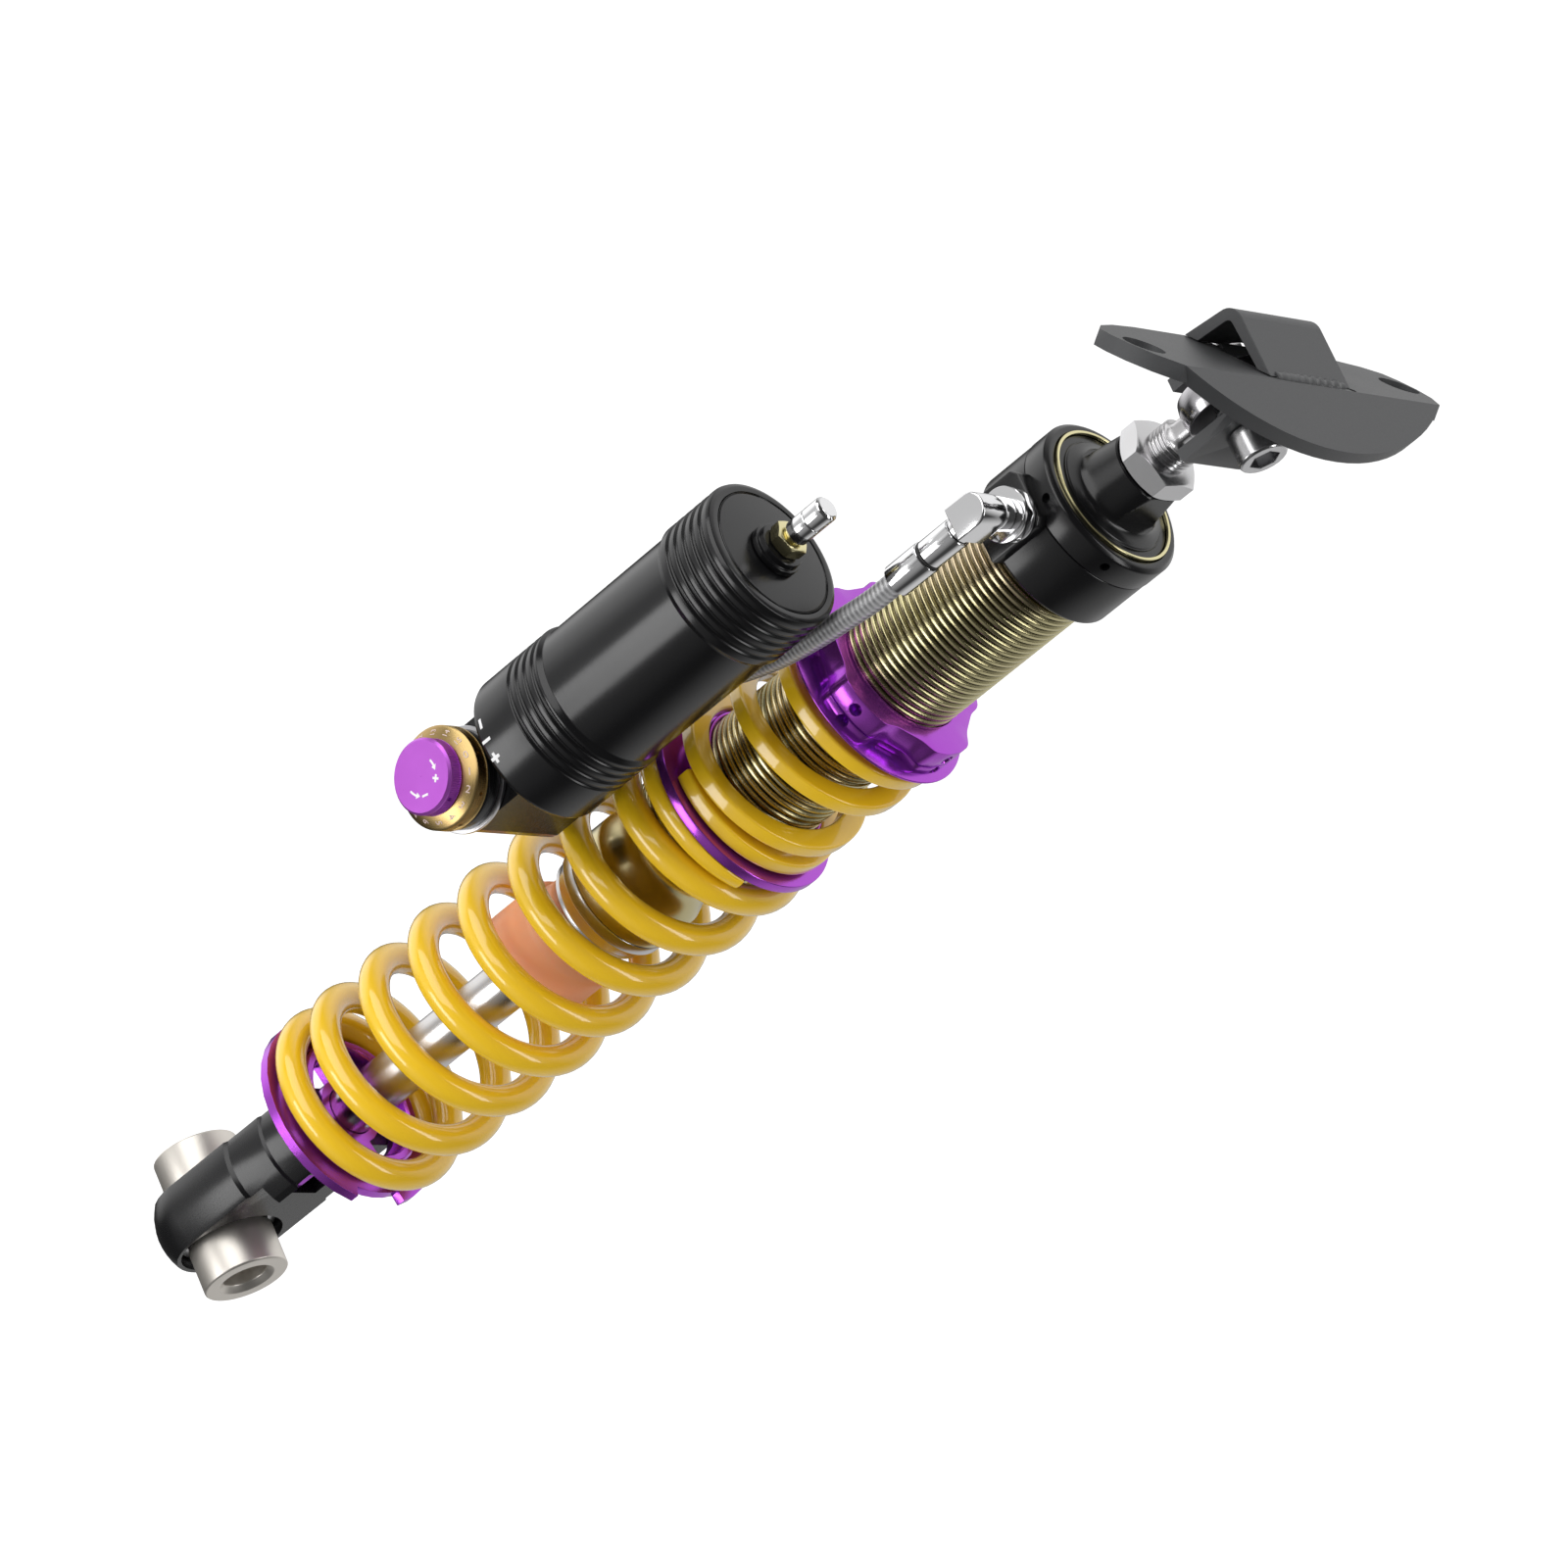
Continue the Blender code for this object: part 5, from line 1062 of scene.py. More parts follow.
def carved(piece: bpy.types.Object, cutters: Sequence[bpy.types.Object],
           sharp: float = 28.0) -> bpy.types.Object:
    """Cut a piece with each cutter, and delete the cutters.

    Args:
        piece: the object that is cut.
        cutters: the cutters.
        sharp: angle in degrees past which an edge stays sharp.

    Returns:
        The object.
    """
    for cutter in cutters:
        cut = piece.modifiers.new("Cut", "BOOLEAN")
        cut.operation, cut.object, cut.solver = "DIFFERENCE", cutter, "EXACT"
    bpy.context.view_layer.update()
    graph = bpy.context.evaluated_depsgraph_get()
    mesh = bpy.data.meshes.new_from_object(piece.evaluated_get(graph))
    piece.modifiers.clear()
    piece.data = mesh
    tidy_mesh(mesh, outwards=False)
    mesh.shade_smooth()
    mesh.set_sharp_from_angle(angle=math.radians(sharp))
    for cutter in cutters:
        bpy.data.objects.remove(cutter)
    return piece


def dress(piece: bpy.types.Object, finish: Finish) -> None:
    """Give a piece one finish."""
    piece.data.materials.clear()
    piece.data.materials.append(finish.material())


class Workshop:
    """Dresses pieces, seats them on their bodies and logs their vertex counts."""

    def __init__(self, frame: Dict[str, Any]) -> None:
        """Take the loaded frame.
        """
        self.nodes: Dict[str, bpy.types.Object] = frame["nodes"]

    def seat(self, piece: bpy.types.Object, body: Body, finish: Finish, slot: str,
             *nodes: str) -> bpy.types.Object:
        """Dress a piece, let it ride on its body and stand for CAD nodes.

        Args:
            piece: the object.
            body: the body it rides on.
            finish: its finish.
            slot: not used.
            nodes: CAD nodes that it stands for.

        Returns:
            The object.
        """
        dress(piece, finish)
        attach(piece, body.value)
        if nodes:
            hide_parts(*nodes)
        LOG.info("%s: %d vertices on %s", piece.name, len(piece.data.vertices), body.value)
        return piece

    def keep(self, node: str, finish: Finish) -> None:
        """Give a CAD node that stays its finish."""
        dress(self.nodes[node], finish)

    def refined(self, node: str, name: str, width: float) -> bpy.types.Object:
        """A merged copy of a CAD node with rounded edges.

        Args:
            node: the CAD node.
            name: the copy's name.
            width: reach of the rounding, in millimetres.

        Returns:
            The copy.
        """
        copy = mesh_object(name, self.nodes[node].data.copy(), 30.0, flatten=True)
        return softened(copy, width)


# ------------------------------------------------------------------ sub-assemblies


@dataclass(frozen=True)
class Ear:
    """Clevis ear, and how far it is cut back at its left and its foot. Millimetres."""

    node: str
    name: str
    left: float
    foot: float

    def build(self, shop: Workshop) -> None:
        """Build and dress the ear.

        Args:
            shop: the workshop.
        """
        far, deep, shoulder = 60.0, 40.0, 9.0
        beside = block((-far, -deep, -far), (self.left, deep, shoulder))
        below = block((-far, -deep, -far), (far, deep, self.foot))
        ear = carved(shop.refined(self.node, self.name, 0.7), [beside, below])
        shop.seat(ear, Body.BRACKET, Finish.BRACKET, "bracket", self.node)


@dataclass
class TopMount:
    """Bracket, its ears, the pivot bolt and the rod end. Millimetres."""

    ears: Tuple[Ear, ...] = (Ear("clevis_ear_front", "front_ear", -14.5, -30.0),
                             Ear("clevis_ear_rear", "rear_ear", -16.0, -12.0))
    bolt_bore: float = 6.3
    bolt_nut_flats: float = 18.0
    bolt_nut_faces: Tuple[float, float] = (-23.3, -14.3)
    weld_length: float = 41.0
    weld_pitch: float = 4.4
    weld_radius: float = 2.2
    weld_top: float = 31.15
    cap_foot: Tuple[float, float] = (-16.0, 30.2)
    cap_wall: float = 3.0
    cap_lean: float = 35.0
    ball_radius: float = 11.0
    ball_half: float = 7.0
    spacer_radius: float = 8.4
    spacer_faces: Tuple[float, float] = (7.3, 8.7)
    ring_radius: float = 20.3
    ring_half: float = 5.5
    shank_top: float = -12.6
    shank_half: Tuple[float, float] = (8.2, 4.75)
    shank_foot_radius: float = 8.7
    shank_growth: Tuple[float, float] = (-22.8, 4.2)
    stud_radius: float = 9.0
    stud_pitch: float = 1.75
    stud_depth: float = 0.95
    stud_top: float = -27.0
    stud_foot: float = -44.2
    nut_flats: float = 28.0

    def build(self, shop: Workshop) -> None:
        """Build and dress the pieces.

        Args:
            shop: the workshop.
        """
        for node, name in (("top_bracket", "bracket_plate"), ("bracket_channel", "bracket_cap")):
            shop.seat(shop.refined(node, name, 0.9), Body.BRACKET, Finish.BRACKET, "bracket", node)
        for ear in self.ears:
            ear.build(shop)
        bolt = shop.refined("pivot_bolt", "pivot_bolt_head", 0.35)
        shop.seat(bolt, Body.BRACKET, Finish.ZINC_BOLT, "zinc", "pivot_bolt")
        nut = Piece("pivot_nut_hex").hexagonal(self.bolt_nut_flats, *self.bolt_nut_faces, self.bolt_bore,
                                               FORWARD)
        shop.seat(nut.object(), Body.BRACKET, Finish.ZINC_BOLT, "zinc", "pivot_nut")
        self.weld(shop)
        self.rod_end(shop)
        self.shank(shop)
        self.stud(shop)
        nut = Piece("jam_nut_hex").hexagonal(self.nut_flats, *JAM_NUT_MM,
                                             self.stud_radius - self.stud_depth + 0.2)
        shop.seat(nut.object(), Body.DAMPER, Finish.ZINC, "zinc", "jam_nut")

    def weld(self, shop: Workshop) -> None:
        """Weld bead along the cap's front foot, centred in the corner under its leaning wall.

        The bead is round and runs along X. It swells by a fifth in every ripple and leans into it,
        with a slower wave of a twelfth over it. Its ends are rounded and its top is held level.

        Args:
            shop: the workshop.
        """
        half = 0.5 * self.weld_length
        along = np.linspace(-half, half, 220)
        swell = 1.0 + 0.20 * np.abs(np.sin(math.pi * along / self.weld_pitch)) + 0.08 * np.sin(1.31 * along)
        swell *= np.sqrt(np.clip(1.0 - (np.abs(along) / half) ** 16, 0.0, 1.0))
        reach = self.weld_radius * swell[:, None]
        angle = np.linspace(0.0, TURN, 20, endpoint=False)
        lean, clear = math.radians(self.cap_lean), 0.4
        depth = self.cap_foot[0] + self.cap_wall * math.cos(lean) + clear * math.sin(lean)
        height = self.cap_foot[1] - self.cap_wall * math.sin(lean) + clear * math.cos(lean)
        ripple = 0.8 * np.sin(TURN * along / self.weld_pitch)[:, None] * np.sin(angle)
        surface = np.stack([along[:, None] + ripple, depth + reach * np.cos(angle),
                            np.minimum(height + reach * np.sin(angle), self.weld_top)], -1)
        bead = Piece("bracket_weld").grid(surface, caps=True).object(50.0)
        shop.seat(bead, Body.BRACKET, Finish.WELD, "bracket")

    def rod_end(self, shop: Workshop) -> None:
        """Ball, its spacers and its housing.

        Args:
            shop: the workshop.
        """
        half, bore = self.ball_half, self.bolt_bore
        arc = ball_arc(self.ball_radius, half, -half, 24)
        ball = Piece("joint_ball").turned([(bore, half), *arc, (bore, -half)], FORWARD, 0.1, 72, True)
        shop.seat(ball.object(), Body.UPPER_BALL, Finish.CHROME, "chrome", "rod_end_ball")
        for side, end in ((1, "front"), (-1, "rear")):
            low, high = sorted(side * face for face in self.spacer_faces)
            outline = barrel(self.spacer_radius, high, low, bore)
            spacer = Piece("joint_spacer_" + end).turned(outline, FORWARD, 0.2, 64, True)
            shop.seat(spacer.object(), Body.UPPER_BALL, Finish.ZINC_BOLT, "zinc", "ball_spacer_" + end)

        half = self.ring_half
        seat = ball_arc(self.ball_radius + PLAY, -half, half, 12)
        crown = ball_arc(self.ring_radius, half, -half, 12)
        housing = Piece("rod_end_housing").turned(seat + crown, FORWARD, 0.3, 128, True).object(40.0)
        shop.seat(housing, Body.DAMPER, Finish.STEEL, "zinc", "rod_end")

    def shank(self, shop: Workshop) -> None:
        """Neck between housing and stud: a rounded rectangle that grows into the stud's circle.

        A superellipse |x/a|^n + |y/b|^n = 1 whose half widths and power n run from the neck's to
        the circle's as it goes down.

        Args:
            shop: the workshop.
        """
        height = np.linspace(self.shank_top, self.stud_top, 24)[:, None]
        start, length = self.shank_growth
        share = np.clip((start - height) / length, 0.0, 1.0)
        share = share * share * (3 - 2 * share)
        angle = np.linspace(0.0, TURN, 72, endpoint=False)[None]
        wide, deep = (half + (self.shank_foot_radius - half) * share for half in self.shank_half)
        power = 4.0 - 2.0 * share
        cosine, sine = np.cos(angle), np.sin(angle)
        x = wide * np.sign(cosine) * np.abs(cosine) ** (2 / power)
        y = deep * np.sign(sine) * np.abs(sine) ** (2 / power)
        surface = np.stack([x, y, height + 0.0 * x], -1)
        neck = Piece("rod_end_neck").grid(surface, caps=True).object(40.0)
        shop.seat(neck, Body.DAMPER, Finish.ZINC, "zinc")

    def stud(self, shop: Workshop) -> None:
        """Threaded stud from the neck down through the jam nut.

        Args:
            shop: the workshop.
        """
        surface = thread_surface(self.stud_radius, self.stud_depth, self.stud_pitch, self.stud_foot,
                                 self.stud_top + 0.5, columns=64, rows_per_turn=8, crest=0.15, lead=0.8)
        stud = Piece("stud_thread").grid(surface, caps=True).object(60.0)
        shop.seat(stud, Body.DAMPER, Finish.ZINC, "zinc")


def thread_surface(radius: float, depth: float, pitch: float, low: float, high: float, columns: int,
                   rows_per_turn: int, crest: float, lead: float, power: float = 1.0) -> Array:
    """Screw thread as a grid.

    A point at height z and angle a lies at the phase (z / pitch - a / 360 degrees), and its
    radius is the outer radius less depth times the groove's shape at that phase: 0 on the crest,
    1 in the root. The groove fades out over the lead at both ends.

    Args:
        radius: over the crests, in millimetres.
        depth: of the grooves.
        pitch: of the thread.
        low: foot.
        high: top.
        columns: points round.
        rows_per_turn: rows to each pitch.
        crest: share of the pitch that is flat crest.
        lead: length over which the groove fades at each end, in millimetres.
        power: above 1 rounds the crests.

    Returns:
        Rows by columns by 3 points.
    """
    rows = int(round((high - low) / pitch * rows_per_turn))
    height = np.linspace(low, high, rows + 1)[:, None]
    angle = np.linspace(0.0, TURN, columns, endpoint=False)[None]
    phase = np.mod(height / pitch - angle / TURN, 1.0)
    groove = np.clip((1.0 - np.abs(2.0 * phase - 1.0) / (1.0 - crest)), 0.0, 1.0) ** power
    fade = np.clip(np.minimum(height - low, high - height) / lead, 0.0, 1.0)
    reach = radius - depth * groove * fade
    return np.stack([reach * np.cos(angle), reach * np.sin(angle), height + 0.0 * angle], -1)


@dataclass
class Head:
    """Head of the damper: core with a flared neck with two flats, bronze ring, cap and body. Millimetres."""

    neck_flats: float = 27.4
    core_radius: float = 23.4
    rim_radius: float = 26.2
    flange_radius: float = 27.4
    cap_radius: float = 32.0
    body_radius: float = 31.8
    hole_radius: float = 1.8
    holes: int = 6

    def build(self, shop: Workshop) -> None:
        """Build and dress the pieces.

        Args:
            shop: the workshop.
        """
        top, rim_top, rim_foot, foot = HEAD_FACE_MM - PLAY, -62.5, -64.4, HEAD_SPLIT_MM + PLAY
        core = Piece("head_hub").turned(
            [(0.0, top), (self.core_radius, top), (self.core_radius, rim_top), (self.rim_radius, rim_top),
             (self.rim_radius, rim_foot), (self.flange_radius, rim_foot), (self.flange_radius, foot),
             (0.0, foot)], ease=0.3, segments=128)
        shop.seat(core.object(), Body.DAMPER, Finish.BLACK_DAMPER, "black", "head_core")
        self.neck(shop)
        ring = Piece("head_bronze_ring").turned(barrel(27.7, -61.2, -64.1, 26.5), ease=0.3, segments=128,
                                                ring=True)
        shop.seat(ring.object(), Body.DAMPER, Finish.BRONZE, "bronze", "head_ring")

        top, bore, chamfer = -62.3, 28.0, 1.6
        cap = Piece("head_cap_ring").turned(
            [(bore, top), (self.cap_radius - chamfer, top), (self.cap_radius, top - chamfer),
             (self.cap_radius, HEAD_SPLIT_MM), (bore, HEAD_SPLIT_MM)], ease=0.5, segments=160, ring=True)
        middle = 0.5 * (top + HEAD_SPLIT_MM)
        holes = [hole(barrel(self.hole_radius, 29.0, 36.0), outward(TURN * k / self.holes, middle))
                 for k in range(self.holes)]
        shop.seat(carved(cap.object(), holes), Body.DAMPER, Finish.BLACK_DAMPER, "black", "head_cap")

        top, ceiling, bore = HEAD_SPLIT_MM - PLAY, -79.8, 26.7
        body = Piece("head_shell").turned(
            [(0.0, top), (self.body_radius, top), (self.body_radius, HEAD_FOOT_MM + chamfer),
             (self.body_radius - chamfer, HEAD_FOOT_MM), (bore, HEAD_FOOT_MM), (bore, ceiling),
             (0.0, ceiling)], ease=0.5, segments=160)
        shop.seat(body.object(), Body.DAMPER, Finish.BLACK_DAMPER, "black", "head_body")
        self.boss(shop)

    def neck(self, shop: Workshop) -> None:
        """Flared neck with two wrench flats.

        The radius grows with the height's share down the neck and, near the foot, with its 16th
        power. Above the ledge it is held to the flats, half the flats' width over |sin(angle)|.

        Args:
            shop: the workshop.
        """
        half, ledge, foot = 0.5 * self.neck_flats, -59.4, -61.9
        quarter = np.linspace(0.0, 0.5 * math.pi, 40, endpoint=False)
        angle = np.concatenate([quarter + k * 0.5 * math.pi for k in range(4)])
        height = np.concatenate([[NECK_TOP_MM, NECK_TOP_MM], np.linspace(NECK_TOP_MM - 0.5, ledge, 40),
                                 np.linspace(ledge - 0.01, foot, 12)])
        share = (NECK_TOP_MM - height) / (NECK_TOP_MM - HEAD_FACE_MM)
        cone = 15.0 + 2.8 * share + 5.0 * np.clip(share, 0.0, 1.0) ** 16
        cone[0], cone[1] = 0.0, 14.5
        flat = half / np.maximum(np.abs(np.sin(angle)), 0.3)
        radius = np.where(height[:, None] >= ledge, np.minimum(flat[None], cone[:, None]), cone[:, None])
        surface = np.stack([radius * np.cos(angle), radius * np.sin(angle), height[:, None] + 0 * angle], -1)
        neck = Piece("head_neck").grid(surface).turned([(0.0, foot), (22.9, foot)], ease=0.0)
        shop.seat(neck.object(24.0), Body.DAMPER, Finish.BLACK_DAMPER, "black")

    def boss(self, shop: Workshop) -> None:
        """Chamfered block for the hose on the side of the body.

        Args:
            shop: the workshop.
        """
        left, right, low, high, chamfer = -15.5, 8.5, -97.3, -71.3, 3.0
        outline = [(right, low), (right, high - chamfer), (right - chamfer, high), (left + chamfer, high),
                   (left, high - chamfer), (left, low)]
        place = frame_of((0, -1, 0), (0, 0, 1))
        boss = Piece("hose_boss_block").raised(eased(outline, 0.8, closed=True), 27.0, 36.0, place, 0.6)
        shop.seat(boss.object(), Body.DAMPER, Finish.BLACK_DAMPER, "black")


@dataclass
class Tube:
    """Threaded body tube, gland, wiper, bump stop and rod. Millimetres."""

    radius: float = 26.4
    pitch: float = 3.0
    depth: float = 1.15
    core: float = 25.0
    waist: float = 21.6
    bore: float = 18.5
    rod_radius: float = 10.0

    def build(self, shop: Workshop) -> None:
        """Build and dress the pieces.

        Args:
            shop: the workshop.
        """
        thread = thread_surface(self.radius, self.depth, self.pitch, THREAD_FOOT_MM - 0.2,
                                THREAD_TOP_MM, 96, 12, 0.42, 1.2, 0.85)
        body = Piece("tube_thread").grid(thread, caps=True).object(70.0)
        shop.seat(body, Body.DAMPER, Finish.THREAD, "tube")
        share = np.linspace(0.0, 1.0, 33)
        end = self.radius + (self.core - self.radius) * share
        waist = end + (self.waist - end) * np.sin(math.pi * share)
        fall = THREAD_FOOT_MM + (BELL_TOP_MM - THREAD_FOOT_MM) * share
        core, bore, top = self.core, self.bore, -80.4
        outline = [(bore, top), (self.radius, top), (self.radius, HEAD_FOOT_MM), (core + 0.6, HEAD_FOOT_MM),
                   (core + 0.2, THREAD_TOP_MM - 0.5), (core, THREAD_TOP_MM - 1.0),
                   (core, THREAD_FOOT_MM + 1.0)]
        outline += list(zip(waist.tolist(), fall.tolist()))
        outline += [(core, BELL_FOOT_MM), (bore, BELL_FOOT_MM)]
        sleeve = Piece("tube_sleeve").turned(outline, ease=0.4, segments=128, ring=True).object(40.0)
        shop.seat(sleeve, Body.DAMPER, Finish.BELL, "tube", "body_tube")

        rod, joint = self.rod_radius + PLAY, BELL_FOOT_MM - PLAY
        bottom = [(rod, BELL_TOP_MM), (bore - PLAY, BELL_TOP_MM), (bore - PLAY, joint), (core, joint),
                  (core, -333.0), (22.0, -339.0), (22.0, GLAND_FOOT_MM), (14.0, GLAND_FOOT_MM),
                  (14.0, -337.0), (rod, -337.0)]
        gland = Piece("gland_cap").turned(bottom, ease=0.5, segments=128, ring=True).object()
        shop.seat(gland, Body.DAMPER, Finish.ZINC, "zinc", "gland")
        wiper = [(rod, -337.3), (13.7, -337.3), (13.7, GLAND_FOOT_MM), (11.3, GLAND_FOOT_MM)]
        seal = Piece("rod_wiper").turned(wiper, ease=0.3, ring=True)
        shop.seat(seal.object(), Body.DAMPER, Finish.RUBBER, "rubber", "wiper_ring")
        stop = [(rod, BUMP_TOP_MM), (17.0, BUMP_TOP_MM), (19.0, BUMP_TOP_MM - 2.0), (19.0, -354.0),
                (21.0, -355.0), (23.0, -358.0), (23.0, -381.0), (19.0, -385.0), (rod, -385.0)]
        foam = Piece("bump_stop_foam").turned(stop, ease=1.2, segments=128, ring=True).object(40.0)
        shop.seat(foam, Body.DAMPER, Finish.FOAM, "foam", "bump_stop")
        top, shoulder, foot, chamfer, radius = -287.8, -311.4, -511.4, 1.0, self.rod_radius
        outline = [(0.0, top), (6.0, top), (6.0, shoulder), (radius, shoulder), (radius, foot + chamfer),
                   (radius - chamfer, foot), (0.0, foot)]
        rod = Piece("chrome_rod").turned(outline, ease=0.3, segments=128)
        shop.seat(rod.object(), Body.ROD, Finish.ROD, "chrome", "piston_rod")
        for node in ("piston", "piston_nut"):
            shop.keep(node, Finish.ZINC)
        shop.keep("floating_piston", Finish.ALUMINIUM)


@dataclass
class Coils:
    """The two springs: wire carried along a helix with closed end turns. Millimetres.

    A spring that is pressed has the given share of its length when the rod is all the way in.
    """

    main_radius: float = 36.0
    main_wire: float = 6.0
    main_rise: float = 12.6
    main_turns: float = 6.76
    main_start: float = -30.0
    main_ground: float = 4.0
    main_pressed: float = 175.5 / 225.9
    tender_inner: float = 29.0
    tender_width: float = 9.0
    tender_height: float = 6.3
    tender_rise: float = 6.8
    tender_turns: float = 1.8
    tender_start: float = 175.0
    tender_pressed: float = 31.2 / 70.8

    @staticmethod
    def coil(section: Array, radius: float, low: float, high: float, rise: float, turns: float,
             start: float, points: int) -> Array:
        """Wire along a helix.

        The wire's middle stands at height z(t) after t turns, which climbs by the rise in the
        first and last turn and evenly between, averaged over about a sixth of a turn. Each
        section point goes outwards by u and by v square to both the wire and that direction.

        Args:
            section: points (u, v) of the wire's section.
            radius: of the helix.
            low: height of the wire's middle at its start.
            high: height at its end.
            rise: climb of each closed turn.
            turns: active turns.
            start: angle of the start, in degrees.
            points: rows to each turn.

        Returns:
            Rows by columns by 3 points.
        """
        total = 2.0 + turns
        turn = np.linspace(0.0, total, int(total * points) + 1)
        knots = [0.0, 1.0, 1.0 + turns, total]
        levels = [low, low + rise, high - rise, high]
        fine = np.interp(turn, knots, levels)
        width = max(3, points // 6) | 1
        padded = np.concatenate([2 * fine[0] - fine[width // 2:0:-1], fine,
                                 2 * fine[-1] - fine[-2:-2 - width // 2:-1]])
        height = np.convolve(padded, np.ones(width) / width, "valid")
        angle = math.radians(start) + TURN * turn
        slope = np.gradient(height, TURN * turn * radius)
        flat = 1.0 / np.sqrt(1.0 + slope ** 2)
        outward = np.stack([np.cos(angle), np.sin(angle), 0.0 * angle], -1)
        tangent = np.stack([-np.sin(angle) * flat, np.cos(angle) * flat, slope * flat], -1)
        upward = np.cross(outward, tangent)
        middle = outward * radius + np.stack([0.0 * angle, 0.0 * angle, height], -1)
        return (middle[:, None] + section[None, :, :1] * outward[:, None]
                + section[None, :, 1:] * upward[:, None])

    def build(self, shop: Workshop) -> None:
        """Build and dress the springs, and give each its own mesh.

        Args:
            shop: the workshop.
        """
        angle = np.linspace(0.0, TURN, 28, endpoint=False)
        section = self.main_wire * np.stack([np.cos(angle), np.sin(angle)], -1)
        grind = self.main_wire - self.main_ground
        surface = self.coil(section, self.main_radius, SPRING_SEAT_MM + grind, DIVIDER_FOOT_MM - grind,
                            self.main_rise, self.main_turns, self.main_start, 72)
        surface[..., 2] = np.clip(surface[..., 2], SPRING_SEAT_MM + PLAY, DIVIDER_FOOT_MM - PLAY)
        main = Piece("main_coil").grid(surface, caps=True).object(55.0)
        shop.seat(main, Body.ROD, Finish.YELLOW, "spring", "main_spring")
        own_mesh(main)

        half = 0.5 * self.tender_height
        corners = [(0.0, -half), (self.tender_width, -half), (self.tender_width, half), (0.0, half)]
        flat = eased(corners, 1.3, 4, closed=True)
        surface = self.coil(flat, self.tender_inner, DIVIDER_TOP_MM + PLAY + half, SEAT_RING_MM - PLAY - half,
                            self.tender_rise, self.tender_turns, self.tender_start, 72)
        surface[..., 2] = np.clip(surface[..., 2], DIVIDER_TOP_MM + PLAY, SEAT_RING_MM - PLAY)
        tender = Piece("tender_coil").grid(surface, caps=True).object(55.0)
        shop.seat(tender, Body.DAMPER, Finish.YELLOW, "spring", "tender_spring")
        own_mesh(tender)


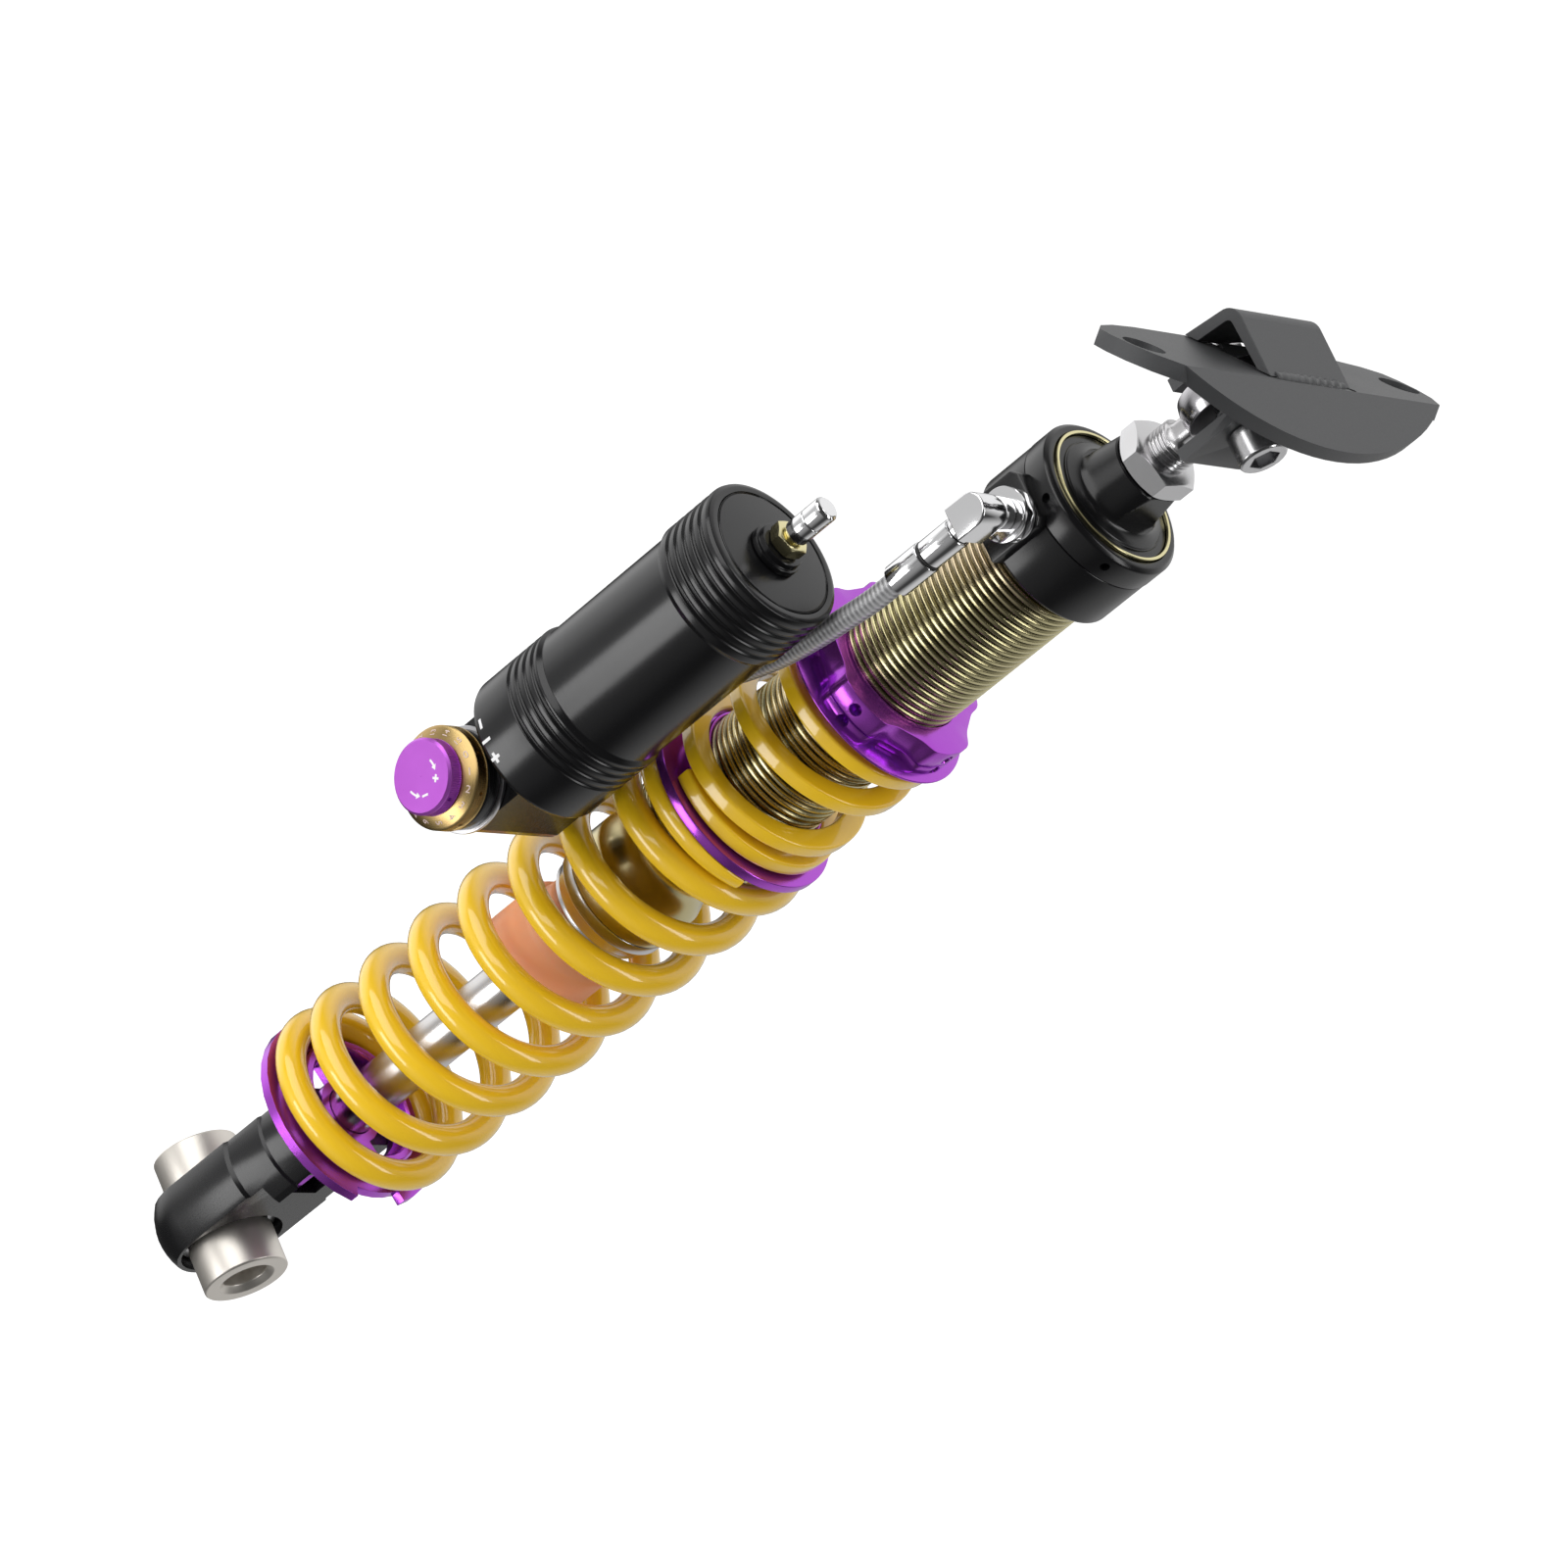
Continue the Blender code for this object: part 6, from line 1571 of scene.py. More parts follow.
@dataclass
class Perches:
    """Lugged rings on the thread, the divider and the lower perch. Millimetres."""

    lugs: int = 5
    lug_radius: float = 38.3
    first: float = 209.0
    bore: float = 26.7
    collar_radius: float = 28.1
    flange_radius: float = 41.5
    hole_radius: float = 2.1

    def lugged(self, name: str, low: float, high: float, edge: float, floor: float) -> bpy.types.Object:
        """Ring with flat faced lugs and wide notches between them.

        Its outline joins six corners for each lug with straight lines, eased at the corners, and
        each row draws the outline in towards the axis by a share of the chamfer.

        Args:
            name: the piece's name.
            low: foot.
            high: top.
            edge: chamfer of the rims.
            floor: distance of the notches' floors from the axis.

        Returns:
            The object.
        """
        corners = []
        for k in range(self.lugs):
            middle = self.first + 360.0 * k / self.lugs
            for reach, offset in ((floor, -26.0), (self.lug_radius - 0.4, -17.0), (self.lug_radius, -6.0),
                                  (self.lug_radius, 6.0), (self.lug_radius - 0.4, 17.0), (floor, 26.0)):
                angle = math.radians(middle + offset)
                corners.append((reach * math.cos(angle), reach * math.sin(angle)))
        outline = eased(corners, 2.2, 5, closed=True)
        reach = np.linalg.norm(outline, axis=1)
        direction = outline / reach[:, None]
        drawn = np.array([0.0, edge, 0.3 * edge, 0.0, 0.0, 0.3 * edge, edge, 0.0])
        radius = reach[None] - drawn[:, None]
        radius[[0, -1]] = self.bore
        level = np.array([high, high, high - 0.3 * edge, high - edge, low + edge, low + 0.3 * edge, low, low])
        surface = np.concatenate([radius[..., None] * direction[None],
                                  np.broadcast_to(level[:, None, None], (8, len(outline), 1))], -1)
        return Piece(name).grid(surface, wrap_rows=True).object(24.0)

    def spanner_holes(self, height: float) -> List[bpy.types.Object]:
        """Spanner holes of a ring, wider at the mouth.

        Args:
            height: of their middles.

        Returns:
            Their cutters.
        """
        floor, throat, mouth, past, wide = 32.3, 36.6, 38.6, 44.0, self.hole_radius + 0.6
        outline = [(0.0, floor), (self.hole_radius, floor), (self.hole_radius, throat), (wide, mouth),
                   (wide, past), (0.0, past)]
        return [hole(outline, outward(math.radians(self.first) + TURN * k / self.lugs, height), 28)
                for k in range(self.lugs)]

    def build(self, shop: Workshop) -> None:
        """Build and dress the pieces.

        Args:
            shop: the workshop.
        """
        split = LOCK_RING_MM - 2.2
        lock = self.lugged("lock_ring_lugs", split + PLAY, LOCK_RING_MM + 7.2, 0.5, 34.2)
        lock = carved(lock, self.spanner_holes(LOCK_RING_MM + 2.6))
        shop.seat(lock, Body.LOCK_RING, Finish.PURPLE, "purple", "lock_ring")
        seat = self.lugged("seat_ring_lugs", SEAT_RING_MM + 0.4, split, 0.5, 32.2)
        seat = carved(seat, self.spanner_holes(SEAT_RING_MM + 2.9))
        shop.seat(seat, Body.TOP_PERCH, Finish.PURPLE, "purple", "top_perch")
        bore, collar, rim, foot = self.bore, self.collar_radius, self.flange_radius, SEAT_RING_MM
        outline = [(bore, foot + 1.9), (35.5, foot + 1.9), (rim, foot + 0.9), (rim, foot), (collar, foot),
                   (collar, foot - 4.5), (bore, foot - 4.5)]
        flange = Piece("seat_ring_flange").turned(outline, ease=0.5, segments=160, ring=True)
        shop.seat(flange.object(), Body.TOP_PERCH, Finish.PURPLE, "purple")
        outline = [(bore, -247.0), (collar - 0.2, -247.0), (collar, -247.8), (collar, DIVIDER_TOP_MM),
                   (rim, DIVIDER_TOP_MM), (rim, DIVIDER_FOOT_MM), (collar, DIVIDER_FOOT_MM),
                   (collar, -267.2), (collar - 0.4, -268.0), (bore, -268.0)]
        divider = Piece("divider_flange").turned(outline, ease=0.6, segments=160, ring=True)
        shop.seat(divider.object(), Body.DIVIDER, Finish.PURPLE, "purple", "spring_divider")
        perch = shop.refined("lower_perch", "spring_dish", 0.5)
        shop.seat(perch, Body.ROD, Finish.PURPLE, "purple", "lower_perch")


@dataclass
class LowerEye:
    """Eye, race, ball, bushes and rebound wheel. Millimetres."""

    race_radius: float = 20.8
    race_half: float = 8.0
    ball_radius: float = 18.0
    ball_half: float = 10.0
    bush_radius: float = 17.3
    bolt_radius: float = 9.0
    reach: float = 29.0

    def build(self, shop: Workshop) -> None:
        """Build and dress the pieces.

        Args:
            shop: the workshop.
        """
        eye = shop.refined("lower_eye", "eye_forging", 0.8)
        shop.seat(eye, Body.ROD, Finish.BLACK_EYE, "black", "lower_eye")
        wheel = shop.refined("rebound_wheel", "rebound_dial", 0.25)
        shop.seat(wheel, Body.WHEEL, Finish.PURPLE, "purple", "rebound_wheel")
        half, chamfer, outer = self.race_half, 1.0, self.race_radius
        rim = [(outer - chamfer, half), (outer, half - chamfer), (outer, chamfer - half),
               (outer - chamfer, -half)]
        seat = ball_arc(self.ball_radius + PLAY, -half, half, 14)
        race = Piece("bearing_race").turned(seat + rim, EYE_FORWARD, 0.3, 128, True)
        shop.seat(race.object(), Body.ROD, Finish.ZINC_BOLT, "zinc", "eye_race")
        bolt, half = self.bolt_radius, self.ball_half
        arc = ball_arc(self.ball_radius, half, -half, 24)
        ball = Piece("bearing_ball").turned([(bolt, half), *arc, (bolt, -half)], EYE_FORWARD, 0.1, 128, True)
        shop.seat(ball.object(), Body.LOWER_BALL, Finish.CHROME, "chrome", "lower_ball")
        near, far, bush = self.ball_half + PLAY, self.reach, self.bush_radius
        outline = [(bolt, near), (bush, near), (bush, far - 0.6), (bush - 0.6, far), (bolt + 2.4, far),
                   (bolt, far - 2.4)]
        for side, end in ((1, "front"), (-1, "rear")):
            turned = [(radius, side * height) for radius, height in outline]
            sleeve = Piece("bush_sleeve_" + end).turned(turned, EYE_FORWARD, 0.35, 128, True)
            shop.seat(sleeve.object(), Body.BUSHES, Finish.NICKEL, "nickel", "bush_" + end)


@dataclass
class Reservoir:
    """Remote reservoir with its cap and gas valve. Millimetres."""

    radius: float = 30.3
    waist: float = 28.9
    bore: float = 26.0
    groove_depth: float = 0.9
    groove_pitch: float = 4.3
    top_grooves: int = 5
    low_grooves: int = 4

    def outline(self) -> List[Tuple[float, float]]:
        """Section of the body, with the grooves of both bands.

        Returns:
            Pairs of radius and height.
        """
        top, foot = RESERVOIR_TOP_MM, RESERVOIR_FOOT_MM
        points = [(self.bore, top), (self.radius - 2.0, top), (self.radius - 0.6, top - 0.6),
                  (self.radius, top - 2.0)]
        for start, count in ((top - 4.0, self.top_grooves), (foot + 36.0 - 1.2, self.low_grooves)):
            if start < top - 30.0:
                points += [(self.radius, top - 26.6), (self.waist, top - 28.6), (self.waist, foot + 38.0),
                           (self.radius, foot + 36.0)]
            for k in range(count):
                edge = start - k * self.groove_pitch
                inner = self.radius - self.groove_depth
                points += [(self.radius, edge), (inner, edge - 0.7), (inner, edge - 1.5),
                           (self.radius, edge - 2.2)]
        points += [(self.radius, foot + 2.0), (self.radius - 0.6, foot + 0.6), (self.radius - 2.0, foot),
                   (5.0, foot), (5.0, foot + 8.0), (self.bore, foot + 8.0)]
        return points

    def build(self, shop: Workshop) -> None:
        """Build and dress the pieces.

        Args:
            shop: the workshop.
        """
        body = Piece("reservoir_shell").turned(self.outline(), RESERVOIR_PLACE, 0.35, 192, True).object()
        shop.seat(body, Body.DAMPER, Finish.BLACK_RESERVOIR, "black", "reservoir_body")
        cap = [(0.0, -149.0), (25.0, -149.0), (25.3, -149.5), (25.7, -149.0), (25.7, -158.0), (0.0, -158.0)]
        shop.seat(Piece("reservoir_lid").turned(cap, RESERVOIR_PLACE, 0.2, 160).object(), Body.DAMPER,
                  Finish.BLACK_RESERVOIR, "black", "reservoir_cap")
        boss = [(0.0, -143.7), (9.3, -143.7), (9.3, -146.2), (10.5, -146.2), (10.5, -148.7), (0.0, -148.7)]
        shop.seat(Piece("valve_pad").turned(boss, RESERVOIR_PLACE, 0.5, 96).object(), Body.DAMPER,
                  Finish.BLACK_RESERVOIR, "black", "valve_boss")
        valve = Piece("valve_hexagon").hexagonal(13.0, -143.4, -138.4, 3.3, RESERVOIR_PLACE).object()
        shop.seat(valve, Body.DAMPER, Finish.BRONZE, "bronze", "gas_valve")
        stem = thread_surface(3.8, 0.4, 0.8, -140.0, -124.5, 48, 6, 0.2, 0.6)
        shop.seat(Piece("valve_stem_thread").grid(stem, RESERVOIR_PLACE, caps=True).object(60.0), Body.DAMPER,
                  Finish.BRONZE, "bronze")
        cap = [(0.0, -119.8), (3.9, -119.8), (5.0, -120.9), (5.0, -128.0), (4.75, -128.2), (4.75, -128.5),
               (5.0, -128.7), (5.0, -136.9), (4.3, -136.9), (4.3, -122.0), (0.0, -122.0)]
        shop.seat(Piece("valve_cap_shell").turned(cap, RESERVOIR_PLACE, 0.4, 96).object(), Body.VALVE_CAP,
                  Finish.CHROME, "chrome", "valve_cap")
        self.marks(shop)

    def marks(self, shop: Workshop) -> None:
        """Minus, index line and plus on the low band, read round the body with their tops up.

        Args:
            shop: the workshop.
        """
        marks = Piece("band_marks")
        for azimuth, shape in ((167.3, BAR), (180.9, BAR[:, ::-1]), (194.6, CROSS)):
            place = outward(math.radians(azimuth), RESERVOIR_FOOT_MM + 3.8, self.radius)
            marks.plate(shape * 4.1, RESERVOIR_PLACE @ place, *MARK_FACES_MM)
        shop.seat(marks.object(), Body.DAMPER, Finish.WHITE_INK, "black")


@dataclass
class Adjusters:
    """Valve block, neck, knurled dial and knurled knob. Millimetres along the adjusters' axis.

    Angles are counter-clockwise for someone who looks at the knob's face.
    """

    bore: float = 4.3
    dial_near: float = 106.9
    dial_step: float = 113.2
    dial_far: float = 115.5
    dial_radius: float = 19.2
    cone_top: float = 14.6
    cone_foot: float = 18.3
    dial_teeth: int = 168
    dial_holes: int = 8
    numbers: int = 16
    number_start: float = 87.6
    digit_size: float = 4.0
    pair_size: float = 3.2
    knob_near: float = 115.8
    knob_far: float = 122.35
    knob_radius: float = 14.1
    knob_teeth: int = 110
    mark_radius: float = 7.2

    @staticmethod
    def knurled(name: str, outline: Sequence[Tuple[float, float, float]], teeth: int,
                samples: int = 6) -> bpy.types.Object:
        """Turned piece with straight knurls.

        The radius is r - depth * (0.5 - 0.75 cos(teeth * angle)), the bracket held between 0 and
        1, for outline points (r, z, depth).

        Args:
            name: the piece's name.
            outline: closed outline of radius, place along the axis and knurl depth.
            teeth: count of teeth.
            samples: columns to each tooth.

        Returns:
            The object.
        """
        points = np.asarray(outline, float)
        angle = np.linspace(0.0, TURN, teeth * samples, endpoint=False)
        wave = np.clip(0.5 - 0.75 * np.cos(teeth * angle), 0.0, 1.0)
        radius = points[:, :1] - points[:, 2:] * wave
        surface = np.stack([radius * np.cos(angle), radius * np.sin(angle),
                            points[:, 1:2] + 0.0 * angle], -1)
        return Piece(name).grid(surface, ADJUSTER_PLACE, wrap_rows=True).object(40.0)

    def build(self, shop: Workshop) -> None:
        """Build and dress the pieces.

        Args:
            shop: the workshop.
        """
        block = shop.refined("valve_block", "valve_housing", 0.9)
        shop.seat(block, Body.DAMPER, Finish.BLACK_ADJUSTER, "black", "valve_block")
        ring = Piece("adjuster_washer").turned(barrel(19.8, 99.9, 98.3, self.bore), ADJUSTER_PLACE, 0.4, 128,
                                               True)
        shop.seat(ring.object(), Body.DAMPER, Finish.ALUMINIUM, "zinc", "adjuster_ring")
        stem, top, step, foot, neck = self.bore - PLAY, 119.2, 106.4, 100.2, 18.4
        outline = [(0.0, top), (stem, top), (stem, step), (neck - 1.0, step), (neck, step - 1.0),
                   (neck, foot), (0.0, foot)]
        throat = Piece("adjuster_throat").turned(outline, ADJUSTER_PLACE, 0.4, 128)
        shop.seat(throat.object(), Body.DAMPER, Finish.BLACK_ADJUSTER, "black", "adjuster_neck")
        self.dial(shop)
        self.knob(shop)

    def dial(self, shop: Workshop) -> None:
        """Dial with a knurled band, holes in it and numbers on the cone before it.

        Args:
            shop: the workshop.
        """
        near, step, far, edge = self.dial_near, self.dial_step, self.dial_far, self.dial_radius
        dial = self.knurled("dial_high_speed", [
            (self.bore, near, 0.0), (18.4, near, 0.0), (edge, near + 0.5, 0.0), (edge, near + 0.9, 0.0),
            (edge, near + 1.1, 0.5), (edge, step - 0.8, 0.5), (edge, step - 0.6, 0.0),
            (self.cone_foot + 0.3, step, 0.0), (self.cone_foot, step + 0.1, 0.0), (self.cone_top, far, 0.0),
            (self.bore, far, 0.0)], self.dial_teeth)
        middle = 0.5 * (near + step)
        turns = [math.radians(self.number_start - 2.0 + 360.0 * k / self.dial_holes)
                 for k in range(self.dial_holes)]
        holes = [hole(barrel(0.8, 17.8, 21.0), ADJUSTER_PLACE @ outward(turn, middle), 20) for turn in turns]
        shop.seat(carved(dial, holes, sharp=40.0), Body.DIAL, Finish.GOLD, "gold", "high_speed_dial")

        slope = np.array([self.cone_foot - self.cone_top, step + 0.1 - far])
        slope /= np.linalg.norm(slope)
        reach = 0.5 * (self.cone_foot + self.cone_top) - 0.06 * slope[1]
        level = 0.5 * (step + 0.1 + far) + 0.06 * slope[0]
        numbers = Piece("dial_numbers")
        for k in range(self.numbers):
            turn = math.radians(self.number_start - 360.0 * k / self.numbers)
            cosine, sine = math.cos(turn), math.sin(turn)
            place = frame_of((slope[0] * cosine, slope[0] * sine, slope[1]), (-sine, cosine, 0.0),
                             (reach * cosine, reach * sine, level))
            size = self.digit_size if k < 10 else self.pair_size
            numbers.add(*glyph(str(k), size), ADJUSTER_PLACE @ place)
        shop.seat(numbers.object(), Body.DIAL, Finish.PALE_INK, "gold")

    def knob(self, shop: Workshop) -> None:
        """Knob with a knurled rim, an index hole and two arrows that point at a plus and a minus.

        Args:
            shop: the workshop.
        """
        near, far, edge = self.knob_near, self.knob_far, self.knob_radius
        floor = far - 3.0
        knob = self.knurled("knob_low_speed", [
            (self.bore, near, 0.0), (13.4, near, 0.0), (edge, near + 0.5, 0.0), (edge, near + 0.6, 0.45),
            (edge, far - 1.6, 0.45), (edge, far - 1.5, 0.0), (edge, far - 0.9, 0.0),
            (edge - 0.9, far, 0.0), (0.15, far, 0.0), (0.15, floor, 0.0), (self.bore, floor, 0.0)],
            self.knob_teeth)
        place = ADJUSTER_PLACE @ outward(math.radians(21.6), 0.5 * (near + far))
        index = hole(barrel(0.9, 12.6, 16.0), place, 20)
        knob = carved(knob, [index], sharp=40.0)
        shop.seat(knob, Body.KNOB, Finish.PURPLE_KNOB, "purple", "low_speed_knob")

        marks = Piece("knob_marks")
        top = ADJUSTER_PLACE @ frame_of((1.0, 0.0, 0.0), (0.0, 1.0, 0.0), (0.0, 0.0, far))
        for start, end in ((113.6, 76.6), (285.6, 327.6)):
            marks.plate(self.arrow(start, end), top, *MARK_FACES_MM)
        for angle, shape in ((52.6, CROSS), (-13.0, BAR)):
            cosine, sine = math.cos(math.radians(angle)), math.sin(math.radians(angle))
            place = frame_of((-sine, cosine, 0.0), (-cosine, -sine, 0.0),
                             (self.mark_radius * cosine, self.mark_radius * sine, 0.0))
            marks.plate(shape * 2.9, top @ place, *MARK_FACES_MM)
        shop.seat(marks.object(), Body.KNOB, Finish.WHITE_INK, "purple")

    def arrow(self, start: float, end: float) -> Array:
        """Outline of an arrow bent round the knob's middle.

        Args:
            start: angle of its tail, in degrees.
            end: angle of its tip.

        Returns:
            Points (x, y).
        """
        neck = end - math.copysign(15.0, end - start)
        shaft = np.radians(np.linspace(start, neck, 10))
        angle = np.concatenate([shaft, np.radians([neck, end, neck]), shaft[::-1]])
        reach = np.concatenate([np.full(10, 0.4), [1.2, 0.0, -1.2], np.full(10, -0.4)]) + self.mark_radius
        return np.stack([reach * np.cos(angle), reach * np.sin(angle)], -1)


@dataclass
class HoseLine:
    """Seat, elbow, crimped sleeves and the braided hose between them. Millimetres."""

    radius: float = 4.4
    plait: float = 13.0
    route: Tuple[Tuple[float, float, float], ...] = (
        (-55.0, 0.0, -124.3), (-55.0, 0.0, -136.0), (-54.6, 1.5, -150.0), (-52.4, 4.5, -168.0),
        (-49.0, 10.0, -190.0), (-46.0, 18.0, -212.0), (-45.0, 26.0, -228.0), (-45.4, 33.0, -241.0),
        (-46.0, 36.0, -256.0))

    def build(self, shop: Workshop) -> None:
        """Build and dress the pieces.

        Args:
            shop: the workshop.
        """
        low = shop.refined("hose_sleeve_low", "sleeve_low", 0.7)
        shop.seat(low, Body.DAMPER, Finish.CHROME, "chrome", "hose_sleeve_low")
        seat = Piece("elbow_seat").hexagonal(17.0, 37.6, 41.4, 0.0, HOSE_SEAT_PLACE)
        for near, far, reach in ((36.3, 37.6, 9.6), (41.4, 43.3, 10.2)):
            seat.turned(barrel(reach, near, far), HOSE_SEAT_PLACE, 0.4, 96)
        shop.seat(seat.object(), Body.DAMPER, Finish.CHROME, "chrome", "hose_seat")
        self.elbow(shop)
        sleeve = [(0.0, -92.6), (5.8, -92.6), (5.8, -107.0), (5.3, -107.2), (5.3, -108.2), (6.3, -108.4),
                  (6.3, -124.3), (0.0, -124.3)]
        top = Piece("sleeve_top").turned(sleeve, HOSE_TOP_PLACE, 0.5, 96)
        shop.seat(top.object(), Body.DAMPER, Finish.CHROME, "chrome", "hose_sleeve_top")
        band = Piece("sleeve_band").turned(barrel(5.85, -107.3, -108.1, 5.0), HOSE_TOP_PLACE, 0.1, 96, True)
        shop.seat(band.object(), Body.DAMPER, Finish.RUBBER, "chrome")
        self.hose(shop)

    def elbow(self, shop: Workshop) -> None:
        """Elbow: an arch with a flat face, set on a round arm and a short collar.

        The arch is a half circle about the arm's axis, carried down by two straight sides.

        Args:
            shop: the workshop.
        """
        half, foot = 6.6, -9.6
        angle = np.linspace(0.0, math.pi, 25)
        arch = np.concatenate([np.stack([half * np.cos(angle), half * np.sin(angle)], -1),
                               [(-half, foot), (half, foot)]])
        body = Piece("elbow_arch").raised(arch, 48.5, 62.2, HOSE_SEAT_PLACE, 0.8, 4)
        body.turned(barrel(6.3, 43.6, 50.0), HOSE_SEAT_PLACE, 0.3, 96)
        body.turned(barrel(5.2, -89.2, -92.3), HOSE_TOP_PLACE, 0.5, 96)
        shop.seat(body.object(30.0), Body.DAMPER, Finish.CHROME, "chrome", "hose_elbow")

    def centreline(self, count: int) -> Array:
        """Smooth line through the route's points: a Catmull-Rom curve, then even steps along it.

        Args:
            count: points wanted.

        Returns:
            Points in millimetres.
        """
        knots = np.asarray(self.route, float)
        first, last = 2 * knots[0] - knots[1], 2 * knots[-1] - knots[-2]
        all_knots = np.concatenate([[first], knots, [last]])
        s = np.linspace(0.0, 1.0, 40, endpoint=False)[:, None, None]
        a, b, c, d = (all_knots[k:len(all_knots) - 3 + k][None] for k in range(4))
        curve = 0.5 * (2 * b + (c - a) * s + (2 * a - 5 * b + 4 * c - d) * s ** 2
                       + (3 * b - a - 3 * c + d) * s ** 3)
        line = np.concatenate([curve.transpose(1, 0, 2).reshape(-1, 3), knots[-1:]])
        walked = np.concatenate([[0.0], np.cumsum(np.linalg.norm(np.diff(line, axis=0), axis=1))])
        even = np.linspace(0.0, walked[-1], count)
        return np.stack([np.interp(even, walked, line[:, k]) for k in range(3)], -1)

    def hose(self, shop: Workshop) -> None:
        """Braided hose: a tube whose surface rises and falls with its plait.

        The height of the plait is sin(3 (u + v)) sin(3 (u - v)) in turns u round and turns v
        of plait along the hose.

        Args:
            shop: the workshop.
        """
        line = self.centreline(420)
        steps = np.linalg.norm(np.diff(line, axis=0), axis=1)
        walked = np.concatenate([[0.0], np.cumsum(steps)])
        tangent = np.gradient(line, axis=0)
        tangent /= np.linalg.norm(tangent, axis=1)[:, None]
        side = np.cross(tangent, (1.0, 0.0, 0.0))
        side /= np.linalg.norm(side, axis=1)[:, None]
        other = np.cross(tangent, side)
        around = np.linspace(0.0, 1.0, 72, endpoint=False)[None]
        along = (walked / self.plait)[:, None]
        weave = np.sin(3 * TURN * (around + along)) * np.sin(3 * TURN * (around - along))
        reach = self.radius - 0.12 + 0.12 * weave
        angle = TURN * around
        surface = (line[:, None] + (reach * np.cos(angle))[..., None] * side[:, None]
                   + (reach * np.sin(angle))[..., None] * other[:, None])
        made = Piece("braided_hose").grid(surface, caps=True).object(60.0)
        self.plait_map(made, line, side, other, walked)
        shop.seat(made, Body.DAMPER, Finish.BRAID, "braid", "hose")
        LOG.info("hose is %.1f mm long", walked[-1])

    def plait_map(self, piece: bpy.types.Object, line: Array, side: Array, other: Array,
                  walked: Array) -> None:
        """Write turns round the hose and turns of plait along it as the UV layer Plait.

        Args:
            piece: the hose.
            line: points of its centreline.
            side: direction of no turn at each of them.
            other: direction of a quarter turn at each of them.
            walked: length of the line up to each of them.
        """
        mesh = piece.data
        count = len(mesh.loops)
        corner = np.zeros(count, np.int64)
        mesh.loops.foreach_get("vertex_index", corner)
        place = np.zeros(len(mesh.vertices) * 3)
        mesh.vertices.foreach_get("co", place)
        place = place.reshape(-1, 3) / MM
        nearest = np.array([np.argmin(np.sum((line - point) ** 2, axis=1)) for point in place])
        away = place - line[nearest]
        turn = np.arctan2(np.sum(away * other[nearest], 1), np.sum(away * side[nearest], 1)) / TURN
        around, along = turn[corner], (walked[nearest] / self.plait)[corner]
        starts = np.zeros(len(mesh.polygons), np.int64)
        mesh.polygons.foreach_get("loop_start", starts)
        first = np.repeat(around[starts], np.diff(np.append(starts, count)))
        around = around + np.round(first - around)
        layer = mesh.uv_layers.new(name="Plait")
        layer.data.foreach_set("uv", np.stack([around, along], -1).ravel())


# ------------------------------------------------------------------ studio


@dataclass(frozen=True)
class Opening:
    """Pale opening in the studio wall.

    It has a direction from the part, a glow, and two angles in degrees from its middle: where it
    ends and within which it is full.
    """

    direction: Tuple[float, float, float]
    edge: float
    full: float
    glow: float


@dataclass(frozen=True)
class SoftBox:
    """Lamp aimed at the middle of the part.

    Its place is right, up and towards the camera in metres from there, its power is in watts.
    """

    name: str
    side: Tuple[float, float, float]
    width: float
    height: float
    power: float


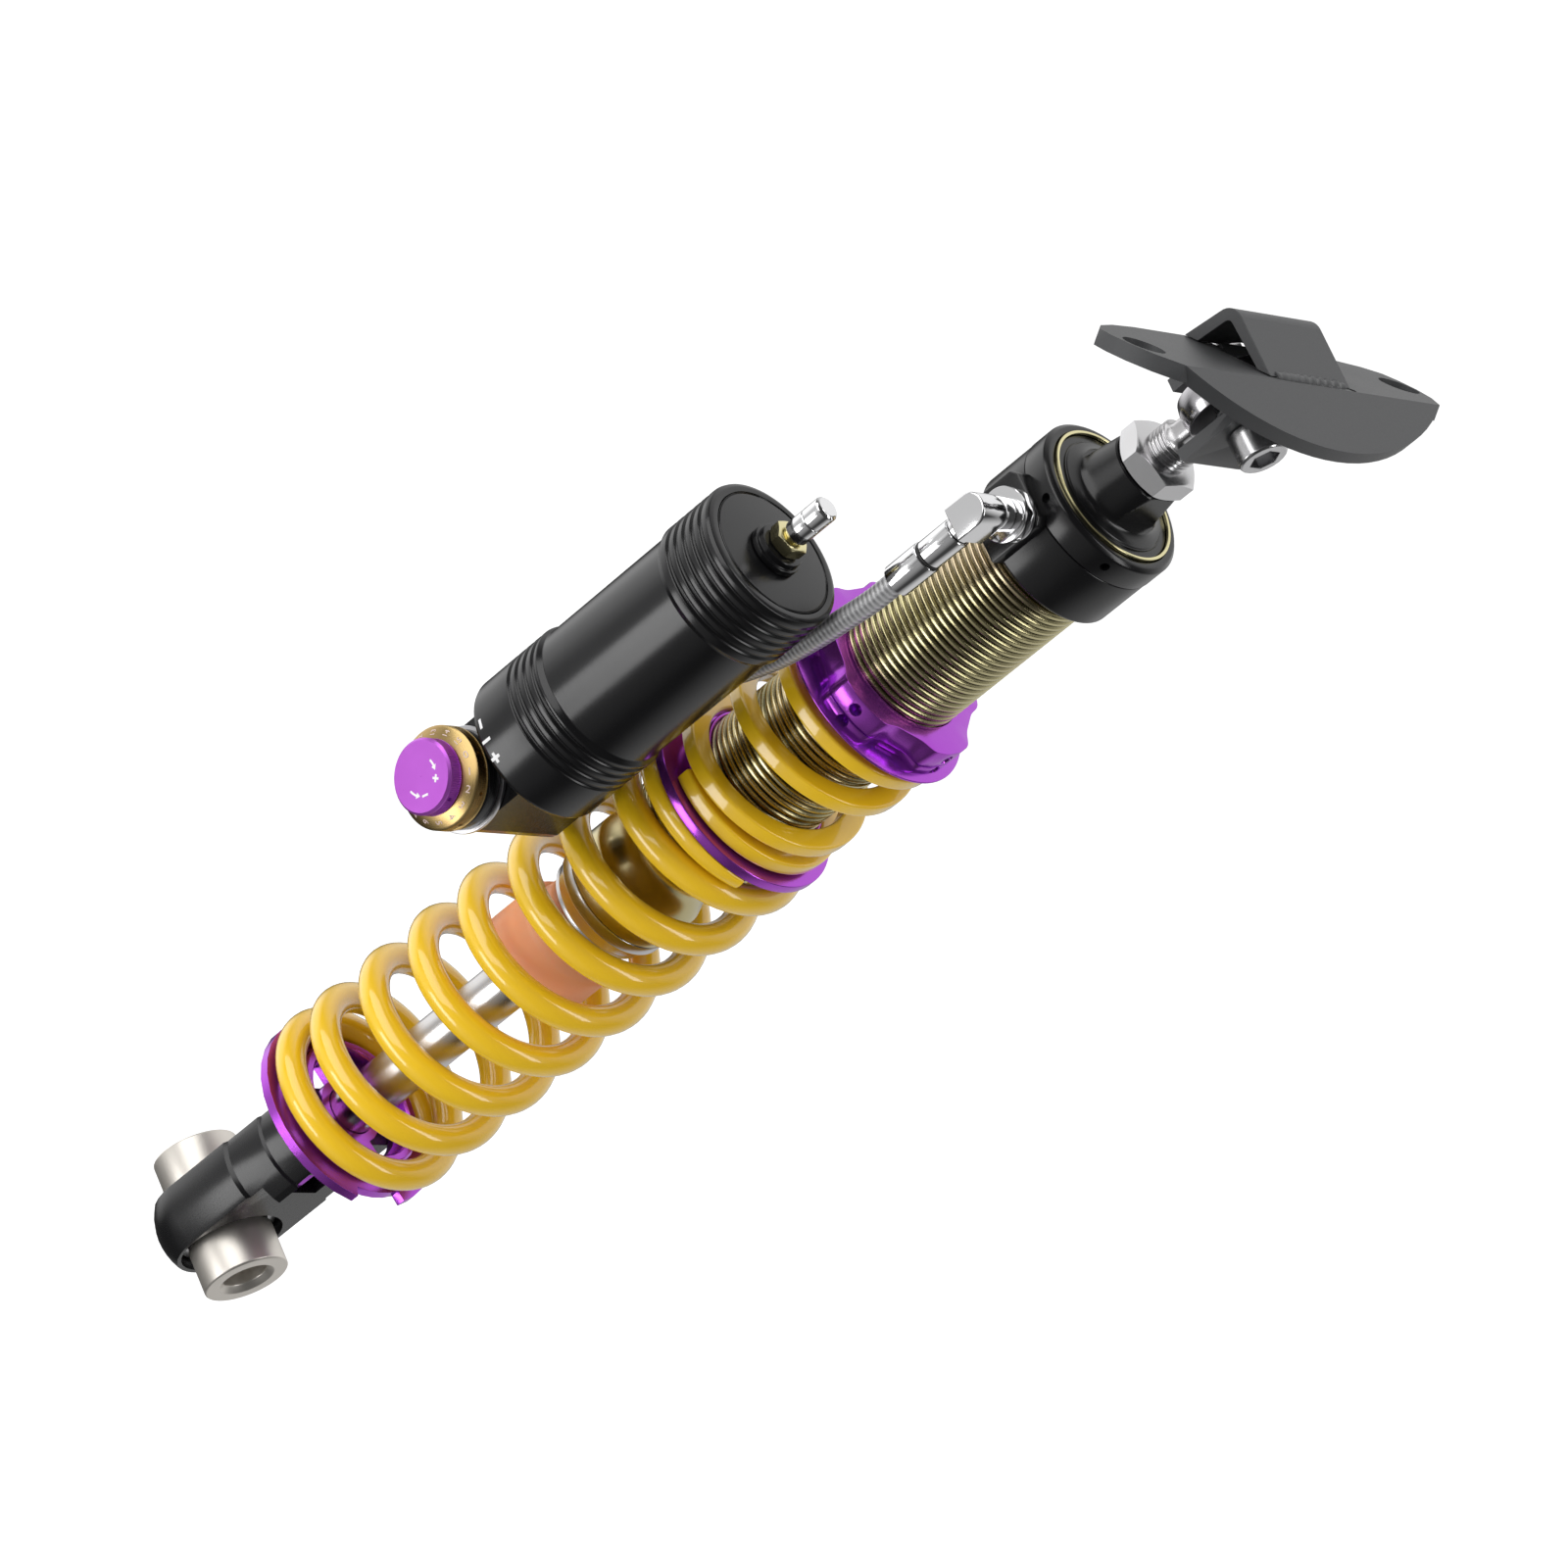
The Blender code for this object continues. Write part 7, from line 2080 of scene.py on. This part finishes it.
@dataclass
class Studio:
    """Floor, wall, lamps, world and camera."""

    centre: Tuple[float, float, float] = (-0.03, 0.0, -0.28)
    floor_height: float = -1.25
    floor_reach: float = 14.0
    floor_shade: float = 0.86
    floor_glow: float = 0.60
    wall_radius: float = 6.0
    wall_glow: float = 0.05
    world_light: float = 0.5
    openings: Tuple[Opening, ...] = (
        Opening((0.765, 0.420, 0.480), 62.0, 30.0, 0.90),
        Opening((-0.060, 0.850, -0.520), 36.0, 18.0, 1.20),
        Opening((-0.780, 0.370, -0.500), 30.0, 16.0, 0.55),
        Opening((-0.765, -0.377, -0.523), 42.0, 12.0, 0.25),
        Opening((0.760, -0.420, -0.500), 50.0, 20.0, 0.55))
    lamps: Tuple[SoftBox, ...] = (
        SoftBox("key", (-0.75, 1.10, 0.95), 2.2, 1.5, 23.0),
        SoftBox("side", (1.25, 0.30, 0.75), 0.3, 1.8, 7.0),
        SoftBox("low", (-1.31, -0.43, 0.60), 1.0, 0.50, 6.5))

    def build(self) -> None:
        """Set the studio up."""
        bpy.context.scene.view_settings.view_transform = "Standard"
        self.camera()
        self.world()
        self.floor()
        self.surround()
        for box in self.lamps:
            self.lamp(box)

    def camera(self) -> None:
        """Camera at the photograph's place."""
        data = bpy.data.cameras.new("camera")
        data.lens, data.sensor_width = CAMERA_LENS, CAMERA_SENSOR
        data.clip_start, data.clip_end = 0.1, 50.0
        camera = bpy.data.objects.new("camera", data)
        place = np.eye(4)
        place[:3, 0], place[:3, 1], place[:3, 2] = CAMERA_RIGHT, CAMERA_UP, CAMERA_BACK
        place[:3, 3] = CAMERA_PLACE
        camera.matrix_world = Matrix(place.tolist())
        bpy.context.scene.collection.objects.link(camera)
        bpy.context.scene.camera = camera

    def lamp(self, box: SoftBox) -> None:
        """Hang a soft box.

        Args:
            box: the soft box.
        """
        data = bpy.data.lights.new(box.name, "AREA")
        data.shape, data.size, data.size_y, data.energy = "RECTANGLE", box.width, box.height, box.power
        lamp = bpy.data.objects.new(box.name, data)
        axes = np.array([CAMERA_RIGHT, CAMERA_UP, CAMERA_BACK])
        offset = Vector((np.asarray(box.side) @ axes).tolist())
        lamp.location = Vector(self.centre) + offset
        lamp.rotation_mode = "QUATERNION"
        lamp.rotation_quaternion = (-offset).to_track_quat("-Z", "Y")
        bpy.context.scene.collection.objects.link(lamp)

    def world(self) -> None:
        """World that is white where it is seen, and softer as light."""
        shade = Shade("studio", for_world=True)
        strength = shade.seen() * (1.0 - self.world_light) + self.world_light
        background = shade.node("ShaderNodeBackground", {}, {"Color": (1.0, 1.0, 1.0, 1.0),
                                                             "Strength": strength})
        bpy.context.scene.world = shade.close(background)

    def surround(self) -> None:
        """Dark studio wall that only reflections see, with pale openings.

        The wall is a sphere. Each opening adds the cosine between a point's direction and the
        opening's middle, stretched so that it is 0 at the opening's edge and 1 well inside.
        """
        lean = np.linspace(0.0, math.pi, 33)[1:-1, None]
        angle = np.linspace(0.0, TURN, 64, endpoint=False)[None]
        ball = np.stack([np.sin(lean) * np.cos(angle), np.sin(lean) * np.sin(angle),
                         np.cos(lean) + 0.0 * angle], -1)
        wall = Piece("studio_wall").grid(ball * self.wall_radius / MM, caps=True).object(180.0)
        wall.visible_camera = wall.visible_diffuse = wall.visible_shadow = False
        wall.visible_transmission = wall.visible_volume_scatter = False
        shade = Shade("studio_wall")
        level: Number = self.wall_glow
        for opening in self.openings:
            unit = tuple(Vector(opening.direction).normalized() / self.wall_radius)
            facing = shade.node("ShaderNodeVectorMath", {"operation": "DOT_PRODUCT"},
                                {0: shade.place(), 1: unit})
            low, high = math.cos(math.radians(opening.edge)), math.cos(math.radians(opening.full))
            share = (Value(shade, facing.outputs["Value"]) - low) * (1.0 / (high - low))
            level = share.clipped() * opening.glow + level
        wall.data.materials.append(shade.close(shade.node("ShaderNodeEmission", {}, {"Strength": level})))

    def floor(self) -> None:
        """Plain pale floor, brighter to the camera so that it meets the white behind it."""
        mesh = bpy.data.meshes.new("floor")
        reach = self.floor_reach
        corners = [(-reach, -reach), (reach, -reach), (reach, reach), (-reach, reach)]
        mesh.from_pydata([(x, y, self.floor_height) for x, y in corners], [], [(0, 1, 2, 3)])
        floor = bpy.data.objects.new("floor", mesh)
        bpy.context.scene.collection.objects.link(floor)
        shade = Shade("floor")
        pale = shade.node("ShaderNodeBsdfDiffuse", {}, {"Color": (*[self.floor_shade] * 3, 1.0)})
        glow = shade.node("ShaderNodeEmission", {}, {"Strength": self.floor_glow})
        lit = shade.node("ShaderNodeAddShader", {}, {0: pale.outputs[0], 1: glow.outputs[0]})
        both = shade.node("ShaderNodeMixShader", {}, {0: shade.seen(), 1: pale.outputs[0],
                                                      2: lit.outputs[0]})
        mesh.materials.append(shade.close(both))
        floor.visible_glossy = False


def write_sizes() -> None:
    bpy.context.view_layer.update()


def main() -> None:
    """Build the looks round the frame."""
    logging.basicConfig(level=logging.INFO, format="%(message)s")
    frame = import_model()
    Studio().build()
    shop = Workshop(frame)
    for assembly in (HoseLine(), TopMount(), Head(), Tube(), Coils(), Perches(), LowerEye(), Reservoir(),
                     Adjusters()):
        assembly.build(shop)
    write_sizes()


if __name__ == "__main__":
    main()
